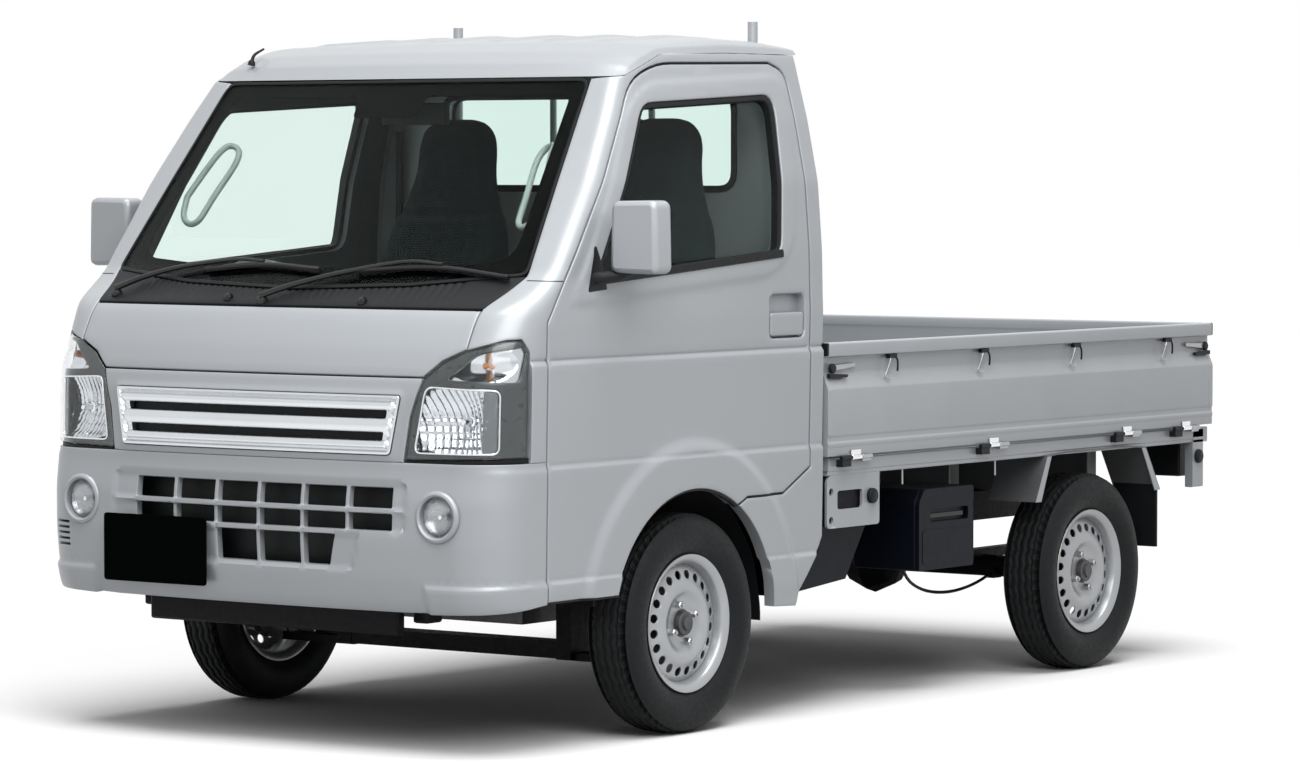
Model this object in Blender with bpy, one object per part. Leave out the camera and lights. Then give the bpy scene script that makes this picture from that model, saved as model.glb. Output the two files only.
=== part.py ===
"""Kei truck with a drop-side bed, built as separate closed solids in metres.

The truck faces -Y, its left side is +X and the ground is z = 0.
Cab panels are flat outlines wrapped on one skin, so neighbours share their cut lines.
"""
import math
from collections import namedtuple

import bmesh
import bpy
import numpy as np
from mathutils import Vector
from mathutils.geometry import delaunay_2d_cdt

# Driving dimensions, in metres
FRONT_AXLE_Y = -0.8605
REAR_AXLE_Y = 1.0445
TYRE_RADIUS = 0.270
TYRE_WIDTH = 0.147
FRONT_WHEEL_X = 0.6525
REAR_WHEEL_X = 0.650
KINGPIN_X = 0.560
FLOOR_TOP = 0.650
GATE_TOP = 0.940
GATE_FACE_X = 0.728
CAB_REAR_Y = -0.300

# Fits and clearances
SEAM = 0.0004
ROOF_SEAM = 0.0008
DOOR_GAP = 0.006
MOVE_GAP = 0.006
OVERRUN = 0.010
WELD = 0.002
DEEP_WELD = 0.004
MERGE = 0.000001
SHORT_SHARE = 0.1
MITRE_SHARE = 0.3
NORMAL_REACH = 0.015
NORMAL_REACH_Z = 0.060

# Wall thicknesses
DOOR_WALL = 0.040
CAB_WALL = 0.032
PANEL_WALL = 0.025
GLASS_WALL = 0.005
SHEET = 0.004

# Side section of the cab: height and half-width
Side = namedtuple("Side", "z half_width")
SIDE_ROWS = [
    (0.300, 0.706), (0.360, 0.712), (0.600, 0.716), (0.893, 0.722), (1.020, 0.726), (1.180, 0.722),
    (1.350, 0.709), (1.505, 0.677), (1.604, 0.650), (1.660, 0.635), (1.720, 0.612),
]
SIDE_SECTION = [Side(*row) for row in SIDE_ROWS]
# Front section on the centre line: height, reach, plan bow at the side and corner radius
Front = namedtuple("Front", "z y bow corner")
FRONT_ROWS = [
    (0.300, -1.640, 0.045, 0.120), (0.360, -1.671, 0.045, 0.120), (0.420, -1.684, 0.045, 0.120),
    (0.500, -1.690, 0.045, 0.120), (0.600, -1.688, 0.045, 0.120), (0.670, -1.677, 0.045, 0.120),
    (0.850, -1.670, 0.045, 0.120), (0.893, -1.662, 0.045, 0.120), (0.960, -1.639, 0.045, 0.120),
    (1.020, -1.608, 0.045, 0.110), (1.054, -1.585, 0.048, 0.090), (1.090, -1.536, 0.070, 0.052),
    (1.128, -1.495, 0.085, 0.036), (1.350, -1.310, 0.058, 0.036), (1.604, -1.098, 0.025, 0.036),
    (1.720, -1.000, 0.020, 0.036),
]
FRONT_SECTION = [Front(*row) for row in FRONT_ROWS]
# Creases pressed into the side: lower edge, upper edge and how far the metal below stands proud
Crease = namedtuple("Crease", "low high proud")
CREASE_ROWS = [(0.404, 0.412, 0.006), (0.674, 0.684, 0.004), (0.920, 0.930, 0.004)]
SIDE_CREASES = [Crease(*row) for row in CREASE_ROWS]
RELIEF_START = 0.620
RELIEF_RUN = 0.120
# How far pressed metal may stand proud of the widest and the foremost section
SIDE_PROUD = 0.0112
FRONT_PROUD = 0.0072
WIDTH_LIMIT = max(row.half_width for row in SIDE_SECTION) + SIDE_PROUD
FRONT_LIMIT_Y = min(row.y for row in FRONT_SECTION) - FRONT_PROUD

# Front wheel arch with its flare
ARCH_Y = -0.865
ARCH_Z = 0.262
ARCH_RADIUS = 0.340
FLARE_RADIUS = 0.470
FLARE_PROUD = 0.012
FLARE_LIP = 0.035


def table_curve(table, column, z):
    """Reads one column of a section table at height z, by straight lines."""
    heights = [row.z for row in table]
    return float(np.interp(z, heights, [getattr(row, column) for row in table]))


def section_at(z):
    """Half-width, reach, plan bow and corner radius of the cab at height z."""
    columns = [table_curve(FRONT_SECTION, name, z) for name in ("y", "bow", "corner")]
    return [table_curve(SIDE_SECTION, "half_width", z), *columns]


def side_start(z):
    """Skin coordinate of y = 0 on the side at height z."""
    width, reach, bow, corner = section_at(z)
    return width - corner + corner * math.pi / 2 - reach - bow - corner


def skin_base(s, z):
    """Point on the smooth cab skin: s is x across the nose, then arc length round the corner and along y."""
    side = -1 if s < 0 else 1
    width, reach, bow, corner = section_at(z)
    flat_end = width - corner
    angle = (abs(s) - flat_end) / corner
    if angle > math.pi / 2:
        return Vector((side * width, abs(s) - side_start(z), z))
    angle = max(angle, 0)
    x = min(abs(s), flat_end) + corner * math.sin(angle)
    return Vector((side * x, reach + bow * (x / width) ** 2 + corner * (1 - math.cos(angle)), z))


def side_relief(s, z):
    """Height of the pressed creases and the arch flare at a point of the side."""
    y = abs(s) - side_start(z)
    proud = 0
    for crease in SIDE_CREASES:
        proud += crease.proud * min(max((crease.high - z) / (crease.high - crease.low), 0), 1)
    reach = math.hypot(y - ARCH_Y, z - ARCH_Z)
    flare = (FLARE_RADIUS - reach) / (FLARE_RADIUS - ARCH_RADIUS - FLARE_LIP)
    proud += FLARE_PROUD * min(max(flare, 0), 1)
    return proud * min(max((abs(s) - RELIEF_START) / RELIEF_RUN, 0), 1)


def skin(s, z, depth, relief):
    """Cab skin point at a depth under the surface, with the side's relief on the outer face."""
    here = skin_base(s, z)
    along = skin_base(s + NORMAL_REACH, z) - skin_base(s - NORMAL_REACH, z)
    up = skin_base(s, z + NORMAL_REACH_Z) - skin_base(s, z - NORMAL_REACH_Z)
    outward = along.cross(up).normalized()
    lift = side_relief(s, z) if relief and depth == 0 else 0
    point = here + outward * (lift - depth)
    point.x = max(-WIDTH_LIMIT, min(WIDTH_LIMIT, point.x))
    point.y = max(FRONT_LIMIT_Y, point.y)
    return point


def make_object(name, mesh, colour, rough=0.5, metal=0.0, smooth_deg=30):
    """Adds a mesh as an object with its own material."""
    obj = bpy.data.objects.new(name, mesh)
    bpy.context.collection.objects.link(obj)
    paint = bpy.data.materials.new(name + "_material")
    paint.use_nodes = True
    shader = paint.node_tree.nodes["Principled BSDF"]
    shader.inputs["Base Color"].default_value = (*colour, 1)
    shader.inputs["Roughness"].default_value = rough
    shader.inputs["Metallic"].default_value = metal
    mesh.materials.clear()
    mesh.materials.append(paint)
    mesh.shade_smooth()
    mesh.set_sharp_from_angle(angle=math.radians(smooth_deg))
    return obj


def mesh_of(points, faces):
    """Mesh from points and faces, with its faces turned outwards."""
    mesh = bpy.data.meshes.new("mesh")
    mesh.from_pydata([tuple(p) for p in points], [], faces)
    work = bmesh.new()
    work.from_mesh(mesh)
    bmesh.ops.recalc_face_normals(work, faces=work.faces)
    if work.calc_volume(signed=True) < 0:
        bmesh.ops.reverse_faces(work, faces=work.faces)
    work.to_mesh(mesh)
    work.free()
    return mesh


def inside(outline, points):
    """True for each point that lies inside a closed outline."""
    x, y = points[:, 0], points[:, 1]
    hit = np.zeros(len(points), bool)
    for (ax, ay), (bx, by) in zip(outline, outline[1:] + outline[:1]):
        if ay != by:
            hit ^= ((ay > y) != (by > y)) & (x < (bx - ax) * (y - ay) / (by - ay) + ax)
    return hit


def cut_up(outline, holes, s_lines, z_lines, rings=()):
    """Splits a flat outline into triangles along grid lines, rings and all its edges."""
    points, edges = [], []
    for loop in [outline, *holes]:
        first = len(points)
        points += loop
        edges += [(first + i, first + (i + 1) % len(loop)) for i in range(len(loop))]
    low, high = np.min(outline, axis=0), np.max(outline, axis=0)
    ends = [((s, low[1]), (s, high[1])) for s in s_lines if low[0] < s < high[0]]
    ends += [((low[0], z), (high[0], z)) for z in z_lines if low[1] < z < high[1]]
    for ring in rings:
        ends += list(zip(ring, ring[1:]))
    for start, end in ends:
        edges.append((len(points), len(points) + 1))
        points += [start, end]
    made = delaunay_2d_cdt([Vector(p) for p in points], edges, [], 0, MERGE)
    flat = np.array([tuple(v) for v in made[0]])
    triangles = np.array(made[2])
    centre = flat[triangles].mean(axis=1)
    keep = inside(outline, centre)
    for hole in holes:
        keep &= ~inside(hole, centre)
    return flat, triangles[keep]


def slab(flat, triangles, outer, inner):
    """Closed solid between two mappings of the same flat triangles."""
    used = np.unique(triangles)
    index = {old: new for new, old in enumerate(used)}
    count = len(used)
    points = [outer(*flat[i]) for i in used] + [inner(*flat[i]) for i in used]
    faces, rim = [], {}
    for a, b, c in triangles:
        a, b, c = index[a], index[b], index[c]
        faces += [(a, b, c), (a + count, c + count, b + count)]
        for start, end in ((a, b), (b, c), (c, a)):
            rim[(start, end)] = True
    for a, b in rim:
        if (b, a) in rim:
            continue
        ring = [b, a, a + count, b + count]
        if tuple(flat[used[a]]) < tuple(flat[used[b]]):
            ring = ring[1:] + ring[:1]
        faces += [(ring[0], ring[1], ring[2]), (ring[0], ring[2], ring[3])]
    return mesh_of(points, faces)


def circle(y, z, radius, start_deg, end_deg, count):
    """Points on an arc in a flat plane."""
    turn = np.radians(np.linspace(start_deg, end_deg, count))
    return [(y + radius * math.cos(a), z + radius * math.sin(a)) for a in turn]


def rounded(loop, radius, steps=4):
    """Rounds each corner of a loop with a short arc; radius is one length or one per corner."""
    out = []
    radii = radius if isinstance(radius, list) else [radius] * len(loop)
    for i, corner in enumerate(loop):
        here = Vector(corner)
        before = Vector(loop[i - 1]) - here
        after = Vector(loop[(i + 1) % len(loop)]) - here
        cut = min(radii[i], before.length / 2, after.length / 2)
        if cut < SEAM:
            out.append(corner)
            continue
        start, end = here + before.normalized() * cut, here + after.normalized() * cut
        for k in range(steps + 1):
            t = k / steps
            out.append(tuple(start * (1 - t) ** 2 + here * 2 * t * (1 - t) + end * t ** 2))
    return out


def side_line(points, closed=False):
    """Turns (y, z) points on the left side into skin coordinates, split at the section heights."""
    ends = points[1:] + points[:1] if closed else points[1:]
    out = []
    for (y, z), (next_y, next_z) in zip(points, ends):
        levels = [level for level in SECTION_LINES if min(z, next_z) < level < max(z, next_z)]
        levels.sort(reverse=next_z < z)
        run = [(y, z)] + [(y + (next_y - y) * (level - z) / (next_z - z), level) for level in levels]
        out += [(side_start(level) + place, level) for place, level in run]
    if not closed:
        out.append((side_start(points[-1][1]) + points[-1][0], points[-1][1]))
    return out


SECTION_LINES = {row.z for row in SIDE_SECTION} | {row.z for row in FRONT_SECTION}
# Grid lines that all skin panels share, so that neighbours bend at the same places
HALF_LINES = [0.200, 0.400, 0.600, 0.640, 0.680, 0.720, 0.760, 0.800, 1.100, 1.500, 1.900]
S_LINES = [-s for s in HALF_LINES] + [0] + HALF_LINES
COWL_LINES = {1.066, 1.078, 1.102, 1.115}
CREASE_LINES = {c.low for c in SIDE_CREASES} | {c.high for c in SIDE_CREASES}
Z_LINES = sorted(SECTION_LINES | CREASE_LINES | COWL_LINES)


def wrap(name, outline, holes, wall, colour, rough=0.35, metal=0.0, relief=False, rings=()):
    """Panel on the cab skin with a wall of the given thickness."""
    flat, triangles = cut_up(outline, holes, S_LINES, Z_LINES, rings)
    mesh = slab(flat, triangles, lambda s, z: skin(s, z, 0, relief), lambda s, z: skin(s, z, wall, relief))
    return make_object(name, mesh, colour, rough, metal)


def mirrored(obj, name):
    """The same solid on the right side."""
    mesh = obj.data.copy()
    work = bmesh.new()
    work.from_mesh(mesh)
    for vertex in work.verts:
        vertex.co.x = -vertex.co.x
    bmesh.ops.reverse_faces(work, faces=work.faces)
    work.to_mesh(mesh)
    work.free()
    shader = obj.data.materials[0].node_tree.nodes["Principled BSDF"].inputs
    return make_object(name, mesh, tuple(shader["Base Color"].default_value)[:3],
                       shader["Roughness"].default_value, shader["Metallic"].default_value)


def box_mesh(x, y, z):
    """Box between two values on each axis."""
    points = [(a, b, c) for a in x for b in y for c in z]
    faces = [(0, 1, 3, 2), (4, 6, 7, 5), (0, 4, 5, 1), (2, 3, 7, 6), (0, 2, 6, 4), (1, 5, 7, 3)]
    return mesh_of(points, faces)


def prism_mesh(outline, axis, low, high):
    """Flat outline pushed along one axis; the outline names the other two axes in order."""
    count = len(outline)
    points = []
    for level in (low, high):
        for a, b in outline:
            point = [a, b]
            point.insert(axis, level)
            points.append(point)
    faces = [tuple(range(count)), tuple(range(2 * count - 1, count - 1, -1))]
    faces += [(i, (i + 1) % count, (i + 1) % count + count, i + count) for i in range(count)]
    return mesh_of(points, faces)


def frame_on(direction):
    """Two unit vectors square to a direction."""
    along = Vector(direction).normalized()
    side = along.cross(Vector((0, 0, 1)))
    if side.length < SHORT_SHARE:
        side = along.cross(Vector((0, 1, 0)))
    side.normalize()
    return side, along.cross(side).normalized()


def tube_mesh(path, radius, sides=8):
    """Round bar along a path, mitred at its bends."""
    path = [Vector(p) for p in path]
    points = []
    side, up = frame_on(path[1] - path[0])
    for i, here in enumerate(path):
        back = (here - path[i - 1]).normalized() if i else (path[1] - here).normalized()
        fore = (path[i + 1] - here).normalized() if i + 1 < len(path) else back
        normal = (back + fore).normalized()
        for k in range(sides):
            turn = 2 * math.pi * k / sides
            ray = here + (side * math.cos(turn) + up * math.sin(turn)) * radius
            ray -= fore * ((ray - here).dot(normal) / fore.dot(normal))
            points.append(ray)
        if i + 1 < len(path):
            bend = back.rotation_difference(fore)
            side, up = bend @ side, bend @ up
    last = len(points) - sides
    faces = [tuple(range(sides)), tuple(range(last, last + sides))]
    for i in range(len(path) - 1):
        for k in range(sides):
            a, b = i * sides + k, i * sides + (k + 1) % sides
            faces.append((a, b, b + sides, a + sides))
    return mesh_of(points, faces)


def lathe_mesh(profile, centre, direction, steps=32):
    """Turns a closed (radius, along) profile about an axis; a zero radius makes a point on the axis."""
    axis = Vector(direction).normalized()
    side, up = frame_on(direction)
    points, rows = [], []
    for radius, along in profile:
        spot = Vector(centre) + axis * along
        if radius == 0:
            rows.append([len(points)] * steps)
            points.append(spot)
            continue
        rows.append(list(range(len(points), len(points) + steps)))
        for k in range(steps):
            turn = 2 * math.pi * k / steps
            points.append(spot + (side * math.cos(turn) + up * math.sin(turn)) * radius)
    faces = []
    for row, after in zip(rows, rows[1:] + rows[:1]):
        for k in range(steps):
            ring = [row[k], row[(k + 1) % steps], after[(k + 1) % steps], after[k]]
            face = list(dict.fromkeys(ring))
            if len(face) > 2:
                faces.append(tuple(face))
    return mesh_of(points, faces)


def fused(meshes, holes=()):
    """Unites overlapping meshes into one and cuts the holes out of it."""
    body = bpy.data.objects.new("body", meshes[0])
    bpy.context.collection.objects.link(body)
    tools = []
    for kind, group in (("UNION", meshes[1:]), ("DIFFERENCE", holes)):
        for mesh in group:
            tool = bpy.data.objects.new("tool", mesh)
            bpy.context.collection.objects.link(tool)
            tool.hide_render = True
            tool.display_type = "WIRE"
            step = body.modifiers.new(kind, "BOOLEAN")
            step.operation = kind
            step.solver = "EXACT"
            step.object = tool
            tools.append(tool)
    graph = bpy.context.evaluated_depsgraph_get()
    mesh = bpy.data.meshes.new_from_object(body.evaluated_get(graph))
    for obj in [body, *tools]:
        bpy.data.objects.remove(obj)
    work = bmesh.new()
    work.from_mesh(mesh)
    bmesh.ops.remove_doubles(work, verts=work.verts, dist=MERGE)
    bmesh.ops.dissolve_degenerate(work, edges=work.edges, dist=MERGE)
    work.to_mesh(mesh)
    work.free()
    return mesh


# Colours
SILVER = (0.56, 0.57, 0.59)
CHROME = (0.78, 0.79, 0.80)
STEEL = (0.50, 0.51, 0.52)
BLACK = (0.02, 0.02, 0.022)
DARK = (0.05, 0.055, 0.06)
RUBBER = (0.025, 0.025, 0.027)
GLASS = (0.42, 0.52, 0.50)
CLOTH = (0.12, 0.13, 0.14)
LAMP = (0.75, 0.78, 0.80)

# Door outline on the left side, as (y, z)
DOOR_FRONT_Y = -1.450
DOOR_REAR_Y = -0.360
DOOR_FOOT_Z = 0.365
PILLAR_FOOT = (-1.450, 1.020)
# The door's foot behind the arch: its steps back and up from the end of the arch, corner by corner
LOWER_STEPS = [(0.041, 0.0186), (0.213, 0.0186)]
LOWER_REAR_RISE = 0.0786
DOOR_TOP = [(DOOR_REAR_Y, 1.625), (-0.420, 1.645), (-0.905, 1.636), (-1.032, 1.592), (-1.372, 1.130)]
# Corner radius at each point of the door's top
DOOR_TOP_RADII = [0.060, 0, 0.060, 0.060, 0]
WINDOW = [(-0.488, 1.166), (-0.440, 1.568), (-1.011, 1.540), (-1.280, 1.110)]
WINDOW_RADIUS = 0.045


def grown(loop, distance):
    """Moves each edge of a loop that runs counterclockwise outwards by a distance."""
    count = len(loop)
    out = []
    for i in range(count):
        a, b, c = Vector(loop[i - 1]), Vector(loop[i]), Vector(loop[(i + 1) % count])
        one, two = (b - a).normalized(), (c - b).normalized()
        normal_one, normal_two = Vector((one.y, -one.x)), Vector((two.y, -two.x))
        mid = (normal_one + normal_two).normalized()
        out.append(tuple(b + mid * (distance / max(mid.dot(normal_one), MITRE_SHARE))))
    return out


ARCH_FRONT_DEG = 162.3
ARCH_REAR_DEG = 59.0
ARCH_FOOT_DEG = 4.5
ARCH_STEPS = 13
ARCH_GAP_DEG = 1.2
REAR_KNEE_Z = 0.450


def door_loop():
    """Outline of the left door in (y, z), counterclockwise seen from +X."""
    arch = circle(ARCH_Y, ARCH_Z, ARCH_RADIUS, ARCH_FRONT_DEG, ARCH_REAR_DEG, ARCH_STEPS)
    end_y, end_z = arch[-1]
    foot = [(end_y + back, end_z + rise) for back, rise in LOWER_STEPS]
    foot.append((DOOR_REAR_Y, end_z + LOWER_REAR_RISE))
    plain = [(DOOR_FRONT_Y, DOOR_FOOT_Z), *arch, *foot]
    radii = [0] * len(plain) + DOOR_TOP_RADII + [0]
    return rounded([*plain, *DOOR_TOP, PILLAR_FOOT], radii, 3)


def flare_rings():
    """Rings that carry the arch flare, in skin coordinates."""
    rings = []
    for radius in (ARCH_RADIUS + FLARE_LIP, FLARE_RADIUS):
        rings.append(side_line(circle(ARCH_Y, ARCH_Z, radius, ARCH_FOOT_DEG, ARCH_FRONT_DEG, ARCH_STEPS)))
    return rings


HANDLE = [(-0.539, 0.957), (-0.381, 0.957), (-0.381, 1.070), (-0.539, 1.070)]
HANDLE_DEPTH = 0.018
GLASS_SET = 0.018


def door(name):
    """Left door with its window, flare and handle pocket."""
    window = side_line(rounded(WINDOW, WINDOW_RADIUS, 4), True)
    flat, triangles = cut_up(side_line(door_loop(), True), [window], S_LINES, Z_LINES, flare_rings())
    mesh = slab(flat, triangles, lambda s, z: skin(s, z, 0, True), lambda s, z: skin(s, z, DOOR_WALL, True))
    (front, low), (rear, _), (_, high), _ = HANDLE
    face = table_curve(SIDE_SECTION, "half_width", low)
    pocket = box_mesh((face - HANDLE_DEPTH, WIDTH_LIMIT + OVERRUN), (front, rear), (low, high))
    return make_object(name, fused([mesh], [pocket]), SILVER, 0.3, 0.6)


def door_glass(name):
    """Left window glass, set back in its opening."""
    loop = grown(rounded(WINDOW, WINDOW_RADIUS, 4), -SEAM)
    flat, triangles = cut_up(side_line(loop, True), [], S_LINES, Z_LINES)
    mesh = slab(flat, triangles, lambda s, z: skin(s, z, GLASS_SET, False),
                lambda s, z: skin(s, z, GLASS_SET + GLASS_WALL, False))
    return make_object(name, mesh, GLASS, 0.1)


# Outer edge of the headlamp on the side, from its foot up, as (y, z), then its top and inner edge, as (x, z)
LAMP_OUTER = [(-1.514, 0.708), (-1.512, 0.955), (-1.530, 0.985)]
LID_TOP_Z = 1.054
# The windscreen's corners stand in from the cab's sides and its foot stands over the lid
CORNER_REACH = 0.039
CORNER_RISE = 0.076
PILLAR_FOOT_INSET = 0.07825
PILLAR_TOP_INSET = 0.07709
GLASS_TOP_Z = 1.600
COWL_DEPTH = 0.038
COWL_BOW = 0.011
GLASS_CORNER_FOOT = (table_curve(SIDE_SECTION, "half_width", LID_TOP_Z + CORNER_RISE) - PILLAR_FOOT_INSET,
                     LID_TOP_Z + CORNER_RISE)
GLASS_CORNER_TOP = (table_curve(SIDE_SECTION, "half_width", GLASS_TOP_Z) - PILLAR_TOP_INSET, GLASS_TOP_Z)
GLASS_BEND_X = 0.350
LID_HALF = GLASS_CORNER_FOOT[0] - CORNER_REACH
LAMP_TOP = [(0.690, 0.983), (LID_HALF, 0.960), (0.545, 0.932), (0.500, 0.893), (0.470, 0.800), (0.455, 0.700)]
BUMPER_TOP_Z = 0.694
# Lower edge of the roof along the side: y and height
Edge = namedtuple("Edge", "y z")
ROOF_EDGE_ROWS = [(-1.045, 1.6080), (-0.960, 1.6350), (-0.880, 1.6620), (-0.600, 1.6700), (-0.300, 1.6700)]
ROOF_EDGE = [Edge(*row) for row in ROOF_EDGE_ROWS]
# The fixed panel behind the arch: its foot behind the end of the arch, and its rear corner above that
ARCH_FOOT_RUN = 0.092
SILL_DROP = 0.0047
REAR_CORNER_RUN = 0.018
REAR_CORNER_Z = 0.419


def lamp_loop():
    """Outline of the left headlamp in skin coordinates."""
    return side_line(LAMP_OUTER) + LAMP_TOP


def side_ring_loop():
    """Outline of the left cab side round the door opening, in skin coordinates."""
    opening = grown(door_loop(), DOOR_GAP)[ARCH_STEPS + 1:]
    front = [(DOOR_FRONT_Y - DOOR_GAP, BUMPER_TOP_Z + SEAM)]
    arch = circle(ARCH_Y, ARCH_Z, ARCH_RADIUS, ARCH_REAR_DEG - ARCH_GAP_DEG, ARCH_FOOT_DEG, 6)
    foot_y, foot_z = arch[-1]
    rear = [(foot_y + ARCH_FOOT_RUN, foot_z - SILL_DROP), (CAB_REAR_Y - REAR_CORNER_RUN, REAR_CORNER_Z),
            (CAB_REAR_Y, REAR_KNEE_Z)]
    top = [(edge.y, edge.z - ROOF_SEAM) for edge in ROOF_EDGE[::-1]]
    lamp = [(y + SEAM, z) for y, z in LAMP_OUTER[::-1]]
    lamp[0] = (lamp[0][0], lamp[0][1] + SEAM)
    loop = side_line(front + opening[::-1] + arch + rear + top)
    loop += [(GLASS_CORNER_TOP[0] + SEAM, GLASS_CORNER_TOP[1]),
             (GLASS_CORNER_FOOT[0] + SEAM, GLASS_CORNER_FOOT[1]), (LID_HALF + SEAM, LID_TOP_Z), (LID_HALF + SEAM, LAMP_TOP[1][1] + SEAM),
             (LAMP_TOP[0][0], LAMP_TOP[0][1] + SEAM)]
    loop += side_line([*lamp, (lamp[-1][0], BUMPER_TOP_Z + SEAM)])
    return loop


def cab_side(name):
    """Left cab side: pillars, rail over the door and the fixed panel behind the arch."""
    return wrap(name, side_ring_loop(), [], CAB_WALL, SILVER, 0.3, 0.6, True, flare_rings()[1:])


def cowl_loop():
    """Band between the lid and the windscreen."""
    right = [(LID_HALF - WELD, LID_TOP_Z + ROOF_SEAM),
             (GLASS_CORNER_FOOT[0] - WELD, GLASS_CORNER_FOOT[1] - SEAM)]
    top = [(x, z - SEAM) for x, z in GLASS_FOOT]
    return [(-x, z) for x, z in right[:1]] + right + top[::-1] + [(-x, z) for x, z in right[1:]]


GLASS_FOOT = [(-GLASS_BEND_X, LID_TOP_Z + COWL_DEPTH + COWL_BOW), (0, LID_TOP_Z + COWL_DEPTH),
              (GLASS_BEND_X, LID_TOP_Z + COWL_DEPTH + COWL_BOW)]
LID_WALL = 0.020
LID_AXIS_Y = -1.586
LID_AXIS_DROP = 0.0037
LID_AXIS_Z = LID_TOP_Z - LID_AXIS_DROP
LID_BARREL_RADIUS = 0.0042
LID_BARREL_HALF = 0.040
LID_LOOP = [(-0.500, 0.893), (0.500, 0.893), (0.545, 0.932), (LID_HALF, 0.960), (LID_HALF, LID_TOP_Z),
            (-LID_HALF, LID_TOP_Z), (-LID_HALF, 0.960), (-0.545, 0.932)]
NOSE_LOOP = [(-0.454, 0.6945), (0.454, 0.6945), (0.469, 0.800), (0.499, 0.8925), (-0.499, 0.8925),
             (-0.469, 0.800)]
GRILLE_LOOP = [(-0.420, 0.710), (0.420, 0.710), (0.447, 0.852), (-0.447, 0.852)]
SLOT_LOOPS = [[(-0.393, 0.745), (0.393, 0.745), (0.396, 0.763), (-0.396, 0.763)],
              [(-0.402, 0.797), (0.402, 0.797), (0.405, 0.815), (-0.405, 0.815)]]
BUMPER_FOOT = [(0.450, 0.340), (0.650, 0.346)]
BUMPER_END_FOOT_Z = 0.360
# Rows of intake openings: foot and top, and the columns in each
INTAKE_HEIGHTS = [(0.586, 0.636), (0.533, 0.573), (0.444, 0.520)]
INTAKE_COLUMNS = [range(0, 6), range(0, 6), range(2, 5)]
INTAKE_LEFT = -0.371
INTAKE_PITCH = 0.1347
INTAKE_BAR = 0.012
FOG_X = 0.559
FOG_Z = 0.570
FOG_RADIUS = 0.050
FOG_PROUD = 0.006
FOG_STEPS = 24
PLATE_X = -0.2895
PLATE_Z = 0.460
PLATE_HALF = (0.165, 0.0825)
PLATE_GAP = 0.0012


def on_skin(name, outline, holes, front, back, colour, rough, metal):
    """Solid between two mappings over a flat outline on the nose."""
    flat, triangles = cut_up(outline, holes, S_LINES, Z_LINES)
    return make_object(name, slab(flat, triangles, front, back), colour, rough, metal)


def bumper(name):
    """Bumper with its intake grid and two fog lamps."""
    holes = []
    for (low, high), columns in zip(INTAKE_HEIGHTS, INTAKE_COLUMNS):
        for column in columns:
            left = INTAKE_LEFT + column * INTAKE_PITCH
            right = left + INTAKE_PITCH - INTAKE_BAR
            holes.append([(left, low), (right, low), (right, high), (left, high)])
    end_y = DOOR_FRONT_Y - DOOR_GAP
    right = BUMPER_FOOT + side_line([(end_y, BUMPER_END_FOOT_Z), (end_y, BUMPER_TOP_Z)])
    outline = right + [(-x, z) for x, z in right[::-1]]
    flat, triangles = cut_up(outline, holes, S_LINES, Z_LINES)
    shell = slab(flat, triangles, lambda s, z: skin(s, z, 0, True), lambda s, z: skin(s, z, PANEL_WALL, True))
    parts = [shell]
    for side in (-1, 1):
        ring = circle(side * FOG_X, FOG_Z, FOG_RADIUS, 0, 360, FOG_STEPS + 1)[:-1]
        flat, triangles = cut_up(ring, [], [], [])
        parts.append(slab(flat, triangles, lambda s, z: skin(s, z, -FOG_PROUD, False),
                          lambda s, z: skin(s, z, PANEL_WALL / 2, False)))
    return make_object(name, fused(parts), SILVER, 0.3, 0.6)


def front_lid(name):
    """Front lid with its hinge barrel at the top."""
    flat, triangles = cut_up(grown(LID_LOOP, -MOVE_GAP), [], S_LINES, Z_LINES)
    plate = slab(flat, triangles, lambda s, z: skin(s, z, 0, False), lambda s, z: skin(s, z, LID_WALL, False))
    ends = [(side * LID_BARREL_HALF, LID_AXIS_Y, LID_AXIS_Z) for side in (-1, 1)]
    return make_object(name, fused([plate, tube_mesh(ends, LID_BARREL_RADIUS, 8)]), SILVER, 0.3, 0.6)


def nose():
    """Everything on the front skin."""
    right = [GLASS_CORNER_FOOT, GLASS_CORNER_TOP]
    screen = [*GLASS_FOOT, *right] + [(-x, z) for x, z in right[::-1]]
    wrap("windscreen", screen, [], GLASS_WALL, GLASS, 0.1)
    wrap("cowl", cowl_loop(), [], LID_WALL, DARK, 0.6)
    front_lid("front_lid")
    wrap("nose_panel", NOSE_LOOP, [GRILLE_LOOP], PANEL_WALL, SILVER, 0.3, 0.6)
    wrap("grille", grown(GRILLE_LOOP, -SEAM), SLOT_LOOPS, PANEL_WALL, CHROME, 0.2, 1.0)
    bumper("bumper")
    lamp = wrap("headlamp_left", lamp_loop(), [], CAB_WALL, LAMP, 0.1, 0.0, True)
    mirrored(lamp, "headlamp_right")
    (half_x, half_z) = PLATE_HALF
    outline = [(PLATE_X - half_x, PLATE_Z - half_z), (PLATE_X + half_x, PLATE_Z - half_z),
               (PLATE_X + half_x, PLATE_Z + half_z), (PLATE_X - half_x, PLATE_Z + half_z)]
    on_skin("front_plate", outline, [], lambda s, z: Vector((s, FRONT_LIMIT_Y, z)),
            lambda s, z: skin(s, z, -PLATE_GAP, False), BLACK, 0.5, 0.0)


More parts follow.
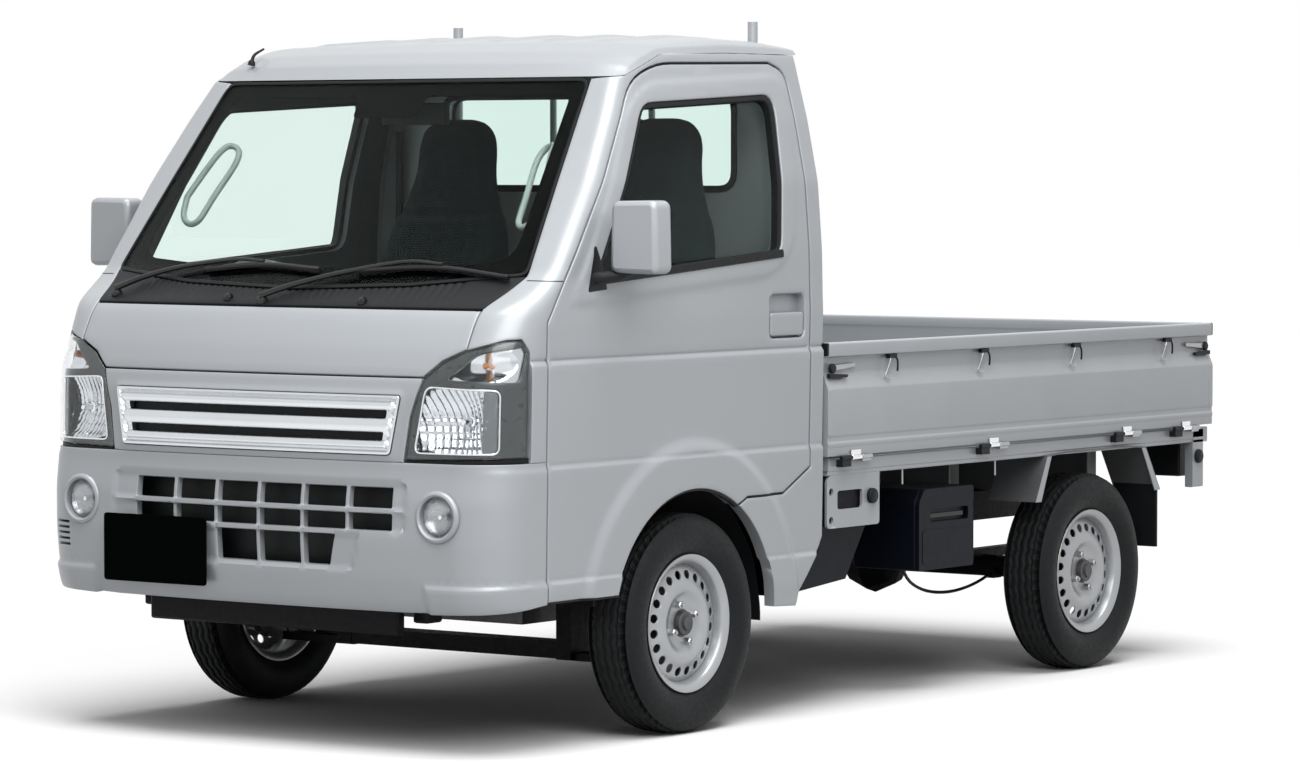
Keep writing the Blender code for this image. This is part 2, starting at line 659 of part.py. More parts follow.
# Roof rows from front to rear: centre y and z, edge y and z
Roof = namedtuple("Roof", "centre_y centre_z edge_y edge_z")
ROOF_LINES = [
    (-1.0980, 1.6045, -1.045, 1.608), (-1.0650, 1.6420, -1.010, 1.619), (-1.010, 1.672, -0.960, 1.635),
    (-0.910, 1.697, -0.880, 1.662), (-0.600, 1.718, -0.600, 1.670), (-0.400, 1.713, -0.400, 1.670),
    (-0.287, 1.698, -0.287, 1.670),
]
ROOF_ROWS = [Roof(*row) for row in ROOF_LINES]
# Cross-section of the roof, as shares of the half-width and of the rise
ROOF_SHARES = [(0, 1), (0.33, 0.97), (0.65, 0.89), (0.88, 0.80), (0.95, 0.66), (0.985, 0.42), (1, 0)]
ROOF_WALL = 0.022
ROOF_FLANGE = 0.030
ROOF_FRONT_WALL = 0.030


def skin_y(x, z):
    """Reach of the nose skin at a place across the cab, corner included."""
    width = table_curve(SIDE_SECTION, "half_width", z)
    corner = table_curve(FRONT_SECTION, "corner", z)
    bow = table_curve(FRONT_SECTION, "bow", z)
    over = min(max((x - width + corner) / corner, 0), 1)
    return table_curve(FRONT_SECTION, "y", z) + bow * (x / width) ** 2 + corner * (1 - math.sqrt(1 - over ** 2))


def grid_solid(outer, inner):
    """Closed solid between two point grids of the same size."""
    rows, columns = len(outer), len(outer[0])
    points = [p for row in outer for p in row] + [p for row in inner for p in row]
    count = rows * columns

    def at(i, j):
        return i * columns + j

    faces = []
    for i in range(rows - 1):
        for j in range(columns - 1):
            ring = [at(i, j), at(i, j + 1), at(i + 1, j + 1), at(i + 1, j)]
            for tri in ((ring[0], ring[1], ring[2]), (ring[0], ring[2], ring[3])):
                faces += [tri, tuple(k + count for k in tri[::-1])]
    border = [at(0, j) for j in range(columns)] + [at(i, columns - 1) for i in range(1, rows)]
    border += [at(rows - 1, j) for j in range(columns - 2, -1, -1)] + [at(i, 0) for i in range(rows - 2, 0, -1)]
    for a, b in zip(border, border[1:] + border[:1]):
        faces.append((b, a, a + count, b + count))
    return mesh_of(points, faces)


def roof(name):
    """Roof pan with rounded edges, hollow below."""
    first = ROOF_ROWS[0]
    outer, inner = [], []
    for row in ROOF_ROWS:
        width = table_curve(SIDE_SECTION, "half_width", row.edge_z)
        middle = skin_y(0, first.centre_z)
        spread = (row.edge_y - row.centre_y) / (skin_y(width, first.centre_z) - middle)
        top, under = [], []
        for share, rise in ROOF_SHARES:
            x = share * width
            y = row.centre_y + (skin_y(x, first.centre_z) - middle) * spread
            z = row.edge_z + (row.centre_z - row.edge_z) * rise
            top.append((x, y, z))
            tuck = ROOF_FRONT_WALL if row is first and share < 1 else 0
            drop = 0 if row is first or share == 1 else ROOF_WALL
            under.append((x * (width - ROOF_FLANGE) / width, y + tuck, max(z - drop, row.edge_z)))
        outer.append([(-x, y, z) for x, y, z in top[:0:-1]] + top)
        inner.append([(-x, y, z) for x, y, z in under[:0:-1]] + under)
    return make_object(name, grid_solid(outer, inner), SILVER, 0.3, 0.6)


REAR_WALL_TOP = 1.669
REAR_WALL_FOOT = 0.4804
REAR_GLASS = [(-0.470, 1.330), (0.470, 1.330), (0.470, 1.570), (-0.470, 1.570)]


def rear_corner(z):
    """Point on the left edge of the rear wall, against the inner face of the cab side."""
    here = skin(side_start(z) + CAB_REAR_Y - CAB_WALL, z, CAB_WALL, False)
    return here.x - SEAM, here.z


def cab_rear(name):
    """Rear wall of the cab between the two sides, and its window."""
    side_top = ROOF_EDGE[-1].z - ROOF_SEAM
    heights = [REAR_WALL_FOOT] + [z for z in Z_LINES if REAR_WALL_FOOT < z < side_top] + [side_top]
    right = [rear_corner(z) for z in heights]
    right.append((right[-1][0], REAR_WALL_TOP))
    outline = right + [(-x, z) for x, z in right[::-1]]
    window = rounded(REAR_GLASS, WINDOW_RADIUS, 3)

    def plane(y):
        return lambda x, z: Vector((x, y, z))

    flat, triangles = cut_up(outline, [window], [], [])
    make_object(name, slab(flat, triangles, plane(CAB_REAR_Y), plane(CAB_REAR_Y - CAB_WALL)), SILVER, 0.3, 0.6)
    flat, triangles = cut_up(grown(window, -SEAM), [], [], [])
    glass_y = CAB_REAR_Y - CAB_WALL / 2
    make_object("rear_glass", slab(flat, triangles, plane(glass_y), plane(glass_y - GLASS_WALL)), GLASS, 0.1)


# Cab floor and the box over the engine and the wheels
FLOOR_HALF = SIDE_SECTION[0].half_width - DOOR_WALL - MOVE_GAP
PAN_LOW = 0.4804
PAN_TOP = 0.510
RISER_TOP = 0.720
RISER_FRONT_Y = -1.205
TOE_Y = -1.500
TOE_TOP = 1.030
TOE_HALF = 0.600
TUNNEL_X = 0.400
SHEET_WALL = 0.020


def cab_floor(name):
    """Foot well, toe board, and the box that carries the seats."""
    rear_y = CAB_REAR_Y - CAB_WALL - SEAM
    parts = [
        box_mesh((-FLOOR_HALF, FLOOR_HALF), (TOE_Y, RISER_FRONT_Y + SHEET_WALL), (PAN_LOW, PAN_TOP)),
        box_mesh((-TOE_HALF, TOE_HALF), (TOE_Y, TOE_Y + SHEET_WALL), (PAN_LOW + WELD, TOE_TOP)),
        box_mesh((-FLOOR_HALF + WELD, FLOOR_HALF - WELD), (RISER_FRONT_Y, RISER_FRONT_Y + SHEET_WALL - WELD),
                 (PAN_LOW + WELD, RISER_TOP - WELD)),
        box_mesh((-FLOOR_HALF, FLOOR_HALF), (RISER_FRONT_Y - WELD, rear_y),
                 (RISER_TOP - SHEET_WALL, RISER_TOP)),
    ]
    for side in (-1, 1):
        walls = sorted((side * TUNNEL_X, side * (TUNNEL_X - SHEET_WALL)))
        parts.append(box_mesh(walls, (RISER_FRONT_Y + WELD, rear_y - WELD),
                              (PAN_LOW + DEEP_WELD, RISER_TOP - WELD)))
    return make_object(name, fused(parts), DARK, 0.7)


SEAT_X = 0.330
SEAT_HALF = 0.215
SEAT_HEAD_HALF = 0.145
SEAT_HEAD_Z = 1.260
SEAT_HEAD_TOP = 1.600
SEAT_HEAD_Y = (-0.600, -0.300)
SEAT_SIDE = [(-1.040, 0.7206), (-0.460, 0.7206), (-0.385, 1.500), (-0.430, 1.545), (-0.495, 1.520),
             (-0.545, 1.200), (-0.585, 0.900), (-0.640, 0.865), (-1.000, 0.875), (-1.050, 0.840)]


def seat(name):
    """One seat with its tall back; the head part is narrower."""
    body = prism_mesh(SEAT_SIDE, 0, SEAT_X - SEAT_HALF, SEAT_X + SEAT_HALF)
    cheeks = []
    for side in (-1, 1):
        edge = sorted((SEAT_X + side * SEAT_HEAD_HALF, SEAT_X + side * (SEAT_HALF + OVERRUN)))
        cheeks.append(box_mesh(edge, SEAT_HEAD_Y, (SEAT_HEAD_Z, SEAT_HEAD_TOP)))
    return make_object(name, fused([body], cheeks), CLOTH, 0.9)


DASH_FRONT_Y = TOE_Y + SHEET_WALL + SEAM
DASH_SIDE = [(DASH_FRONT_Y, 0.800), (-1.300, 0.780), (-1.240, 0.860), (-1.260, 0.980), (-1.330, 1.045),
             (DASH_FRONT_Y, 1.050)]
DASH_HALF = 0.600
WHEEL_CENTRE = (-0.350, -1.100, 1.030)
WHEEL_TILT_DEG = 38
WHEEL_RIM = 0.182
WHEEL_GRIP = 0.013
GRIP_STEPS = 6
SPOKE_RADIUS = 0.0104
SHROUD_RADIUS = 0.0392
SHROUD_LENGTH = 0.150
COLUMN_LENGTH = 0.110
COLUMN_RADIUS = 0.028


def column_axis():
    """Direction of the steering column, towards the driver."""
    tilt = math.radians(WHEEL_TILT_DEG)
    return Vector((0, math.sin(tilt), math.cos(tilt)))


def cabin():
    """Dashboard with the column's shroud, and the steering wheel."""
    axis = column_axis()
    centre = Vector(WHEEL_CENTRE)
    foot = centre - axis * (COLUMN_LENGTH + SEAM)
    shroud = tube_mesh([foot, foot - axis * SHROUD_LENGTH], SHROUD_RADIUS, 12)
    dash = prism_mesh(DASH_SIDE, 0, -DASH_HALF, DASH_HALF)
    make_object("dashboard", fused([dash, shroud]), DARK, 0.6)
    ring = circle(WHEEL_RIM, 0, WHEEL_GRIP, 0, 360, GRIP_STEPS + 1)[:-1]
    rim = lathe_mesh(ring, centre, axis, 24)
    hub = tube_mesh([centre - axis * COLUMN_LENGTH, centre + axis * WHEEL_GRIP], COLUMN_RADIUS, 12)
    spokes = []
    across, away = frame_on(axis)
    for turn in (0, 180, 270):
        ray = across * math.cos(math.radians(turn)) + away * math.sin(math.radians(turn))
        spokes.append(tube_mesh([centre, centre + ray * WHEEL_RIM], SPOKE_RADIUS, 8))
    make_object("steering_wheel", fused([rim, hub, *spokes]), BLACK, 0.6)


MIRROR_X = (0.762, 0.900)
MIRROR_Y = (-1.262, -1.192)
MIRROR_Z = (1.133, 1.308)
MIRROR_ROUND = 0.020
FOOT_X = (0.7250, 0.742)
FOOT_Y = (-1.315, -1.235)
FOOT_Z = (1.084, 1.150)
ARM_RADIUS = 0.012


def mirror(name):
    """Left mirror with its arm and foot."""
    x, y, z = MIRROR_X, MIRROR_Y, MIRROR_Z
    outline = rounded([(x[0], z[0]), (x[1], z[0]), (x[1], z[1]), (x[0], z[1])], MIRROR_ROUND, 3)
    shell = prism_mesh(outline, 1, y[0], y[1])
    foot = box_mesh(FOOT_X, FOOT_Y, FOOT_Z)
    start = Vector((sum(FOOT_X) / 2, sum(FOOT_Y) / 2, sum(FOOT_Z) / 2))
    end = Vector((sum(x) / 2, sum(y) / 2, z[0] + MIRROR_ROUND))
    return make_object(name, fused([shell, foot, tube_mesh([start, end], ARM_RADIUS, 8)]), SILVER, 0.3, 0.5)


# Load bed
BED_FRONT_Y = -0.262
BED_REAR_Y = 1.655
BED_END_Y = 1.683
GATE_THICK = 0.025
BED_HALF = GATE_FACE_X - GATE_THICK - MOVE_GAP
PLATE_LOW = 0.622
RAIL_LAP = 0.012
RAIL_INSET = 0.013
SIDE_RAIL_X = (BED_HALF - RAIL_LAP, GATE_FACE_X - RAIL_INSET)
SIDE_RAIL_Z = (0.609, 0.643)
END_RAIL_LOW = 0.600
RAIL_TOP = 0.480
SILL_TOP = 0.630
SILL_DEPTH = 0.050
POST_LAP = 0.007
POST_X = (BED_HALF - POST_LAP, SIDE_RAIL_X[1])
# Cross sills under the floor: y and half-length
Sill = namedtuple("Sill", "y half")
SILL_ROWS = [(-0.200, POST_X[0]), (0.300, 0.490), (0.690, 0.490), (REAR_AXLE_Y, 0.490), (1.420, 0.490)]
SILLS = [Sill(*row) for row in SILL_ROWS]
POST_Y = (1.600, 1.660)
POST_FOOT_Z = 0.472
BRACKET_Y = (BED_FRONT_Y, -0.020)
BRACKET_INSET = 0.003
BRACKET_THICK = 0.012
BRACKET_X = (SIDE_RAIL_X[1] - BRACKET_INSET - BRACKET_THICK, SIDE_RAIL_X[1] - BRACKET_INSET)
BRACKET_FOOT_Z = 0.465
BRACKET_HOLE_Y = (-0.215, -0.100)
BRACKET_HOLE_Z = (0.512, 0.560)
TAIL_LAMP_X = (0.500, 0.660)
TAIL_LAMP_Y = (1.620, 1.684)
TAIL_LAMP_Z = (0.500, 0.606)

# Drop sides
AXIS_PROUD = 0.0035
GATE_AXIS_X = GATE_FACE_X + AXIS_PROUD
GATE_AXIS_Z = 0.645
GATE_AXIS_Y = 1.6915
BARREL_RADIUS = 0.0060
BARREL_LENGTH = 0.050
HINGE_PLACES = [-0.157, 0.508, 1.208, 1.536]
TAIL_HINGE_PLACES = [-0.500, 0, 0.500]
GATE_Y = (-0.283, 1.690)
TAIL_GAP = 0.003
TAIL_HALF = BED_HALF - TAIL_GAP
# Section of a gate: distance in from its outer face, and height
GATE_SECTION = [(0.022, 0.6503), (0, 0.6503), (0, 0.820), (0.009, 0.832), (0.009, 0.900), (0, 0.905),
                (0, GATE_TOP), (GATE_THICK, GATE_TOP), (GATE_THICK, 0.925), (0.022, 0.920)]
STOP_RADIUS = 0.020
STOP_SINK = 0.006
# Rubber stops on the bed's side: y and z
STOPS = [(-0.060, 0.540), (1.630, 0.560)]


def both_sides(low, high):
    """The same span on the left and on the right."""
    return [(low, high), (-high, -low)]


def on_side(span, side):
    """A span of the left side moved to the side named by 1 or -1."""
    return tuple(sorted((side * span[0], side * span[1])))


def bed(name):
    """Bed floor with its sills, side rails, posts, brackets and hinge barrels."""
    rail_y = (BED_FRONT_Y, POST_Y[1])
    parts = [box_mesh((-BED_HALF, BED_HALF), (BED_FRONT_Y, BED_REAR_Y), (PLATE_LOW, FLOOR_TOP))]
    parts.append(box_mesh((-SIDE_RAIL_X[1], SIDE_RAIL_X[1]), (POST_Y[0] + WELD, BED_END_Y),
                          (END_RAIL_LOW, SIDE_RAIL_Z[1])))
    for sill in SILLS:
        half = SILL_DEPTH / 2
        parts.append(box_mesh((-sill.half, sill.half), (sill.y - half, sill.y + half),
                              (RAIL_TOP + SEAM, SILL_TOP)))
    for side in (1, -1):
        parts.append(box_mesh(on_side(SIDE_RAIL_X, side), rail_y, SIDE_RAIL_Z))
        parts.append(box_mesh(on_side(POST_X, side), POST_Y, (POST_FOOT_Z, SIDE_RAIL_Z[0] + WELD)))
        parts.append(box_mesh(on_side(BRACKET_X, side), BRACKET_Y, (BRACKET_FOOT_Z, SIDE_RAIL_Z[0] + WELD)))
        parts.append(box_mesh(on_side(TAIL_LAMP_X, side), TAIL_LAMP_Y, TAIL_LAMP_Z))
        for y in HINGE_PLACES:
            ends = [(side * GATE_AXIS_X, y + BARREL_LENGTH / 2 * end, GATE_AXIS_Z) for end in (-1, 1)]
            parts.append(tube_mesh(ends, BARREL_RADIUS, 12))
            tab_y = (y - BARREL_LENGTH / 2 + WELD, y + BARREL_LENGTH / 2 - WELD)
            tab_z = (SIDE_RAIL_Z[1] - OVERRUN, SIDE_RAIL_Z[1] - WELD)
            parts.append(box_mesh(on_side((SIDE_RAIL_X[1] - WELD, GATE_AXIS_X), side), tab_y, tab_z))
        for y, z in STOPS:
            ends = [(side * (POST_X[1] - STOP_SINK), y, z), (side * (POST_X[1] + OVERRUN), y, z)]
            parts.append(tube_mesh(ends, STOP_RADIUS, 12))
    for x in TAIL_HINGE_PLACES:
        ends = [(x + BARREL_LENGTH / 2 * end, GATE_AXIS_Y, GATE_AXIS_Z) for end in (-1, 1)]
        parts.append(tube_mesh(ends, BARREL_RADIUS, 12))
        tab_x = (x - BARREL_LENGTH / 2 + WELD, x + BARREL_LENGTH / 2 - WELD)
        parts.append(box_mesh(tab_x, (BED_END_Y - WELD, GATE_AXIS_Y), (SIDE_RAIL_Z[1] - OVERRUN,
                                                                       SIDE_RAIL_Z[1] - WELD)))
    holes = []
    for side in (1, -1):
        through = (BRACKET_X[0] - OVERRUN, BRACKET_X[1] + OVERRUN)
        holes.append(box_mesh(on_side(through, side), BRACKET_HOLE_Y, BRACKET_HOLE_Z))
    return make_object(name, fused(parts, holes), SILVER, 0.4, 0.5)


def gates():
    """Two side gates and the tail gate."""
    outline = [(GATE_FACE_X - inset, z) for inset, z in GATE_SECTION]
    left = make_object("gate_left", prism_mesh(outline, 1, *GATE_Y), SILVER, 0.35, 0.5)
    mirrored(left, "gate_right")
    face = GATE_AXIS_Y - AXIS_PROUD
    outline = [(face - inset, z) for inset, z in GATE_SECTION]
    make_object("gate_tail", prism_mesh(outline, 0, -TAIL_HALF, TAIL_HALF), SILVER, 0.35, 0.5)


GUARD_Y = -0.262
GUARD_X = 0.480
GUARD_INNER_X = 0.160
GUARD_TOP = 1.757
GUARD_BAR_Z = 1.290
GUARD_HIGH_Z = 1.610
GUARD_RADIUS = 0.013
GUARD_INNER_RADIUS = 0.009
GUARD_BAR_RADIUS = 0.0117
GUARD_SINK = 0.060
BOARD_Y = (-0.285, BED_FRONT_Y - SEAM)


def guard(name):
    """Board at the front of the bed with the tubes that guard the rear window."""
    parts = [box_mesh((-BED_HALF, BED_HALF), BOARD_Y, (SIDE_RAIL_Z[0], GATE_TOP))]
    foot = GATE_TOP - GUARD_SINK
    for side in (-1, 1):
        parts.append(tube_mesh([(side * GUARD_X, GUARD_Y, foot), (side * GUARD_X, GUARD_Y, GUARD_TOP)],
                               GUARD_RADIUS, 8))
        parts.append(tube_mesh([(side * GUARD_INNER_X, GUARD_Y, foot),
                                (side * GUARD_INNER_X, GUARD_Y, GUARD_HIGH_Z)], GUARD_INNER_RADIUS, 8))
    for z in (GUARD_BAR_Z, GUARD_HIGH_Z):
        parts.append(tube_mesh([(-GUARD_X, GUARD_Y, z), (GUARD_X, GUARD_Y, z)], GUARD_BAR_RADIUS, 8))
    return make_object(name, fused(parts), STEEL, 0.4, 0.5)


# Chassis
RAIL_X = (0.330, 0.375)
RAIL_Z = (0.400, 0.480)
RAIL_Y = (-1.550, 1.600)
# Cross members between the rails: y and the half-length
Member = namedtuple("Member", "y half low high")
MEMBER_ROWS = [(-1.520, 0.450, 0.350, 0.430), (-0.280, 0.350, 0.410, 0.470), (0.480, 0.350, 0.410, 0.470),
               (1.570, 0.350, 0.410, 0.470)]
MEMBERS = [Member(*row) for row in MEMBER_ROWS]
ENGINE_BOX = ((-0.270, 0.270), (-0.960, -0.380), (0.250, 0.660))
ENGINE_MOUNT_Y = (-0.680, -0.620)
ENGINE_MOUNT_Z = (0.415, 0.460)
TANK_BOX = ((-0.640, -0.400), (0.060, 0.620), (0.300, 0.4800))
SIDE_BOX = ((0.4906, 0.700), (0.190, 0.457), (0.326, 0.540))
COVER_SIDE = [(-0.400, 0.300), (-0.100, 0.325), (0, 0.470), (-0.400, 0.470)]
COVER_X = (0.3756, 0.660)
MUFFLER = ((-0.200, 0.350, 0.310), (-0.200, 0.740, 0.310))
MUFFLER_RADIUS = 0.070
PIPE_RADIUS = 0.020
# Cable that hangs between a clip on the rail and a clip on the rear axle, as (y, z) down from the rail
CABLE_X = 0.420
CABLE_RADIUS = 0.0045
CABLE_STEPS = 28
CABLE_PATH = [(0.520, 0.4116), (0.522, 0.360), (0.535, 0.305), (0.570, 0.262), (0.630, 0.235), (0.700, 0.221),
              (0.780, 0.217), (0.860, 0.223), (0.930, 0.236), (0.9846, 0.252)]
CLIP_HALF = 0.012
CLIP_HEIGHT = 0.024
CLIP_GAP = 0.0030
PIPE = [(-0.200, ENGINE_BOX[1][1] + SEAM, 0.310), (-0.200, 0.400, 0.310)]
TAIL_PIPE = [(-0.200, 0.700, 0.310), (-0.240, 0.860, 0.370), (-0.240, 1.200, 0.370), (-0.240, 1.600, 0.340)]


def smooth_through(points, count):
    """Even points on a smooth curve that passes through the given points."""
    spots = [Vector(p) for p in points]
    spots = [spots[0] + spots[0] - spots[1], *spots, spots[-1] + spots[-1] - spots[-2]]
    dense = []
    for a, b, c, d in zip(spots, spots[1:], spots[2:], spots[3:]):
        for t in np.linspace(0, 1, count, endpoint=False):
            bend = (a * 2 - b * 5 + c * 4 - d) * t ** 2 + (b * 3 - a - c * 3 + d) * t ** 3
            dense.append(((b * 2) + (c - a) * t + bend) / 2)
    dense = np.array([*dense, spots[-2]])
    reach = np.append(0, np.cumsum(np.linalg.norm(np.diff(dense, axis=0), axis=1)))
    return np.stack([np.interp(np.linspace(0, reach[-1], count), reach, column) for column in dense.T], axis=1)


def cable(name):
    """Cable that sags between its two clips."""
    path = smooth_through([(CABLE_X, y, z) for y, z in CABLE_PATH], CABLE_STEPS)
    return make_object(name, tube_mesh(path, CABLE_RADIUS, 8), BLACK, 0.6)


def chassis():
    """Ladder frame and the masses that hang from it."""
    parts = [box_mesh(span, RAIL_Y, RAIL_Z) for span in both_sides(*RAIL_X)]
    for member in MEMBERS:
        half = SILL_DEPTH / 2
        parts.append(box_mesh((-member.half, member.half), (member.y - half, member.y + half),
                              (member.low, member.high)))
    for span in both_sides(ENGINE_BOX[0][1] + SEAM, RAIL_X[0] + WELD):
        parts.append(box_mesh(span, ENGINE_MOUNT_Y, ENGINE_MOUNT_Z))
    clip_y, clip_z = CABLE_PATH[0]
    parts.append(box_mesh((RAIL_X[1] - WELD, CABLE_X + CLIP_HALF), (clip_y - CLIP_HALF, clip_y + CLIP_HALF),
                          (clip_z + SEAM, clip_z + CLIP_HEIGHT)))
    make_object("frame", fused(parts), BLACK, 0.6)
    make_object("engine", box_mesh(*ENGINE_BOX), STEEL, 0.6, 0.5)
    make_object("fuel_tank", box_mesh(*TANK_BOX), BLACK, 0.6)
    make_object("side_box", box_mesh(*SIDE_BOX), DARK, 0.5)
    cover = make_object("splash_cover_left", prism_mesh(COVER_SIDE, 0, *COVER_X), BLACK, 0.7)
    mirrored(cover, "splash_cover_right")
    make_object("exhaust", fused([tube_mesh(MUFFLER, MUFFLER_RADIUS, 16), tube_mesh(PIPE, PIPE_RADIUS, 8),
                                  tube_mesh(TAIL_PIPE, PIPE_RADIUS, 8)]), STEEL, 0.5, 0.8)


# Rear fender sheet over the tyre, as (y, z) of its underside, and its flap
FENDER_CROWN = SIDE_RAIL_Z[0] - SHEET - SEAM
FENDER_PATH = [(0.736, 0.477), (0.797, 0.598), (0.900, FENDER_CROWN), (1.230, FENDER_CROWN), (1.325, 0.598),
               (1.404, 0.476)]
FENDER_X = (0.570, GATE_FACE_X - MOVE_GAP)
FLAP_INSET = 0.006
FLAP_X = (FENDER_X[0] + FLAP_INSET, FENDER_X[1] - FLAP_INSET)
FLAP_Z = (0.315, 0.500)
FLAP_THICK = 0.008


def fender(name):
    """Left rear fender with its mud flap."""
    top = [(y, z + SHEET) for y, z in FENDER_PATH]
    sheet = prism_mesh(FENDER_PATH + top[::-1], 0, *FENDER_X)
    rear = FENDER_PATH[-1][0]
    flap = box_mesh(FLAP_X, (rear - FLAP_THICK - WELD, rear - WELD), FLAP_Z)
    return make_object(name, fused([sheet, flap]), SILVER, 0.5, 0.4)


# Wheel section: radius and distance out from the wheel's middle plane
WHEEL_SECTION = [
    (0.169, 0.0575), (0.150, 0.046), (0.141, 0.034), (0.120, 0.036), (0.095, 0.047), (0.080, 0.045),
    (0.066, 0.034), (0.036, 0.032), (0.030, 0.050), (0, 0.052), (0, 0.024), (0.066, 0.026), (0.095, 0.038),
    (0.120, 0.028), (0.144, 0.022), (0.146, -0.044), (0.163, -0.0575), (0.169, -0.0575), (0.169, -0.052),
    (0.1524, -0.045), (0.1524, 0.045), (0.169, 0.052),
]
TYRE_SECTION = [
    (0.1530, -0.0440), (0.1712, -0.0515), (0.192, -0.067), (0.216, -0.0735), (0.244, -0.069), (0.262, -0.058),
    (0.270, -0.040), (0.270, 0.040), (0.262, 0.058), (0.244, 0.069), (0.216, 0.0735), (0.192, 0.067),
    (0.1712, 0.0515), (0.1530, 0.0440),
]
WHEEL_STEPS = 24
VENT_COUNT = 12
VENT_RADIUS = 0.009
VENT_RING = 0.118
STUB_END = 0.0236
STUB_RADIUS = 0.018
DRUM_RADIUS = 0.110
DRUM_SPAN = (-0.050, -0.024)


def wheel(name, x, y):
    """Left steel wheel with vent holes."""
    centre = (x, y, TYRE_RADIUS)
    body = lathe_mesh(WHEEL_SECTION, centre, (1, 0, 0), WHEEL_STEPS)
    cutters = []
    for k in range(VENT_COUNT):
        turn = 2 * math.pi * (k + 0.5) / VENT_COUNT
        spot = Vector((0, math.cos(turn), math.sin(turn))) * VENT_RING + Vector(centre)
        reach = Vector((TYRE_WIDTH / 2, 0, 0))
        cutters.append(tube_mesh([spot, spot + reach], VENT_RADIUS, 6))
    return make_object(name, fused([body], cutters), STEEL, 0.35, 0.7)


def tyre(name, x, y):
    """Left tyre as a plain closed ring."""
    return make_object(name, lathe_mesh(TYRE_SECTION, (x, y, TYRE_RADIUS), (1, 0, 0), WHEEL_STEPS), RUBBER, 0.8)


def wheels():
    """Four wheels and tyres."""
    for place, x, y in (("front", FRONT_WHEEL_X, FRONT_AXLE_Y), ("rear", REAR_WHEEL_X, REAR_AXLE_Y)):
        for make, part in ((wheel, "wheel"), (tyre, "tyre")):
            left = make(f"{part}_{place}_left", x, y)
            mirrored(left, f"{part}_{place}_right")


KNUCKLE_Z = (0.1804, 0.360)
KNUCKLE_RADIUS = 0.015
STRUT_RADIUS = 0.012
ARM_Z = (0.160, 0.180)
ARM_HALF = 0.025
BEAM_X = 0.330
BEAM_Z = (0.300, 0.3996)
BEAM_HALF = 0.040
AXLE_RADIUS = 0.030
BULGE_RADIUS = 0.095
SPRING_HALF = 0.520
SPRING_Z = (0.292, 0.318)
SHACKLE_LENGTH = 0.030
SPRING_X = (0.335, 0.372)


def knuckle(name):
    """Left steering knuckle with its stub axle and brake drum."""
    centre = Vector((FRONT_WHEEL_X, FRONT_AXLE_Y, TYRE_RADIUS))
    post = tube_mesh([(KINGPIN_X, FRONT_AXLE_Y, KNUCKLE_Z[0]), (KINGPIN_X, FRONT_AXLE_Y, KNUCKLE_Z[1])],
                     KNUCKLE_RADIUS, 12)
    stub = tube_mesh([Vector((KINGPIN_X, centre.y, centre.z)), centre + Vector((STUB_END, 0, 0))],
                     STUB_RADIUS, 12)
    drum = tube_mesh([centre + Vector((end, 0, 0)) for end in DRUM_SPAN], DRUM_RADIUS, 20)
    return make_object(name, fused([post, stub, drum]), STEEL, 0.5, 0.7)


def front_suspension(name):
    """Cross beam under the rails, lower arms and struts up to the wheel houses."""
    ends_y = (FRONT_AXLE_Y - BEAM_HALF, FRONT_AXLE_Y + BEAM_HALF)
    arm_y = (FRONT_AXLE_Y - ARM_HALF, FRONT_AXLE_Y + ARM_HALF)
    parts = []
    for side in (-1, 1):
        tip = side * (KINGPIN_X + ARM_HALF / 2)
        parts.append(box_mesh(sorted((side * BEAM_X, side * RAIL_X[1])), ends_y, (ARM_Z[0] + WELD, BEAM_Z[1])))
        parts.append(box_mesh(sorted((side * (BEAM_X + WELD), tip)), arm_y, ARM_Z))
    low = box_mesh((-RAIL_X[0] - WELD, RAIL_X[0] + WELD), (ends_y[0] + WELD, ends_y[1] - WELD),
                   (ARM_Z[0] + DEEP_WELD, ARM_Z[1] + ARM_HALF))
    parts.append(low)
    return make_object(name, fused(parts), BLACK, 0.6)


def strut(name):
    """Left strut between the knuckle and the wheel house."""
    low = KNUCKLE_Z[1] + SEAM
    return make_object(name, tube_mesh([(KINGPIN_X, FRONT_AXLE_Y, low),
                                        (KINGPIN_X, FRONT_AXLE_Y, RISER_TOP - SHEET_WALL - SEAM)],
                                       STRUT_RADIUS, 12), BLACK, 0.5)


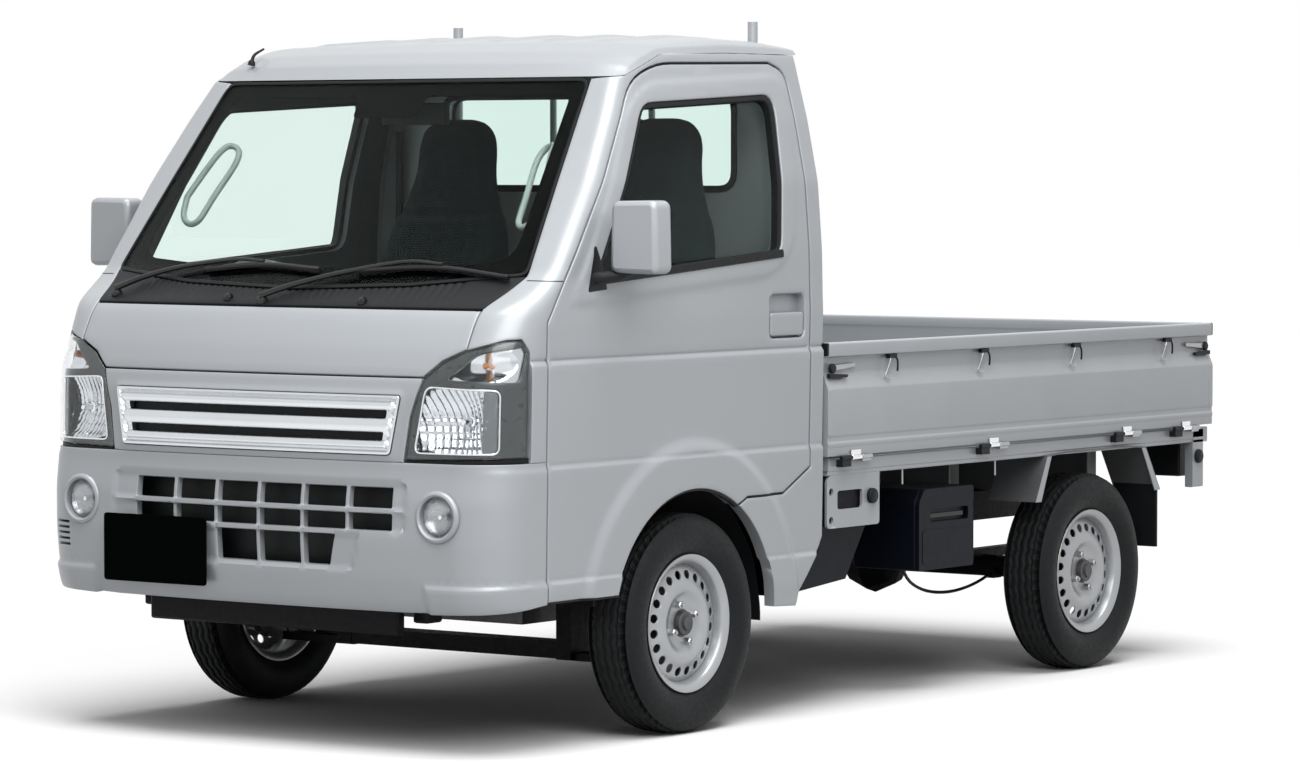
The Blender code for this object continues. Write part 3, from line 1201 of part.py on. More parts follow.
def rear_axle(name):
    """Rear axle with its leaf springs, shackles and drums."""
    y, z = REAR_AXLE_Y, TYRE_RADIUS
    end = REAR_WHEEL_X + STUB_END
    tube_end = REAR_WHEEL_X + DRUM_SPAN[0]
    bulge = circle(0, 0, BULGE_RADIUS, -45, 45, 3)
    parts = [tube_mesh([(-tube_end, y, z), (tube_end, y, z)], AXLE_RADIUS, 12),
             tube_mesh([(-end, y, z), (end, y, z)], STUB_RADIUS, 12),
             lathe_mesh([(0, -BULGE_RADIUS), *bulge, (0, BULGE_RADIUS)], (0, y, z), (-1, 0, 0), 12)]
    clip_y, clip_z = CABLE_PATH[-1]
    parts.append(box_mesh((CABLE_X - CLIP_HALF, CABLE_X + CLIP_HALF), (clip_y + CLIP_GAP, y - STUB_RADIUS),
                          (clip_z - CLIP_HALF, clip_z + CLIP_HALF)))
    for side in (-1, 1):
        drum = [(side * (REAR_WHEEL_X + span), y, z) for span in DRUM_SPAN]
        parts.append(tube_mesh(drum, DRUM_RADIUS, 20))
        spring_x = sorted((side * SPRING_X[0], side * SPRING_X[1]))
        parts.append(box_mesh(spring_x, (y - SPRING_HALF, y + SPRING_HALF), SPRING_Z))
        for tip in (-1, 1):
            inner, outer = y + tip * (SPRING_HALF - SHACKLE_LENGTH), y + tip * (SPRING_HALF - WELD)
            parts.append(box_mesh([spring_x[0] + WELD, spring_x[1] - WELD], sorted((inner, outer)),
                                  (SPRING_Z[0] + WELD, RAIL_Z[0] - SEAM)))
    return make_object(name, fused(parts), BLACK, 0.6)


def build():
    """Makes every piece of the truck."""
    for obj in list(bpy.data.objects):
        bpy.data.objects.remove(obj)
    for make, name in ((cab_side, "cab_side"), (door, "door"), (door_glass, "door_glass"), (mirror, "mirror"),
                       (seat, "seat"), (fender, "rear_fender"), (knuckle, "knuckle"), (strut, "strut")):
        left = make(name + "_left")
        mirrored(left, name + "_right")
    nose()
    roof("roof")
    cab_rear("cab_rear")
    cab_floor("cab_floor")
    cabin()
    bed("bed")
    gates()
    guard("guard_frame")
    chassis()
    wheels()
    front_suspension("front_suspension")
    rear_axle("rear_axle")
    cable("hanging_cable")


build()
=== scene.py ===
import math
import bmesh
import bpy
import numpy as np
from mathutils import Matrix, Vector
from mathutils.geometry import delaunay_2d_cdt


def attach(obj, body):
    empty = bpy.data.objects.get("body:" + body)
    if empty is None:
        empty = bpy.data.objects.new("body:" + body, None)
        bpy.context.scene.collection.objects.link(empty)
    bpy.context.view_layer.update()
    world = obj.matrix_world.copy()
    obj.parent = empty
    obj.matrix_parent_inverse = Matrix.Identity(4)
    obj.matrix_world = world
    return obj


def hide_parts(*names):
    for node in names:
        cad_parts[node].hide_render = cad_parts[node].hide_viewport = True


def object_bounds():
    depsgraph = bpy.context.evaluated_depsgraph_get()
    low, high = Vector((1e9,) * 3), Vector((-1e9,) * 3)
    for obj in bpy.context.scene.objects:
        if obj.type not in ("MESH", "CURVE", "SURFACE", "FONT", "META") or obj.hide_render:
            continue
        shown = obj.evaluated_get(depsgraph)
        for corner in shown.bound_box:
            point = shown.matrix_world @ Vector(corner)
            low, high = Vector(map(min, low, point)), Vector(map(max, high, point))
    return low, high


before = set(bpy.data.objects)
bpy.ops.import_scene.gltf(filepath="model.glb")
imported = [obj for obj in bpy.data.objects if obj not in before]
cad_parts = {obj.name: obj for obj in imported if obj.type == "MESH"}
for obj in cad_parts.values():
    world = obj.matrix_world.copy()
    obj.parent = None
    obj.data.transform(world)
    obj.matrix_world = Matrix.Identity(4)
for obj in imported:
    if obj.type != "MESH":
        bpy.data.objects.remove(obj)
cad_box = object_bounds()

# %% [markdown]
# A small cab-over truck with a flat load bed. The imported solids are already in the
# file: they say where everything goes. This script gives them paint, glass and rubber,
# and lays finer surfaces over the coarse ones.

low, high = np.array(cad_box[0]), np.array(cad_box[1])
print("overall box", np.round(high - low, 4))

# %% [markdown]
# The camera comes first, because every later choice is judged through it. It stands
# to the front left, a little above the bumper, with a long lens that keeps the sides
# nearly parallel.

# %% Camera
CAMERA_PLACE = (7.603, -10.505, 1.391)
CAMERA_YAW_DEG = 36.023
CAMERA_DROP_DEG = 2.569
CAMERA_LENS = 134.56
SENSOR_WIDTH = 36.0


def make_camera():
    """Camera with its lens turned left from straight ahead by a yaw and down by a drop."""
    data = bpy.data.cameras.new("camera")
    data.lens = CAMERA_LENS
    data.sensor_width = SENSOR_WIDTH
    data.clip_end = 100
    camera = bpy.data.objects.new("camera", data)
    bpy.context.collection.objects.link(camera)
    camera.location = CAMERA_PLACE
    camera.rotation_euler = (math.radians(90 - CAMERA_DROP_DEG), 0, math.radians(CAMERA_YAW_DEG))
    bpy.context.scene.camera = camera
    return camera


camera = make_camera()
print("camera stands at", tuple(round(v, 3) for v in camera.location))

# %% [markdown]
# Soft studio light: a white surround, one wide lamp overhead and a soft square lamp at the
# side. The surround is white only where the camera sees it, straight, in a mirror or through
# a window. All other light from it is dimmer, also the light that enters the cabin through
# the glass, so the two lamps give most of the shape.

# %% Light and floor
SURROUND_LIGHT = 0.30
KEY_TOWARD = (-0.14, 0.10, -0.98)
KEY_STRENGTH, KEY_SPREAD_DEG = 2.3, 40.0
PANEL_PLACE, PANEL_AIM = (2.7, -3.1, 3.1), (0.5, -1.1, 0.9)
PANEL_SIZE, PANEL_POWER = 2.4, 78.0
FLOOR_SIZE = 120.0
FLOOR_WHITE, FLOOR_SHADE = 1.0, 0.16


def math_node(tree, kind, first, second):
    """One math node, fed by an output and by another output or a plain number."""
    node = tree.nodes.new("ShaderNodeMath")
    node.operation = kind
    tree.links.new(first, node.inputs[0])
    if isinstance(second, float):
        node.inputs[1].default_value = second
    else:
        tree.links.new(second, node.inputs[1])
    return node.outputs[0]


def white_level(tree, low_value, high_value):
    """High for rays from the camera, also mirrored or through glass, and low after a matt bounce."""
    path = tree.nodes.new("ShaderNodeLightPath").outputs
    seen = path["Is Camera Ray"]
    for kind in ("Is Transmission Ray", "Is Glossy Ray"):
        seen = math_node(tree, "MAXIMUM", seen, path[kind])
    direct = math_node(tree, "LESS_THAN", path["Diffuse Depth"], 0.5)
    level = tree.nodes.new("ShaderNodeMapRange")
    level.inputs["To Min"].default_value = low_value
    level.inputs["To Max"].default_value = high_value
    tree.links.new(math_node(tree, "MULTIPLY", seen, direct), level.inputs["Value"])
    return level.outputs["Result"]


def make_world():
    """Surround that is white to the camera and gives a softer light to the object."""
    world = bpy.data.worlds.new("surround")
    bpy.context.scene.world = world
    world.use_nodes = True
    back = world.node_tree.nodes["Background"]
    back.inputs["Color"].default_value = (1, 1, 1, 1)
    world.node_tree.links.new(white_level(world.node_tree, SURROUND_LIGHT, 1.0), back.inputs["Strength"])


def make_lamp(name, kind, energy, toward, place=(0, 0, 0), **how):
    """Lamp that shines along a direction: a far one with a wide patch of sky, or a square panel."""
    data = bpy.data.lights.new(name, kind)
    data.energy = energy
    for key, value in how.items():
        setattr(data, key, value)
    lamp = bpy.data.objects.new(name, data)
    bpy.context.collection.objects.link(lamp)
    lamp.location = place
    lamp.rotation_euler = Vector(toward).to_track_quat("-Z", "Y").to_euler()


def make_floor():
    """Floor that is white to the camera, keeps the object's shadow and throws little light back up."""
    half = FLOOR_SIZE / 2
    mesh = bpy.data.meshes.new("floor")
    corners = [(-half, -half, 0), (half, -half, 0), (half, half, 0), (-half, half, 0)]
    mesh.from_pydata(corners, [], [(0, 1, 2, 3)])
    floor = bpy.data.objects.new("floor", mesh)
    bpy.context.collection.objects.link(floor)
    paint = bpy.data.materials.new("floor_paper")
    paint.use_nodes = True
    shader = paint.node_tree.nodes["Principled BSDF"]
    shader.inputs["Roughness"].default_value = 0.9
    shader.inputs["Specular IOR Level"].default_value = 0.0
    white = white_level(paint.node_tree, FLOOR_SHADE, FLOOR_WHITE)
    paint.node_tree.links.new(white, shader.inputs["Base Color"])
    floor.data.materials.append(paint)


bpy.context.scene.view_settings.view_transform = "Standard"
make_world()
make_lamp("key_lamp", "SUN", KEY_STRENGTH, KEY_TOWARD, angle=math.radians(KEY_SPREAD_DEG))
panel_toward = Vector(PANEL_AIM) - Vector(PANEL_PLACE)
make_lamp("side_lamp", "AREA", PANEL_POWER, panel_toward, PANEL_PLACE, size=PANEL_SIZE)
make_floor()

# %% [markdown]
# Every finish is a small graph on one shader. A noise in Object coordinates breaks up
# the colour, another the roughness, and a third raises a fine grain, each at the scale
# that the real surface has.

# %% Finishes
FINISHES = {}


def link_noise(tree, scale, detail, stretch=(1, 1, 1)):
    """Noise read in Object coordinates, stretched along the axes."""
    place = tree.nodes.new("ShaderNodeTexCoord")
    turn = tree.nodes.new("ShaderNodeMapping")
    turn.inputs["Scale"].default_value = stretch
    noise = tree.nodes.new("ShaderNodeTexNoise")
    noise.inputs["Scale"].default_value = scale
    noise.inputs["Detail"].default_value = detail
    tree.links.new(place.outputs["Object"], turn.inputs["Vector"])
    tree.links.new(turn.outputs["Vector"], noise.inputs["Vector"])
    return noise


def spread(tree, source, low_value, high_value):
    """Turns the middle of a noise into a range of values."""
    span = tree.nodes.new("ShaderNodeMapRange")
    span.inputs["From Min"].default_value = 0.3
    span.inputs["From Max"].default_value = 0.7
    span.inputs["To Min"].default_value = low_value
    span.inputs["To Max"].default_value = high_value
    tree.links.new(source, span.inputs["Value"])
    return span.outputs["Result"]


def make_finish(name, colour, rough, metal=0.0, mottle=0.06, mottle_scale=3.0, grain_scale=900.0, grain=0.02,
                rough_spread=0.04, grain_height=0.0002, stretch=(1, 1, 1), **fixed):
    """A finish: colour times a slow noise, roughness around its middle, and a grain as bump."""
    paint = bpy.data.materials.new(name)
    paint.use_nodes = True
    tree = paint.node_tree
    shader = tree.nodes["Principled BSDF"]
    slow = link_noise(tree, mottle_scale, 4.0, stretch)
    shade = tree.nodes.new("ShaderNodeMix")
    shade.data_type = "RGBA"
    dark = [max(c * (1 - mottle), 0) for c in colour]
    light = [min(c * (1 + mottle), 1) for c in colour]
    shade.inputs["A"].default_value = (*dark, 1)
    shade.inputs["B"].default_value = (*light, 1)
    tree.links.new(spread(tree, slow.outputs["Fac"], 0, 1), shade.inputs["Factor"])
    tree.links.new(shade.outputs["Result"], shader.inputs["Base Color"])
    middle = link_noise(tree, mottle_scale * 7, 3.0, stretch)
    edge = (max(rough - rough_spread, 0.02), min(rough + rough_spread, 1))
    tree.links.new(spread(tree, middle.outputs["Fac"], *edge), shader.inputs["Roughness"])
    fine = link_noise(tree, grain_scale, 2.0, stretch)
    bump = tree.nodes.new("ShaderNodeBump")
    bump.inputs["Strength"].default_value = grain
    bump.inputs["Distance"].default_value = grain_height
    tree.links.new(fine.outputs["Fac"], bump.inputs["Height"])
    tree.links.new(bump.outputs["Normal"], shader.inputs["Normal"])
    shader.inputs["Metallic"].default_value = metal
    for socket, value in fixed.items():
        shader.inputs[socket.replace("_", " ").title().replace("Ior", "IOR")].default_value = value
    FINISHES[name] = paint
    return paint


silver = make_finish("silver_paint", (0.47, 0.495, 0.52), 0.38, 0.18, 0.015, 2.0, 1500.0, 0.10,
                     coat_weight=0.2, coat_roughness=0.15)
bed_silver = make_finish("bed_paint", (0.49, 0.515, 0.54), 0.38, 0.12, 0.03, 4.0, 700.0, 0.10,
                         coat_weight=0.25, coat_roughness=0.15)
bed_floor_paint = make_finish("bed_floor_paint", (0.42, 0.44, 0.46), 0.45, 0.1, 0.05, 5.0, 500.0, 0.15)
chrome = make_finish("chrome_plate", (0.80, 0.81, 0.83), 0.10, 1.0, 0.01, 2.0, 400.0, 0.01, rough_spread=0.02)
satin_chrome = make_finish("satin_reflector", (0.60, 0.62, 0.64), 0.16, 1.0, 0.02, 4.0, 400.0, 0.02)
grille_chrome = make_finish("grille_chrome", (0.66, 0.68, 0.70), 0.24, 1.0, 0.02, 4.0, 900.0, 0.03)
lamp_pane = make_finish("lamp_pane", (0.24, 0.27, 0.27), 0.25, 0.4, 0.03, 6.0, 600.0, 0.03)
wheel_silver = make_finish("wheel_paint", (0.46, 0.475, 0.49), 0.32, 0.45, 0.03, 9.0, 900.0, 0.08)
bright_steel = make_finish("bright_steel", (0.42, 0.43, 0.44), 0.30, 0.8, 0.05, 30.0, 900.0, 0.05)
rubber = make_finish("tyre_rubber", (0.010, 0.011, 0.012), 0.62, 0.0, 0.20, 14.0, 1400.0, 0.35, 0.08,
                     specular_ior_level=0.22)
seal_rubber = make_finish("seal_rubber", (0.008, 0.009, 0.010), 0.5, 0.0, 0.1, 10.0, 1200.0, 0.2,
                          specular_ior_level=0.2)
black_plastic = make_finish("grained_plastic", (0.012, 0.013, 0.015), 0.5, 0.0, 0.10, 6.0, 1100.0, 0.4,
                            specular_ior_level=0.2)
navy_plastic = make_finish("box_plastic", (0.004, 0.006, 0.011), 0.42, 0.0, 0.10, 6.0, 1100.0, 0.3,
                           specular_ior_level=0.12)
gloss_black = make_finish("gloss_black", (0.006, 0.006, 0.007), 0.08, 0.0, 0.05, 3.0, 300.0, 0.01,
                          specular_ior_level=0.35)
screen_black = make_finish("screen_print", (0.003, 0.004, 0.004), 0.6, 0.0, 0.05, 3.0, 300.0, 0.01,
                           specular_ior_level=0.0)
chassis_black = make_finish("chassis_paint", (0.008, 0.008, 0.010), 0.5, 0.0, 0.25, 11.0, 300.0, 0.3, 0.1,
                            specular_ior_level=0.12)
cast_metal = make_finish("cast_metal", (0.10, 0.10, 0.105), 0.55, 0.7, 0.2, 16.0, 350.0, 0.5, 0.1)
cabin_plastic = make_finish("cabin_plastic", (0.040, 0.054, 0.058), 0.6, 0.0, 0.08, 5.0, 1000.0, 0.4,
                            specular_ior_level=0.08)
pale_trim = make_finish("pale_trim", (0.33, 0.35, 0.35), 0.6, 0.0, 0.05, 5.0, 900.0, 0.3)
# A darker copy of the silver paint, as painted shade for the sills under the bed and the sheet of the rear
# fenders.
shaded_silver = make_finish("painted_shade_silver", (0.16, 0.165, 0.17), 0.50, 0.3, 0.12, 8.0, 500.0, 0.2, 0.08)
polished_steel = make_finish("polished_steel", (0.80, 0.81, 0.82), 0.12, 1.0, 0.02, 30.0, 500.0, 0.02)
exhaust_steel = make_finish("exhaust_steel", (0.22, 0.205, 0.19), 0.45, 0.8, 0.25, 12.0, 400.0, 0.2, 0.12)
cable_rubber = make_finish("cable_rubber", (0.012, 0.012, 0.013), 0.45, 0.0, 0.1, 20.0, 900.0, 0.2)
dash_plastic = make_finish("dash_plastic", (0.060, 0.085, 0.085), 0.55, 0.0, 0.08, 5.0, 1000.0, 0.4,
                           specular_ior_level=0.10)
wheel_plastic = make_finish("wheel_plastic", (0.15, 0.18, 0.175), 0.45, 0.0, 0.08, 9.0, 1000.0, 0.3)
wiper_black = make_finish("wiper_black", (0.008, 0.008, 0.009), 0.38, 0.0, 0.1, 20.0, 900.0, 0.1)
webbing = make_finish("belt_webbing", (0.030, 0.032, 0.034), 0.75, 0.0, 0.15, 120.0, 1800.0, 0.5)
lamp_grey = make_finish("lamp_surround", (0.085, 0.095, 0.095), 0.30, 0.5, 0.05, 6.0, 600.0, 0.05)
grip_grey = make_finish("grip_grey", (0.50, 0.55, 0.54), 0.6, 0.0, 0.05, 6.0, 900.0, 0.2,
                        specular_ior_level=0.1)
amber = make_finish("amber_lens", (0.75, 0.27, 0.03), 0.12, 0.0, 0.05, 20.0, 300.0, 0.02, coat_weight=1.0)
red_lens = make_finish("red_lens", (0.35, 0.01, 0.01), 0.12, 0.0, 0.05, 20.0, 300.0, 0.02, coat_weight=1.0)
print(len(FINISHES), "finishes so far")


def make_glass(name, colour, bend=1.12):
    """Clear or tinted glass: light goes through it, and its colour filters it."""
    paint = make_finish(name, colour, 0.03, 0.0, 0.01, 2.0, 200.0, 0.002, rough_spread=0.01,
                        transmission_weight=1.0, ior=bend)
    shader = paint.node_tree.nodes["Principled BSDF"]
    for link in list(shader.inputs["Roughness"].links):
        paint.node_tree.links.remove(link)
    shader.inputs["Roughness"].default_value = 0.0
    return paint


screen_glass = make_glass("screen_glass", (0.86, 0.94, 0.91))
rear_screen_glass = make_glass("rear_screen_glass", (0.80, 0.92, 0.88))
lamp_glass = make_glass("lamp_glass", (0.97, 0.98, 0.99), bend=1.30)

# %% [markdown]
# Seat cloth is a weave: two waves that cross, one across the seat and one up it. They
# are read in Object coordinates, so the threads stay the same size on every pad.

# %% Seat cloth
CLOTH_COLOUR = (0.030, 0.044, 0.048)
THREADS_PER_METRE = 420.0


def make_cloth():
    """Dark cloth with crossing threads as bump and a soft sheen."""
    paint = make_finish("seat_cloth", CLOTH_COLOUR, 0.85, 0.0, 0.18, 60.0, 900.0, 0.3, sheen_weight=0.08,
                        sheen_roughness=0.5, specular_ior_level=0.05)
    tree = paint.node_tree
    bump = [node for node in tree.nodes if node.bl_idname == "ShaderNodeBump"][0]
    weave = []
    for direction in ("X", "Z"):
        wave = tree.nodes.new("ShaderNodeTexWave")
        wave.bands_direction = direction
        wave.inputs["Scale"].default_value = THREADS_PER_METRE / 6
        wave.inputs["Distortion"].default_value = 0.4
        place = tree.nodes.new("ShaderNodeTexCoord")
        tree.links.new(place.outputs["Object"], wave.inputs["Vector"])
        weave.append(wave)
    cross = math_node(tree, "MULTIPLY", weave[0].outputs["Fac"], weave[1].outputs["Fac"])
    tree.links.new(cross, bump.inputs["Height"])
    bump.inputs["Strength"].default_value = 0.5
    bump.inputs["Distance"].default_value = 0.0006
    return paint


cloth = make_cloth()
print("cloth has", THREADS_PER_METRE, "threads a metre")

# %% [markdown]
# Shapes are pairs: an array of points and a list of face arrays. Small functions make
# them, `joined` puts them together, and `add_piece` turns the result into an object.

# %% Shapes from arrays
BEVEL_ANGLE = math.radians(35)


def joined(shapes):
    """One shape from several: their points in a row, their faces shifted to match."""
    points, faces, start = [], [], 0
    for cloud, groups in shapes:
        points.append(np.asarray(cloud, float))
        faces += [np.asarray(group, int) + start for group in groups]
        start += len(cloud)
    return np.concatenate(points), faces


def flipped(shape):
    """The same shape on the right side."""
    points, faces = shape
    return points * np.array([-1, 1, 1]), [group[:, ::-1] for group in faces]


def mesh_of(name, shape):
    """A mesh from a shape, with its faces turned outwards."""
    points, faces = shape
    corners = np.concatenate([group.ravel() for group in faces])
    sizes = np.concatenate([np.full(len(group), group.shape[1]) for group in faces])
    mesh = bpy.data.meshes.new(name)
    mesh.vertices.add(len(points))
    mesh.vertices.foreach_set("co", points.astype(np.float32).ravel())
    mesh.loops.add(len(corners))
    mesh.loops.foreach_set("vertex_index", corners.astype(np.int32))
    mesh.polygons.add(len(sizes))
    mesh.polygons.foreach_set("loop_start", np.concatenate([[0], np.cumsum(sizes)[:-1]]).astype(np.int32))
    mesh.update(calc_edges=True)
    mesh.validate()
    work = bmesh.new()
    work.from_mesh(mesh)
    bmesh.ops.recalc_face_normals(work, faces=work.faces)
    work.to_mesh(mesh)
    work.free()
    return mesh


def add_object(name, mesh):
    """An object in the scene that shows a mesh."""
    made = bpy.data.objects.new(name, mesh)
    bpy.context.collection.objects.link(made)
    return made


def mark_inner(mesh, faces):
    """Gives the second finish to the second group of faces, which is a panel's inner side."""
    marks = np.zeros(sum(len(group) for group in faces), np.int32)
    marks[len(faces[0]):len(faces[0]) + len(faces[1])] = 1
    mesh.polygons.foreach_set("material_index", marks)


def add_piece(name, shape, finish, body, slot, smooth_deg=40, bevel=0.0, replaces=(), flat=False, segments=2,
              inner=None):
    """Turns a shape into an object that rides on a body; a bevel rounds its sharp edges."""
    mesh = mesh_of(name, shape)
    if not flat:
        mesh.shade_smooth()
        mesh.set_sharp_from_angle(angle=math.radians(smooth_deg))
    mesh.materials.append(finish)
    if inner:
        mesh.materials.append(inner)
        mark_inner(mesh, shape[1])
    piece = add_object(name, mesh)
    if bevel:
        edge = piece.modifiers.new("rounded_edges", "BEVEL")
        edge.width = bevel
        edge.segments = segments
        edge.limit_method = "ANGLE"
        edge.angle_limit = BEVEL_ANGLE
        edge.harden_normals = False
    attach(piece, body)
    if replaces:
        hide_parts(*replaces)
    return piece


def grid_faces(rows, columns, close_rows=False, close_columns=False):
    """Quads of a grid of points, row after row; a closed direction joins its last line to its first."""
    i = np.arange(rows if close_rows else rows - 1)
    j = np.arange(columns if close_columns else columns - 1)
    i, j = (a.ravel() for a in np.meshgrid(i, j, indexing="ij"))
    after_i, after_j = (i + 1) % rows, (j + 1) % columns
    row, next_row = i * columns, after_i * columns
    return np.stack([row + j, row + after_j, next_row + after_j, next_row + j], 1)


def box(x, y, z):
    """Box between two values on each axis: eight corners and six quads."""
    points = np.array([(a, b, c) for a in x for b in y for c in z], float)
    faces = np.array([(0, 1, 3, 2), (4, 6, 7, 5), (0, 4, 5, 1), (2, 3, 7, 6), (0, 2, 6, 4), (1, 5, 7, 3)])
    return points, [faces]


def prism(outline, axis, low_value, high_value):
    """An outline in two axes pushed along the third: two copies of its points and a band of quads."""
    flat = np.asarray(outline, float)
    count = len(flat)
    points = np.concatenate([np.insert(flat, axis, value, axis=1) for value in (low_value, high_value)])
    i = np.arange(count)
    after = (i + 1) % count
    band = np.stack([i, after, after + count, i + count], 1)
    return points, [band, i[None, :], (i + count)[None, ::-1]]


def axes_on(direction):
    """Two unit vectors square to a direction."""
    along = np.asarray(direction, float) / np.linalg.norm(direction)
    guide = np.array([0, 0, 1.0]) if abs(along[2]) < 0.9 else np.array([0, 1.0, 0])
    side = np.cross(along, guide)
    side /= np.linalg.norm(side)
    return along, side, np.cross(along, side)


def lathe(profile, centre, direction, steps=48):
    """A (radius, along) profile turned: centre + along*axis + radius*(side*cos t + up*sin t)."""
    profile = np.asarray(profile, float)
    along, side, up = axes_on(direction)
    turn = np.linspace(0, 2 * math.pi, steps, endpoint=False)
    ring = side[None, :] * np.cos(turn)[:, None] + up[None, :] * np.sin(turn)[:, None]
    points = (np.asarray(centre) + profile[:, None, 1, None] * along + profile[:, None, 0, None] * ring[None])
    return points.reshape(-1, 3), [grid_faces(len(profile), steps, True, True)]


def smooth_path(points, count):
    """A curve through chosen points: between each two, a cubic that their neighbours bend."""
    points = np.asarray(points, float)
    padded = np.concatenate([[2 * points[0] - points[1]], points, [2 * points[-1] - points[-2]]])
    share = np.linspace(0, len(points) - 1, count)
    index = np.minimum(share.astype(int), len(points) - 2)
    t = (share - index)[:, None]
    a, b, c, d = (padded[index + k] for k in range(4))
    bend, twist = 2 * a - 5 * b + 4 * c - d, 3 * b - a - 3 * c + d
    return 0.5 * (2 * b + (c - a) * t + bend * t ** 2 + twist * t ** 3)


def tube(path, radius, sides=12):
    """A round bar along a path: at each point a ring square to the path's direction."""
    path = np.asarray(path, float)
    along = np.gradient(path, axis=0)
    along /= np.linalg.norm(along, axis=1)[:, None]
    guide = np.eye(3)[np.argmin(np.abs(along).max(0))]
    side = np.cross(along, guide)
    side /= np.linalg.norm(side, axis=1)[:, None]
    up = np.cross(along, side)
    turn = np.linspace(0, 2 * math.pi, sides, endpoint=False)
    radius = np.broadcast_to(np.asarray(radius, float), len(path))
    ring = side[:, None] * np.cos(turn)[None, :, None] + up[:, None] * np.sin(turn)[None, :, None]
    points = (path[:, None] + ring * radius[:, None, None]).reshape(-1, 3)
    caps = [np.arange(sides)[None, ::-1], (len(points) - sides + np.arange(sides))[None]]
    return points, [grid_faces(len(path), sides, False, True), *caps]


def rounded(loop, radius, steps=5):
    """Rounds each corner of a loop with a curve that leaves both edges along them."""
    loop = np.asarray(loop, float)
    before, after = np.roll(loop, 1, 0) - loop, np.roll(loop, -1, 0) - loop
    reach = [np.linalg.norm(v, axis=1) for v in (before, after)]
    cut = np.minimum(np.minimum(np.broadcast_to(radius, len(loop)), reach[0] / 2), reach[1] / 2)
    start = loop + before / reach[0][:, None] * cut[:, None]
    end = loop + after / reach[1][:, None] * cut[:, None]
    t = np.linspace(0, 1, steps)[None, :, None]
    curve = start[:, None] * (1 - t) ** 2 + loop[:, None] * 2 * t * (1 - t) + end[:, None] * t ** 2
    flat = curve.reshape(-1, 2)
    keep = np.linalg.norm(flat - np.roll(flat, 1, 0), axis=1) > 1e-5
    return flat[keep]


print("a box has", len(box((0, 1), (0, 1), (0, 1))[0]), "points")

# %% [markdown]
# The cab is one skin. A place on it has two numbers: its height z, and s, which is the
# distance from the centre line across the nose, round the corner and back along the
# side. A door or lid is an outline in these two numbers. The section tables are the
# ones the solids use; averaging them over a short window turns each bend into a curve.

# %% The section tables
SIDE_HEIGHTS = [0.300, 0.360, 0.600, 0.893, 1.020, 1.180, 1.350, 1.505, 1.604, 1.660, 1.720]
SIDE_HALF_WIDTHS = [0.706, 0.712, 0.716, 0.722, 0.726, 0.722, 0.709, 0.677, 0.650, 0.635, 0.612]
FRONT_HEIGHTS = [0.300, 0.360, 0.420, 0.500, 0.600, 0.670, 0.850, 0.893, 0.960, 1.020, 1.054, 1.090, 1.128,
                 1.350, 1.604, 1.720]
FRONT_REACH = [-1.640, -1.671, -1.684, -1.690, -1.688, -1.677, -1.670, -1.662, -1.639, -1.608, -1.585, -1.536,
               -1.495, -1.310, -1.098, -1.000]
FRONT_BOW = [0.045] * 10 + [0.048, 0.070, 0.085, 0.058, 0.025, 0.020]
FRONT_CORNER = [0.120] * 9 + [0.110, 0.090, 0.052, 0.036, 0.036, 0.036, 0.036]
SMOOTH_WINDOW = 0.024
TABLE_STEP = 0.002
FINE_Z = np.arange(0.25, 1.80, TABLE_STEP)


def smoothed(heights, values):
    """The table's straight lines, averaged twice over a short window."""
    line = np.interp(FINE_Z, heights, values)
    count = int(SMOOTH_WINDOW / TABLE_STEP) // 2 * 2 + 1
    for _ in range(2):
        line = np.convolve(np.pad(line, count // 2, "edge"), np.ones(count) / count, "valid")
    return line


WIDTH_LINE = smoothed(SIDE_HEIGHTS, SIDE_HALF_WIDTHS)
REACH_LINE = smoothed(FRONT_HEIGHTS, FRONT_REACH)
BOW_LINE = smoothed(FRONT_HEIGHTS, FRONT_BOW)
CORNER_LINE = smoothed(FRONT_HEIGHTS, FRONT_CORNER)
print("cab is", round(2 * float(WIDTH_LINE.max()), 3), "m wide at its widest")


# %% The skin as a formula
def section_at(z):
    """Half-width, reach, bow and corner radius at each height."""
    return [np.interp(z, FINE_Z, line) for line in (WIDTH_LINE, REACH_LINE, BOW_LINE, CORNER_LINE)]


def side_start(z):
    """Skin coordinate of y = 0 on the side: the nose's flat half, a quarter turn, then the side."""
    width, reach, bow, corner = section_at(z)
    return width - corner + corner * math.pi / 2 - reach - bow - corner


def skin_base(s, z):
    """Nose: y = reach + bow*(x/width)^2. Corner: a quarter circle. Side: straight along y."""
    side = np.where(s < 0, -1.0, 1.0)
    width, reach, bow, corner = section_at(z)
    turn = np.clip((np.abs(s) - (width - corner)) / corner, 0, None)
    angle = np.minimum(turn, math.pi / 2)
    x = np.minimum(np.abs(s), width - corner) + corner * np.sin(angle)
    y = reach + bow * (x / width) ** 2 + corner * (1 - np.cos(angle))
    past = turn > math.pi / 2
    x = np.where(past, width, x)
    y = np.where(past, np.abs(s) - side_start(z), y)
    return np.stack([side * x, y, z], -1)


ARCH_Y, ARCH_Z, ARCH_RADIUS = -0.865, 0.262, 0.340
FLARE_RADIUS, FLARE_RUN, FLARE_PROUD = 0.470, 0.040, 0.012
RELIEF_START, RELIEF_RUN = 0.620, 0.120
FRONT_LIMIT_Y, WIDTH_LIMIT = -1.6970, 0.7370
NORMAL_REACH, NORMAL_REACH_Z = 0.006, 0.012
CREASE_LOWS = np.array([0.403, 0.674, 0.920])
CREASE_HIGHS = np.array([0.414, 0.684, 0.930])
CREASE_PROUD = np.array([0.006, 0.004, 0.005])
CREASE_GROOVE = np.array([0.0008, 0.0012, 0.0038])
GROOVE_RISE, GROOVE_WIDTH = 0.0035, 0.0032


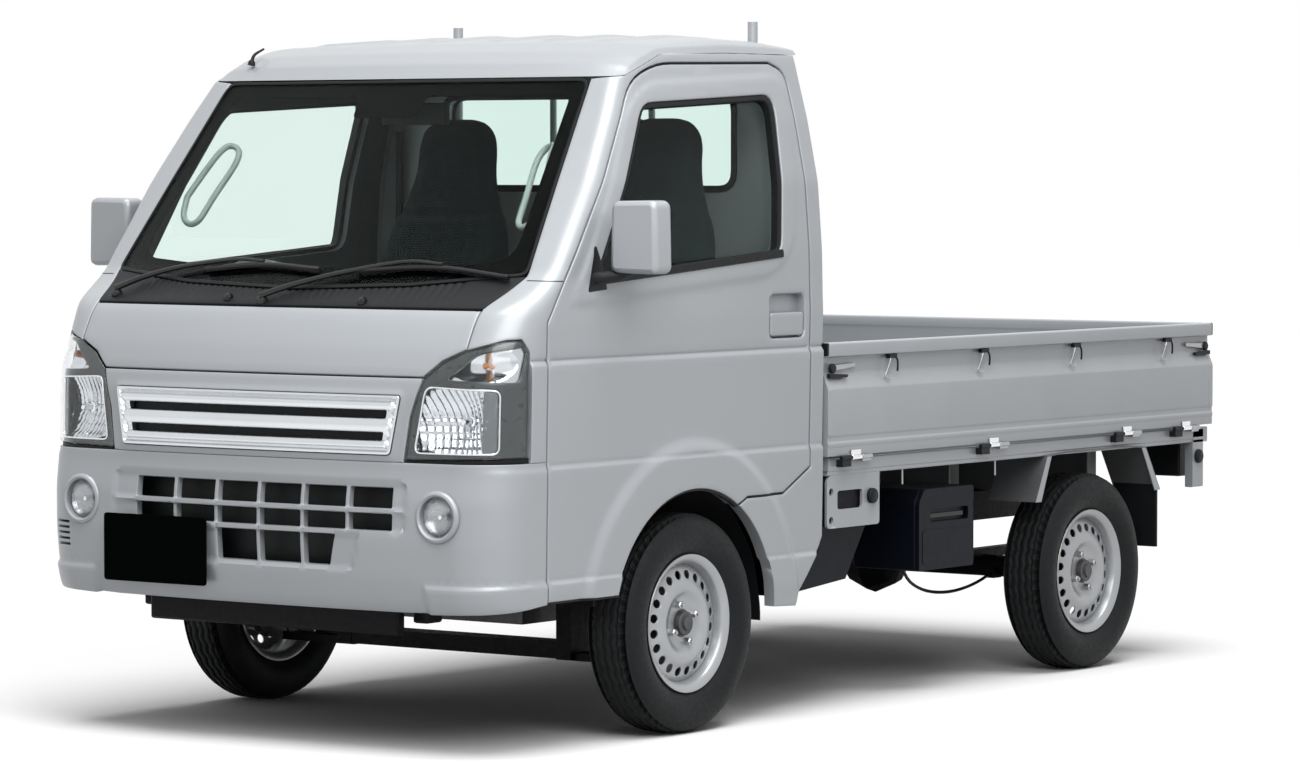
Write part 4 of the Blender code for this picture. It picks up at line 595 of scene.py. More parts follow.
def ease(t):
    """A soft step from 0 to 1: 3t^2 - 2t^3, held flat outside."""
    t = np.clip(t, 0, 1)
    return t * t * (3 - 2 * t)


def side_relief(s, z):
    """Pressed creases along the side and the raised flare round the wheel arch."""
    y = np.abs(s) - side_start(z)
    proud = np.zeros_like(y)
    for foot, top, height, deep in zip(CREASE_LOWS, CREASE_HIGHS, CREASE_PROUD, CREASE_GROOVE):
        proud = proud + height * ease((top - z) / (top - foot))
        proud = proud - deep * np.exp(-((z - top - GROOVE_RISE) / GROOVE_WIDTH) ** 2)
    reach = np.hypot(y - ARCH_Y, z - ARCH_Z)
    proud = proud + FLARE_PROUD * ease((FLARE_RADIUS - reach) / FLARE_RUN)
    return proud * ease((np.abs(s) - RELIEF_START) / RELIEF_RUN)


def outward_at(s, z, reach, reach_z):
    """Unit normal of the plain skin: the cross product of a short step along s and one up z."""
    along = skin_base(s + reach, z) - skin_base(s - reach, z)
    up = skin_base(s, z + reach_z) - skin_base(s, z - reach_z)
    outward = np.cross(along, up)
    return outward / np.linalg.norm(outward, axis=-1, keepdims=True)


def skin(s, z, depth=0.0, relief=None):
    """Skin point moved outwards by the relief and inwards by the depth, along the skin's normal."""
    s, z = np.broadcast_arrays(np.asarray(s, float), np.asarray(z, float))
    outward = outward_at(s, z, NORMAL_REACH, NORMAL_REACH_Z)
    lift = relief(s, z) if relief else 0.0
    point = skin_base(s, z) + outward * np.broadcast_to(lift - depth, np.shape(s))[..., None]
    point[..., 0] = np.clip(point[..., 0], -WIDTH_LIMIT, WIDTH_LIMIT)
    point[..., 1] = np.maximum(point[..., 1], FRONT_LIMIT_Y)
    return point


print("nose reaches", np.round(skin(0.0, 0.5), 3))

# %% [markdown]
# A panel is cut from the skin. Points fill its outline on a grid, rings of points run
# along its edges, and one triangulation joins them. The rings let the edge roll over
# like folded sheet: depth = r - sqrt(r^2 - (r - d)^2) at a distance d from the edge.

# %% Panels
ROLL_RINGS = np.array([0.13, 0.45, 1.0])
MERGE = 1e-7
CLEAR_OF_EXTRA, CLEAR_OF_EDGE = 0.55, 0.35
MITRE_LIMIT = 0.35


def split(loop, step, closed=True):
    """Adds points to a loop so that none of its edges is longer than a step."""
    loop = np.asarray(loop, float)
    ends = np.roll(loop, -1, 0) if closed else loop[1:]
    out = []
    for a, b in zip(loop, ends):
        count = max(int(np.ceil(np.linalg.norm(b - a) / step)), 1)
        out.append(a + (b - a) * np.linspace(0, 1, count, endpoint=False)[:, None])
    if not closed:
        out.append(loop[-1:])
    return np.concatenate(out)


def oblong(across, up):
    """Four corners between two values each way, as a loop."""
    return [(across[0], up[0]), (across[1], up[0]), (across[1], up[1]), (across[0], up[1])]


def area_of(loop):
    """Signed area of a loop, positive when it runs counterclockwise."""
    x, y = loop[:, 0], loop[:, 1]
    return float(np.sum(x * np.roll(y, -1) - np.roll(x, -1) * y)) / 2


def grown(loop, distance):
    """Moves each edge of a loop outwards and mitres the corners."""
    loop = np.asarray(loop, float)
    way = np.sign(area_of(loop))
    before, after = loop - np.roll(loop, 1, 0), np.roll(loop, -1, 0) - loop
    before, after = (v / np.maximum(np.linalg.norm(v, axis=1), 1e-9)[:, None] for v in (before, after))
    normals = [np.stack([v[:, 1], -v[:, 0]], 1) * way for v in (before, after)]
    middle = normals[0] + normals[1]
    middle /= np.maximum(np.linalg.norm(middle, axis=1), 1e-9)[:, None]
    stretch = np.maximum(np.sum(middle * normals[0], axis=1), MITRE_LIMIT)
    return loop + middle * (distance / stretch)[:, None]


def inside(loop, points):
    """True for each point in a loop: the count of edges to its right is odd."""
    x, y = points[:, 0], points[:, 1]
    hit = np.zeros(len(points), bool)
    for (ax, ay), (bx, by) in zip(loop, np.roll(loop, -1, 0)):
        if ay != by:
            hit ^= ((ay > y) != (by > y)) & (x < (bx - ax) * (y - ay) / (by - ay) + ax)
    return hit


def within(loops, points):
    """True for each point in the first loop and in none of the others."""
    keep = inside(loops[0], points)
    for hole in loops[1:]:
        keep &= ~inside(hole, points)
    return keep


def distance_to(loops, points):
    """Distance from each point to the nearest edge of the loops."""
    near = np.full(len(points), 9.0)
    for loop in loops:
        for a, b in zip(loop, np.roll(loop, -1, 0)):
            run = b - a
            share = np.clip((points - a) @ run / max(run @ run, 1e-18), 0, 1)
            near = np.minimum(near, np.linalg.norm(points - a - share[:, None] * run, axis=1))
    return near


def clear_of(points, others, distance):
    """True for each point that keeps a distance from all the other points."""
    parts = [((block[:, None] - others[None]) ** 2).sum(-1).min(1) for block in np.array_split(points, 40)]
    return np.concatenate(parts) > distance ** 2


def cut_out(outline, holes, step, roll, extra=()):
    """Flat points and triangles inside an outline and outside its holes, with rings along every edge."""
    loops = [split(outline, step)] + [split(hole, step) for hole in holes]
    rings = []
    for i, loop in enumerate(loops):
        sign = -1 if i == 0 else 1
        rings += [grown(loop, sign * roll * share) for share in ROLL_RINGS]
    low_corner, high_corner = loops[0].min(0), loops[0].max(0)
    lines = [np.arange(low_corner[k] + step / 2, high_corner[k], step) for k in (0, 1)]
    fill = np.stack(np.meshgrid(*lines), -1).reshape(-1, 2)
    if len(extra):
        extra = np.concatenate([np.asarray(ring, float) for ring in extra])
        fill = np.concatenate([fill[clear_of(fill, extra, step * CLEAR_OF_EXTRA)], extra])
    fill = fill[within(loops, fill)]
    fill = fill[distance_to(loops, fill) > roll + step * CLEAR_OF_EDGE]
    edges, start = [], 0
    for loop in loops:
        count = len(loop)
        edges += [(start + i, start + (i + 1) % count) for i in range(count)]
        start += count
    points = np.concatenate([*loops, *rings, fill])
    made = delaunay_2d_cdt([Vector(p) for p in points], edges, [], 0, MERGE)
    flat = np.array([tuple(v) for v in made[0]])
    triangles = np.array(made[2])
    keep = within(loops, flat[triangles].mean(axis=1))
    return flat, triangles[keep], distance_to(loops, flat)


def panel(outline, holes=(), wall=0.025, roll=0.003, step=0.012, relief=None, extra=(), set_back=0.0):
    """A closed panel on the skin: a rolled outer face, an inner face one wall below, and a rim."""
    flat, triangles, edge = cut_out(outline, holes, step, roll, extra)
    if callable(set_back):
        set_back = set_back(flat[:, 0], flat[:, 1])
    short = roll - np.minimum(edge, roll)
    depth = roll - np.sqrt(np.maximum(roll ** 2 - short ** 2, 0)) + set_back
    outer = skin(flat[:, 0], flat[:, 1], depth, relief)
    inner = skin(flat[:, 0], flat[:, 1], wall + set_back + 0 * edge, relief)
    return two_faced(outer, inner, triangles)


def two_faced(outer, inner, triangles):
    """A closed solid between two clouds of points that share their triangles."""
    count = len(outer)
    ways = np.concatenate([triangles[:, [0, 1]], triangles[:, [1, 2]], triangles[:, [2, 0]]])
    codes = ways[:, 0] * count + ways[:, 1]
    rim = ways[~np.isin(codes, ways[:, 1] * count + ways[:, 0])]
    band = np.stack([rim[:, 1], rim[:, 0], rim[:, 0] + count, rim[:, 1] + count], 1)
    return np.concatenate([outer, inner]), [triangles, triangles[:, ::-1] + count, band]


def mirrored(points):
    """The same (x, z) points on the other side of the middle."""
    return [(-x, z) for x, z in points]


def near_line(outline, s, z):
    """Distance from each place on the skin to the nearest edge of an outline."""
    flat = np.stack([s, z], -1).reshape(-1, 2)
    return distance_to([outline], flat).reshape(np.shape(s))


def lifted(height, relief=None):
    """A relief that stands a fixed height over another one, or over the plain skin."""
    return lambda s, z: height + (relief(s, z) if relief else 0 * s)


def face_count(shape):
    """Number of faces of a shape."""
    return sum(len(group) for group in shape[1])


def on_side(points, closed=True, step=0.012):
    """Turns (y, z) points of the left side into skin coordinates."""
    points = split(points, step, closed)
    return np.stack([side_start(points[:, 1]) + points[:, 0], points[:, 1]], 1)


def arc(y, z, radius, start_deg, end_deg, count):
    """Points on an arc."""
    turn = np.radians(np.linspace(start_deg, end_deg, count))
    return np.stack([y + radius * np.cos(turn), z + radius * np.sin(turn)], 1)


print("rings at shares", ROLL_RINGS, "of the edge radius")

# %% [markdown]
# The door leaf stands between the arch, the pillar and the roof rail. Its outline is
# the one the solid has. The flare round the arch is raised, so rings of points follow
# it, and the creases get rows of their own.

# %% Outlines of the left side
DOOR_FRONT_Y, DOOR_FOOT_Z = -1.450, 0.365
LOWER_CUT = [(-0.649, 0.572), (-0.477, 0.572), (-0.360, 0.632)]
DOOR_TOP = [(-0.360, 1.625), (-0.420, 1.645), (-0.905, 1.636), (-1.032, 1.592), (-1.372, 1.130)]
PILLAR_FOOT = (-1.450, 1.020)
DOOR_CORNER_RADIUS, SMALLEST_RADIUS = 0.060, 1e-6
ARCH_FRONT_DEG, ARCH_REAR_DEG, ARCH_FOOT_DEG, ARCH_GAP_DEG = 162.3, 59.0, 4.5, 1.2
ARCH_STEPS = 40
WINDOW = [(-0.488, 1.166), (-0.440, 1.568), (-1.011, 1.540), (-1.280, 1.110)]
WINDOW_RADIUS = 0.045
DOOR_GAP, SEAM = 0.006, 0.0004
DOOR_WALL, CAB_WALL, PANEL_WALL, LID_WALL = 0.040, 0.032, 0.025, 0.020


def door_loop():
    """Outline of the left door in (y, z)."""
    bend = arc(ARCH_Y, ARCH_Z, ARCH_RADIUS, ARCH_FRONT_DEG, ARCH_REAR_DEG, ARCH_STEPS)
    lower = [(DOOR_FRONT_Y, DOOR_FOOT_Z), *bend.tolist(), *LOWER_CUT]
    top = np.array([LOWER_CUT[-1], *DOOR_TOP, PILLAR_FOOT])
    radii = DOOR_CORNER_RADIUS * np.array([0, 1, 0, 1, 1, 0, 0]) + SMALLEST_RADIUS
    return np.concatenate([lower[:-1], rounded(top, radii)])


def feature_rings():
    """Rings of points over the flare's slope and rows over the creases, in skin coordinates."""
    rings = []
    for share in np.linspace(0, 1, 7):
        radius = FLARE_RADIUS - FLARE_RUN * share
        rings.append(on_side(arc(ARCH_Y, ARCH_Z, radius, ARCH_FOOT_DEG - 4, 175, 60), False))
    for foot, top in zip(CREASE_LOWS, CREASE_HIGHS):
        for height in np.linspace(foot - 0.001, top + 0.011, 9):
            rings.append(on_side([(-1.60, height), (-0.29, height)], False))
    return rings


DOOR_OUTLINE = on_side(door_loop())
WINDOW_OUTLINE = on_side(rounded(WINDOW, WINDOW_RADIUS))
SIDE_RINGS = feature_rings()
print("door outline has", len(DOOR_OUTLINE), "points")

# %% [markdown]
# The door is the largest panel in view. Besides the flare and the creases it has a
# raised band round its window, and a hole for the handle cup. A relief function can
# be any function of the two skin numbers, so the band is a soft rise near the window.

# %% Doors
WINDOW_STEP, WINDOW_STEP_REACH, WINDOW_STEP_RUN = 0.006, 0.062, 0.024
HANDLE = [(-0.539, 0.957), (-0.381, 0.957), (-0.381, 1.070), (-0.539, 1.070)]
HANDLE_RADIUS = 0.022
CUP_DEPTH, CUP_WALL = 0.024, 0.003
GLASS_SET, GLASS_WALL = 0.018, 0.005
SIDES = (("left", 1), ("right", -1))


def door_relief(s, z):
    """The side's relief, and a raised band within reach of the window."""
    near = near_line(WINDOW_OUTLINE, np.abs(s), z)
    return side_relief(s, z) + WINDOW_STEP * ease((WINDOW_STEP_REACH - near) / WINDOW_STEP_RUN)


def both(name, shape, finish, bodies, slot, nodes=(None, None), **how):
    """A piece on the left and its twin on the right; bodies is one name or a left and a right one."""
    bodies = (bodies, bodies) if isinstance(bodies, str) else bodies
    for side, made, body, node in zip(("left", "right"), (shape, flipped(shape)), bodies, nodes):
        add_piece(f"{name}_{side}", made, finish, body, slot, replaces=(node,) if node else (), **how)


DOORS = ("door_left", "door_right")
HANDLE_OUTLINE = on_side(rounded(HANDLE, HANDLE_RADIUS))
door = panel(DOOR_OUTLINE, [WINDOW_OUTLINE, HANDLE_OUTLINE], DOOR_WALL, 0.0035, 0.014, door_relief,
             [*SIDE_RINGS, *(grown(WINDOW_OUTLINE, WINDOW_STEP_REACH - WINDOW_STEP_RUN * share)
                             for share in (0, 0.35, 0.65, 1))])
both("door_skin", door, silver, DOORS, "door", DOORS, inner=cabin_plastic)
print("door skin has", face_count(door), "faces")


# %% Door glass, seals and mouldings
def ring_panel(outline, width, wall, set_back, roll=0.002, step=0.014, relief=None):
    """A band that follows an outline on its inner side."""
    return panel(outline, [grown(outline, -width)], wall, roll, step, relief, set_back=set_back)


glass = panel(grown(WINDOW_OUTLINE, -0.006), (), GLASS_WALL, 0.001, 0.03, set_back=GLASS_SET)
both("door_window", glass, screen_glass, DOORS, "door_glass", ("door_glass_left", "door_glass_right"))
channel = ring_panel(grown(WINDOW_OUTLINE, -SEAM), 0.013, 0.022, 0.0035, 0.0025, relief=door_relief)
both("window_channel", channel, seal_rubber, DOORS, "door_glass")
BELT_FOOT = [(-1.288, 1.104), (-0.484, 1.1605), (-0.4855, 1.181), (-1.284, 1.125)]
belt = panel(on_side(rounded(BELT_FOOT, 0.006)), (), 0.014, 0.003, 0.012, lifted(0.004, door_relief))
both("belt_moulding", belt, seal_rubber, DOORS, "door_glass")
cup = panel(grown(HANDLE_OUTLINE, 0.002), (), CUP_WALL, 0.002, 0.012, side_relief, set_back=CUP_DEPTH)
both("handle_cup", cup, silver, DOORS, "door")
wall_band = ring_panel(grown(HANDLE_OUTLINE, 0.0015), 0.0025, CUP_DEPTH, 0.003, 0.0008, 0.012, side_relief)
both("handle_cup_wall", wall_band, silver, DOORS, "door")
FLAP = [(-0.532, 0.964), (-0.388, 0.964), (-0.388, 1.022), (-0.532, 1.022)]
flap = panel(on_side(rounded(FLAP, 0.010)), (), 0.012, 0.004, 0.010, side_relief, set_back=0.001)
both("handle_flap", flap, silver, DOORS, "door")
print("window channel, belt moulding and handle are on both doors")

# %% [markdown]
# The cab side is the frame round the door: the windscreen pillar, the rail over the
# door, the rear pillar and the quarter behind the arch. It keeps the seam to every
# neighbour, because its outline uses the same lines as theirs.

# %% Cab sides
LAMP_OUTER = [(-1.514, 0.708), (-1.512, 0.955), (-1.530, 0.985)]
LAMP_TOP = [(0.690, 0.983), (0.606, 0.960), (0.545, 0.932), (0.500, 0.893), (0.470, 0.800), (0.455, 0.700)]
LID_TOP_Z, LID_HALF = 1.054, 0.606
BUMPER_TOP_Z = 0.694
GLASS_CORNER_FOOT, GLASS_CORNER_TOP = (0.645, 1.130), (0.574, 1.600)
ROOF_EDGE = [(-1.045, 1.6080), (-0.960, 1.6350), (-0.880, 1.6620), (-0.600, 1.6700), (-0.300, 1.6700)]
REAR_FOOT = [(-0.318, 0.419), (-0.434, 0.284)]
CAB_REAR_Y, REAR_KNEE_Z = -0.300, 0.450


def cab_side_outline():
    """Closed loop of the left cab side in skin coordinates, clockwise round the door opening."""
    opening = grown(door_loop(), DOOR_GAP)
    order = opening[ARCH_STEPS + 1:]
    front = [(DOOR_FRONT_Y - DOOR_GAP, BUMPER_TOP_Z + SEAM)]
    bend = arc(ARCH_Y, ARCH_Z, ARCH_RADIUS, ARCH_REAR_DEG - ARCH_GAP_DEG, ARCH_FOOT_DEG, 18)
    rear = [REAR_FOOT[1], REAR_FOOT[0], (CAB_REAR_Y, REAR_KNEE_Z)]
    top = [(y, z - 2 * SEAM) for y, z in ROOF_EDGE[::-1]]
    side = np.concatenate([front, order[::-1], bend, rear, top])
    lamp = [(y + SEAM, z) for y, z in LAMP_OUTER[::-1]]
    tail = [*lamp, (lamp[-1][0], BUMPER_TOP_Z + SEAM)]
    nose = [(x + SEAM, z) for x, z in (GLASS_CORNER_TOP, GLASS_CORNER_FOOT, (LID_HALF, LID_TOP_Z))]
    nose += [(LID_HALF + SEAM, LAMP_TOP[1][1] + SEAM), (LAMP_TOP[0][0], LAMP_TOP[0][1] + SEAM)]
    return np.concatenate([on_side(side, False), nose, on_side(tail, False)])


cab_side = panel(cab_side_outline(), (), CAB_WALL, 0.0025, 0.0095, side_relief, SIDE_RINGS)
both("cab_side_skin", cab_side, silver, "truck", "cab_side", ("cab_side_left", "cab_side_right"),
     inner=pale_trim)
print("cab side has", face_count(cab_side), "faces")

# %% [markdown]
# The nose carries the lid, the panel round the grille, the grille and the cowl. The
# grille's three bars bulge between two slots: half a sine wave over each bar's height
# gives the rounded section that catches the light.

# %% Lid, nose panel, grille and cowl
LID_HALF_LOOP = [(0.500, 0.893), (0.545, 0.932), (0.606, 0.960), (0.606, 1.054)]
LID_LOOP = mirrored(LID_HALF_LOOP[:1]) + LID_HALF_LOOP + mirrored(LID_HALF_LOOP[:0:-1])
NOSE_HALF_LOOP = [(0.454, 0.6945), (0.469, 0.800), (0.499, 0.8925)]
NOSE_LOOP = mirrored(NOSE_HALF_LOOP[:1]) + NOSE_HALF_LOOP + mirrored(NOSE_HALF_LOOP[:0:-1])
GRILLE_LOOP = [(-0.420, 0.710), (0.420, 0.710), (0.447, 0.852), (-0.447, 0.852)]
SLOT_LOOPS = [[(-0.393, 0.745), (0.393, 0.745), (0.396, 0.763), (-0.396, 0.763)],
              [(-0.402, 0.797), (0.402, 0.797), (0.405, 0.815), (-0.405, 0.815)]]
GLASS_FOOT = [(-0.350, 1.103), (0, 1.092), (0.350, 1.103)]
GRILLE_RIM, GRILLE_PROUD, BAR_PROUD = 0.012, 0.007, 0.009
RIM_GROOVE, RIM_GROOVE_WIDTH = 0.006, 0.0022
COWL_INSET, COWL_RIB_PITCH, COWL_RIB_DEEP, COWL_RIB_FOOT, COWL_RIB_HALF = 0.002, 0.022, 0.003, 1.066, 0.5
GRILLE_OUTLINE = rounded(GRILLE_LOOP, 0.012)
BAR_EDGES = [0.722, 0.745, 0.763, 0.797, 0.815, 0.840]


def grille_relief(s, z):
    """A raised rim all round, and three bars: half a sine wave between their edges, to the power 0.7."""
    near = near_line(GRILLE_OUTLINE, s, z)
    proud = GRILLE_PROUD * ease((GRILLE_RIM - near) / 0.004)
    for foot, top in zip(BAR_EDGES[::2], BAR_EDGES[1::2]):
        share = np.clip((z - foot) / (top - foot), 0, 1)
        proud = np.maximum(proud, BAR_PROUD * np.sin(share * math.pi) ** 0.7 * (near > GRILLE_RIM))
    return proud - RIM_GROOVE * np.exp(-((near - GRILLE_RIM - 0.004) / RIM_GROOVE_WIDTH) ** 2)


def nose_relief(s, z):
    """The metal rises softly to the grille's opening."""
    near = near_line(GRILLE_OUTLINE, s, z)
    return 0.004 * ease((0.012 - near) / 0.012)


lid = panel(grown(LID_LOOP, -0.0035), (), LID_WALL, 0.003, 0.016)
add_piece("front_lid_skin", lid, silver, "front_lid", "front_lid", replaces=("front_lid",))
nose = panel(NOSE_LOOP, [GRILLE_OUTLINE], PANEL_WALL, 0.003, 0.010, nose_relief)
add_piece("nose_skin", nose, silver, "truck", "nose_panel", replaces=("nose_panel",))
slots = [rounded(loop, 0.004) for loop in SLOT_LOOPS]
grille = panel(grown(GRILLE_OUTLINE, -0.0015), slots, 0.016, 0.002, 0.004, grille_relief,
               [grown(GRILLE_OUTLINE, -GRILLE_RIM - step) for step in (-0.004, 0.002, 0.004, 0.006)])
add_piece("grille_bars", grille, grille_chrome, "truck", "grille", replaces=("grille",))
grille_back = panel(grown(GRILLE_OUTLINE, -0.004), (), 0.004, 0.001, 0.03, set_back=0.020)
add_piece("grille_backing", grille_back, black_plastic, "truck", "cowl")


def cowl_outline():
    """Band between the lid and the windscreen."""
    right = [(LID_HALF - COWL_INSET, LID_TOP_Z + 2 * SEAM),
             (GLASS_CORNER_FOOT[0] - COWL_INSET, GLASS_CORNER_FOOT[1] - SEAM)]
    top = [(x, z - SEAM) for x, z in GLASS_FOOT]
    return mirrored(right[:1]) + right + top[::-1] + mirrored(right[1:])


def cowl_relief(s, z):
    """Shallow lengthwise ribs along the cowl, like its air slots: a raised sine of the width."""
    ribs = 0.5 + 0.5 * np.sin(s * 2 * math.pi / COWL_RIB_PITCH)
    return -COWL_RIB_DEEP * ribs * ease((z - COWL_RIB_FOOT) / 0.01) * (np.abs(s) < COWL_RIB_HALF)


cowl = panel(cowl_outline(), (), 0.016, 0.002, 0.0075, cowl_relief)
add_piece("cowl_cover", cowl, black_plastic, "truck", "cowl", replaces=("cowl",))
print("nose pieces have", [face_count(shape) for shape in (lid, nose, grille, cowl)], "faces")

# %% [markdown]
# The windscreen is a sheet of glass with a black printed band round its edge, which
# hides the glue. The band is a thin shell just inside the glass, with a tab at the
# top centre for the sensor behind the mirror.

# %% Windscreen
SCREEN_LOOP = [*GLASS_FOOT, GLASS_CORNER_FOOT, GLASS_CORNER_TOP,
               *mirrored([GLASS_CORNER_TOP, GLASS_CORNER_FOOT])]
BAND_HALF = [(0.350, 1.150), (0.588, 1.166), (0.534, 1.562), (0.110, 1.562), (0.095, 1.510)]
BAND_LOOP = mirrored(BAND_HALF[:1]) + [(0, 1.145)] + BAND_HALF + mirrored(BAND_HALF[:0:-1])
BAND_RADII = [0, 0, 0, 0.060, 0.020, 0.010, 0.010, 0.010, 0.010, 0.020, 0.060]
screen_outline = rounded(SCREEN_LOOP, [0, 0, 0, 0.02, 0.03, 0.03, 0.02])
screen = panel(screen_outline, (), GLASS_WALL, 0.001, 0.022)
add_piece("windscreen_glass", screen, screen_glass, "truck", "windscreen", replaces=("windscreen",))
band = panel(grown(screen_outline, -0.001), [rounded(BAND_LOOP, BAND_RADII)], 0.0015, 0.0003, 0.018,
             set_back=GLASS_WALL + 0.0003)
add_piece("windscreen_band", band, screen_black, "truck", "windscreen")
trim = panel(screen_outline, [grown(screen_outline, -0.007)], 0.004, 0.001, 0.02, lifted(0.0025))
add_piece("windscreen_trim", trim, seal_rubber, "truck", "windscreen")
PILLAR_SEAM = [(0.653, 1.1182), (0.742, 1.1168), (0.742, 1.1190), (0.653, 1.1204)]
seam_line = panel(PILLAR_SEAM, (), 0.0012, 0.0003, 0.010, lifted(0.0004, side_relief))
both("pillar_seam", seam_line, seal_rubber, "truck", "cab_side")
print("windscreen is", round(2 * GLASS_CORNER_FOOT[0], 2), "m wide at its foot")

# %% [markdown]
# The roof is a grid: rows from front to rear, each an arch that is nearly flat and
# turns down at its edges. Six long ribs are pressed into it; each is a bell across its
# width and fades at its ends.

# %% Roof
ROOF_ROW_Y = [-1.0980, -1.0650, -1.010, -0.910, -0.600, -0.400, -0.287]
ROOF_ROW_Z = [1.6045, 1.6420, 1.672, 1.697, 1.718, 1.713, 1.698]
ROOF_EDGE_Y = [-1.045, -1.010, -0.960, -0.880, -0.600, -0.400, -0.287]
ROOF_EDGE_Z = [1.608, 1.619, 1.635, 1.662, 1.670, 1.670, 1.670]
ROOF_SPREAD_SHARES = [0, 0.33, 0.65, 0.88, 0.95, 0.985, 1]
ROOF_RISE_SHARES = [1, 0.97, 0.89, 0.80, 0.66, 0.42, 0]
RIB_PLACES, RIB_HALF, RIB_PROUD = (0.10, 0.27, 0.44), 0.018, 0.006
RIB_SPAN = (-0.90, -0.36)
ROOF_WALL = 0.018


def eased_table(share, places, values):
    """Reads a table along a share with a short running average, so that it has no kinks."""
    fine = np.linspace(places[0], places[-1], 600)
    line = np.interp(fine, places, values)
    kernel = np.ones(31) / 31
    ends = 2 * line[0] - line[15:0:-1], 2 * line[-1] - line[-2:-17:-1]
    return np.interp(share, fine, np.convolve(np.concatenate([ends[0], line, ends[1]]), kernel, "valid"))


def roof_shape():
    """Outer and inner grids of the roof, joined by a rim."""
    v = np.linspace(0, 1, 90)
    order = np.arange(len(ROOF_ROW_Y)) / (len(ROOF_ROW_Y) - 1)
    tables = (ROOF_ROW_Y, ROOF_ROW_Z, ROOF_EDGE_Y, ROOF_EDGE_Z)
    row_y, row_z, edge_y, edge_z = (eased_table(v, order, table) for table in tables)
    half = 1 - (1 - np.linspace(0, 1, 70)) ** 1.6
    share = np.concatenate([-half[:0:-1], half])
    way = np.abs(share)
    rise = eased_table(way, ROOF_SPREAD_SHARES, ROOF_RISE_SHARES)
    rise = np.where(way > 0.95, np.interp(way, ROOF_SPREAD_SHARES, ROOF_RISE_SHARES), rise)
    width = section_at(edge_z)[0]
    x = share[None, :] * width[:, None]
    bow = way[None, :] ** 2 * 0.45 + way[None, :] ** 12 * 0.55
    y = row_y[:, None] + (edge_y - row_y)[:, None] * bow
    z = edge_z[:, None] + (row_z - edge_z)[:, None] * rise[None, :]
    fade = ease((y - RIB_SPAN[0]) / 0.05) * ease((RIB_SPAN[1] - y) / 0.04)
    for place in RIB_PLACES:
        z = z + RIB_PROUD * fade * np.exp(-((np.abs(x) - place) / RIB_HALF) ** 4)
    outer = np.stack([x, y, z], -1)
    tuck = np.where(np.arange(len(v))[:, None] < 2, 0.02, 0) * (way[None, :] < 0.999)
    inner = np.stack([x * 0.965, y + tuck, np.maximum(z - ROOF_WALL, edge_z[:, None])], -1)
    rows, columns = z.shape
    count = rows * columns
    edge = np.concatenate([np.arange(columns), np.arange(2, rows + 1) * columns - 1,
                           (rows - 1) * columns + np.arange(columns - 1)[::-1],
                           np.arange(1, rows - 1)[::-1] * columns])
    after = np.roll(edge, -1)
    faces = grid_faces(rows, columns)
    rim = np.stack([after, edge, edge + count, after + count], 1)
    return np.concatenate([outer.reshape(-1, 3), inner.reshape(-1, 3)]), [faces, faces[:, ::-1] + count, rim]


add_piece("roof_skin", roof_shape(), silver, "truck", "roof", smooth_deg=55, replaces=("roof",),
          inner=pale_trim)
ANTENNA = [(-0.535, -1.045, 1.652), (-0.537, -1.030, 1.672), (-0.545, -0.985, 1.688)]
ANTENNA_BASE = [(0, 0), (0.010, 0), (0.009, 0.008), (0.0045, 0.014), (0, 0.014)]
rod = tube(smooth_path(ANTENNA, 16), np.linspace(0.0050, 0.0028, 16), 10)
base = lathe(ANTENNA_BASE, (-0.535, -1.045, 1.646), (0, 0.25, 1), 20)
add_piece("antenna", joined([rod, base]), black_plastic, "truck", "cowl")
print("roof has", RIB_PLACES, "ribs on each side")

# %% [markdown]
# The bumper is one moulding. Its intake field is set in by a few millimetres and two
# long bars cross it; the lower corners stand proud. Each of these is a soft step in
# one relief function, and the openings are holes in the outline.

# %% Bumper
BUMPER_FOOT = [(0.450, 0.340), (0.650, 0.346)]
BUMPER_END_Y, BUMPER_END_FOOT_Z = DOOR_FRONT_Y - DOOR_GAP, 0.360
INTAKE_ROWS = [(0.586, 0.636, 0, 5), (0.533, 0.573, 0, 5), (0.444, 0.520, 2, 4)]
INTAKE_LEFT, INTAKE_PITCH, INTAKE_BAR = -0.371, 0.1347, 0.010
FIELD_LOOP = [(-0.448, 0.648), (-0.448, 0.434), (0.318, 0.434), (0.338, 0.522), (0.470, 0.522),
              (0.470, 0.648)]
FIELD_SUNK, FIELD_RUN = 0.007, 0.008
LONG_BARS = [(0.572, 0.587), (0.519, 0.534)]
LONG_BAR_RUN, LONG_BAR_BACK = 0.003, 0.001
SKIRT_TOP_Z, SKIRT_START, SKIRT_PROUD = 0.412, 0.512, 0.009
FOG_X, FOG_Z, FOG_RADIUS = 0.559, 0.570, 0.050
LOUVRE_LOWS = np.linspace(0.452, 0.508, 5)
LOUVRE_SPAN, LOUVRE_HEIGHT = (-0.668, -0.606), 0.006
FIELD_OUTLINE = rounded(FIELD_LOOP, 0.014)


def bumper_relief(s, z):
    """The side's relief, the sunk intake field with its bars, and the proud lower corners."""
    near = near_line(FIELD_OUTLINE, s, z)
    field = inside(FIELD_OUTLINE, np.stack([s, z], -1).reshape(-1, 2)).reshape(np.shape(s))
    proud = side_relief(s, z) - FIELD_SUNK * field * ease(near / FIELD_RUN)
    for foot, top in LONG_BARS:
        bar = ease((z - foot) / LONG_BAR_RUN) * ease((top - z) / LONG_BAR_RUN)
        proud = proud + (FIELD_SUNK - LONG_BAR_BACK) * bar * field * ease(near / FIELD_RUN)
    corner = ease((np.abs(s) - SKIRT_START) / 0.014) * (1 - ease((np.abs(s) - RELIEF_START) / RELIEF_RUN))
    return proud + SKIRT_PROUD * ease((SKIRT_TOP_Z - z) / 0.012) * corner


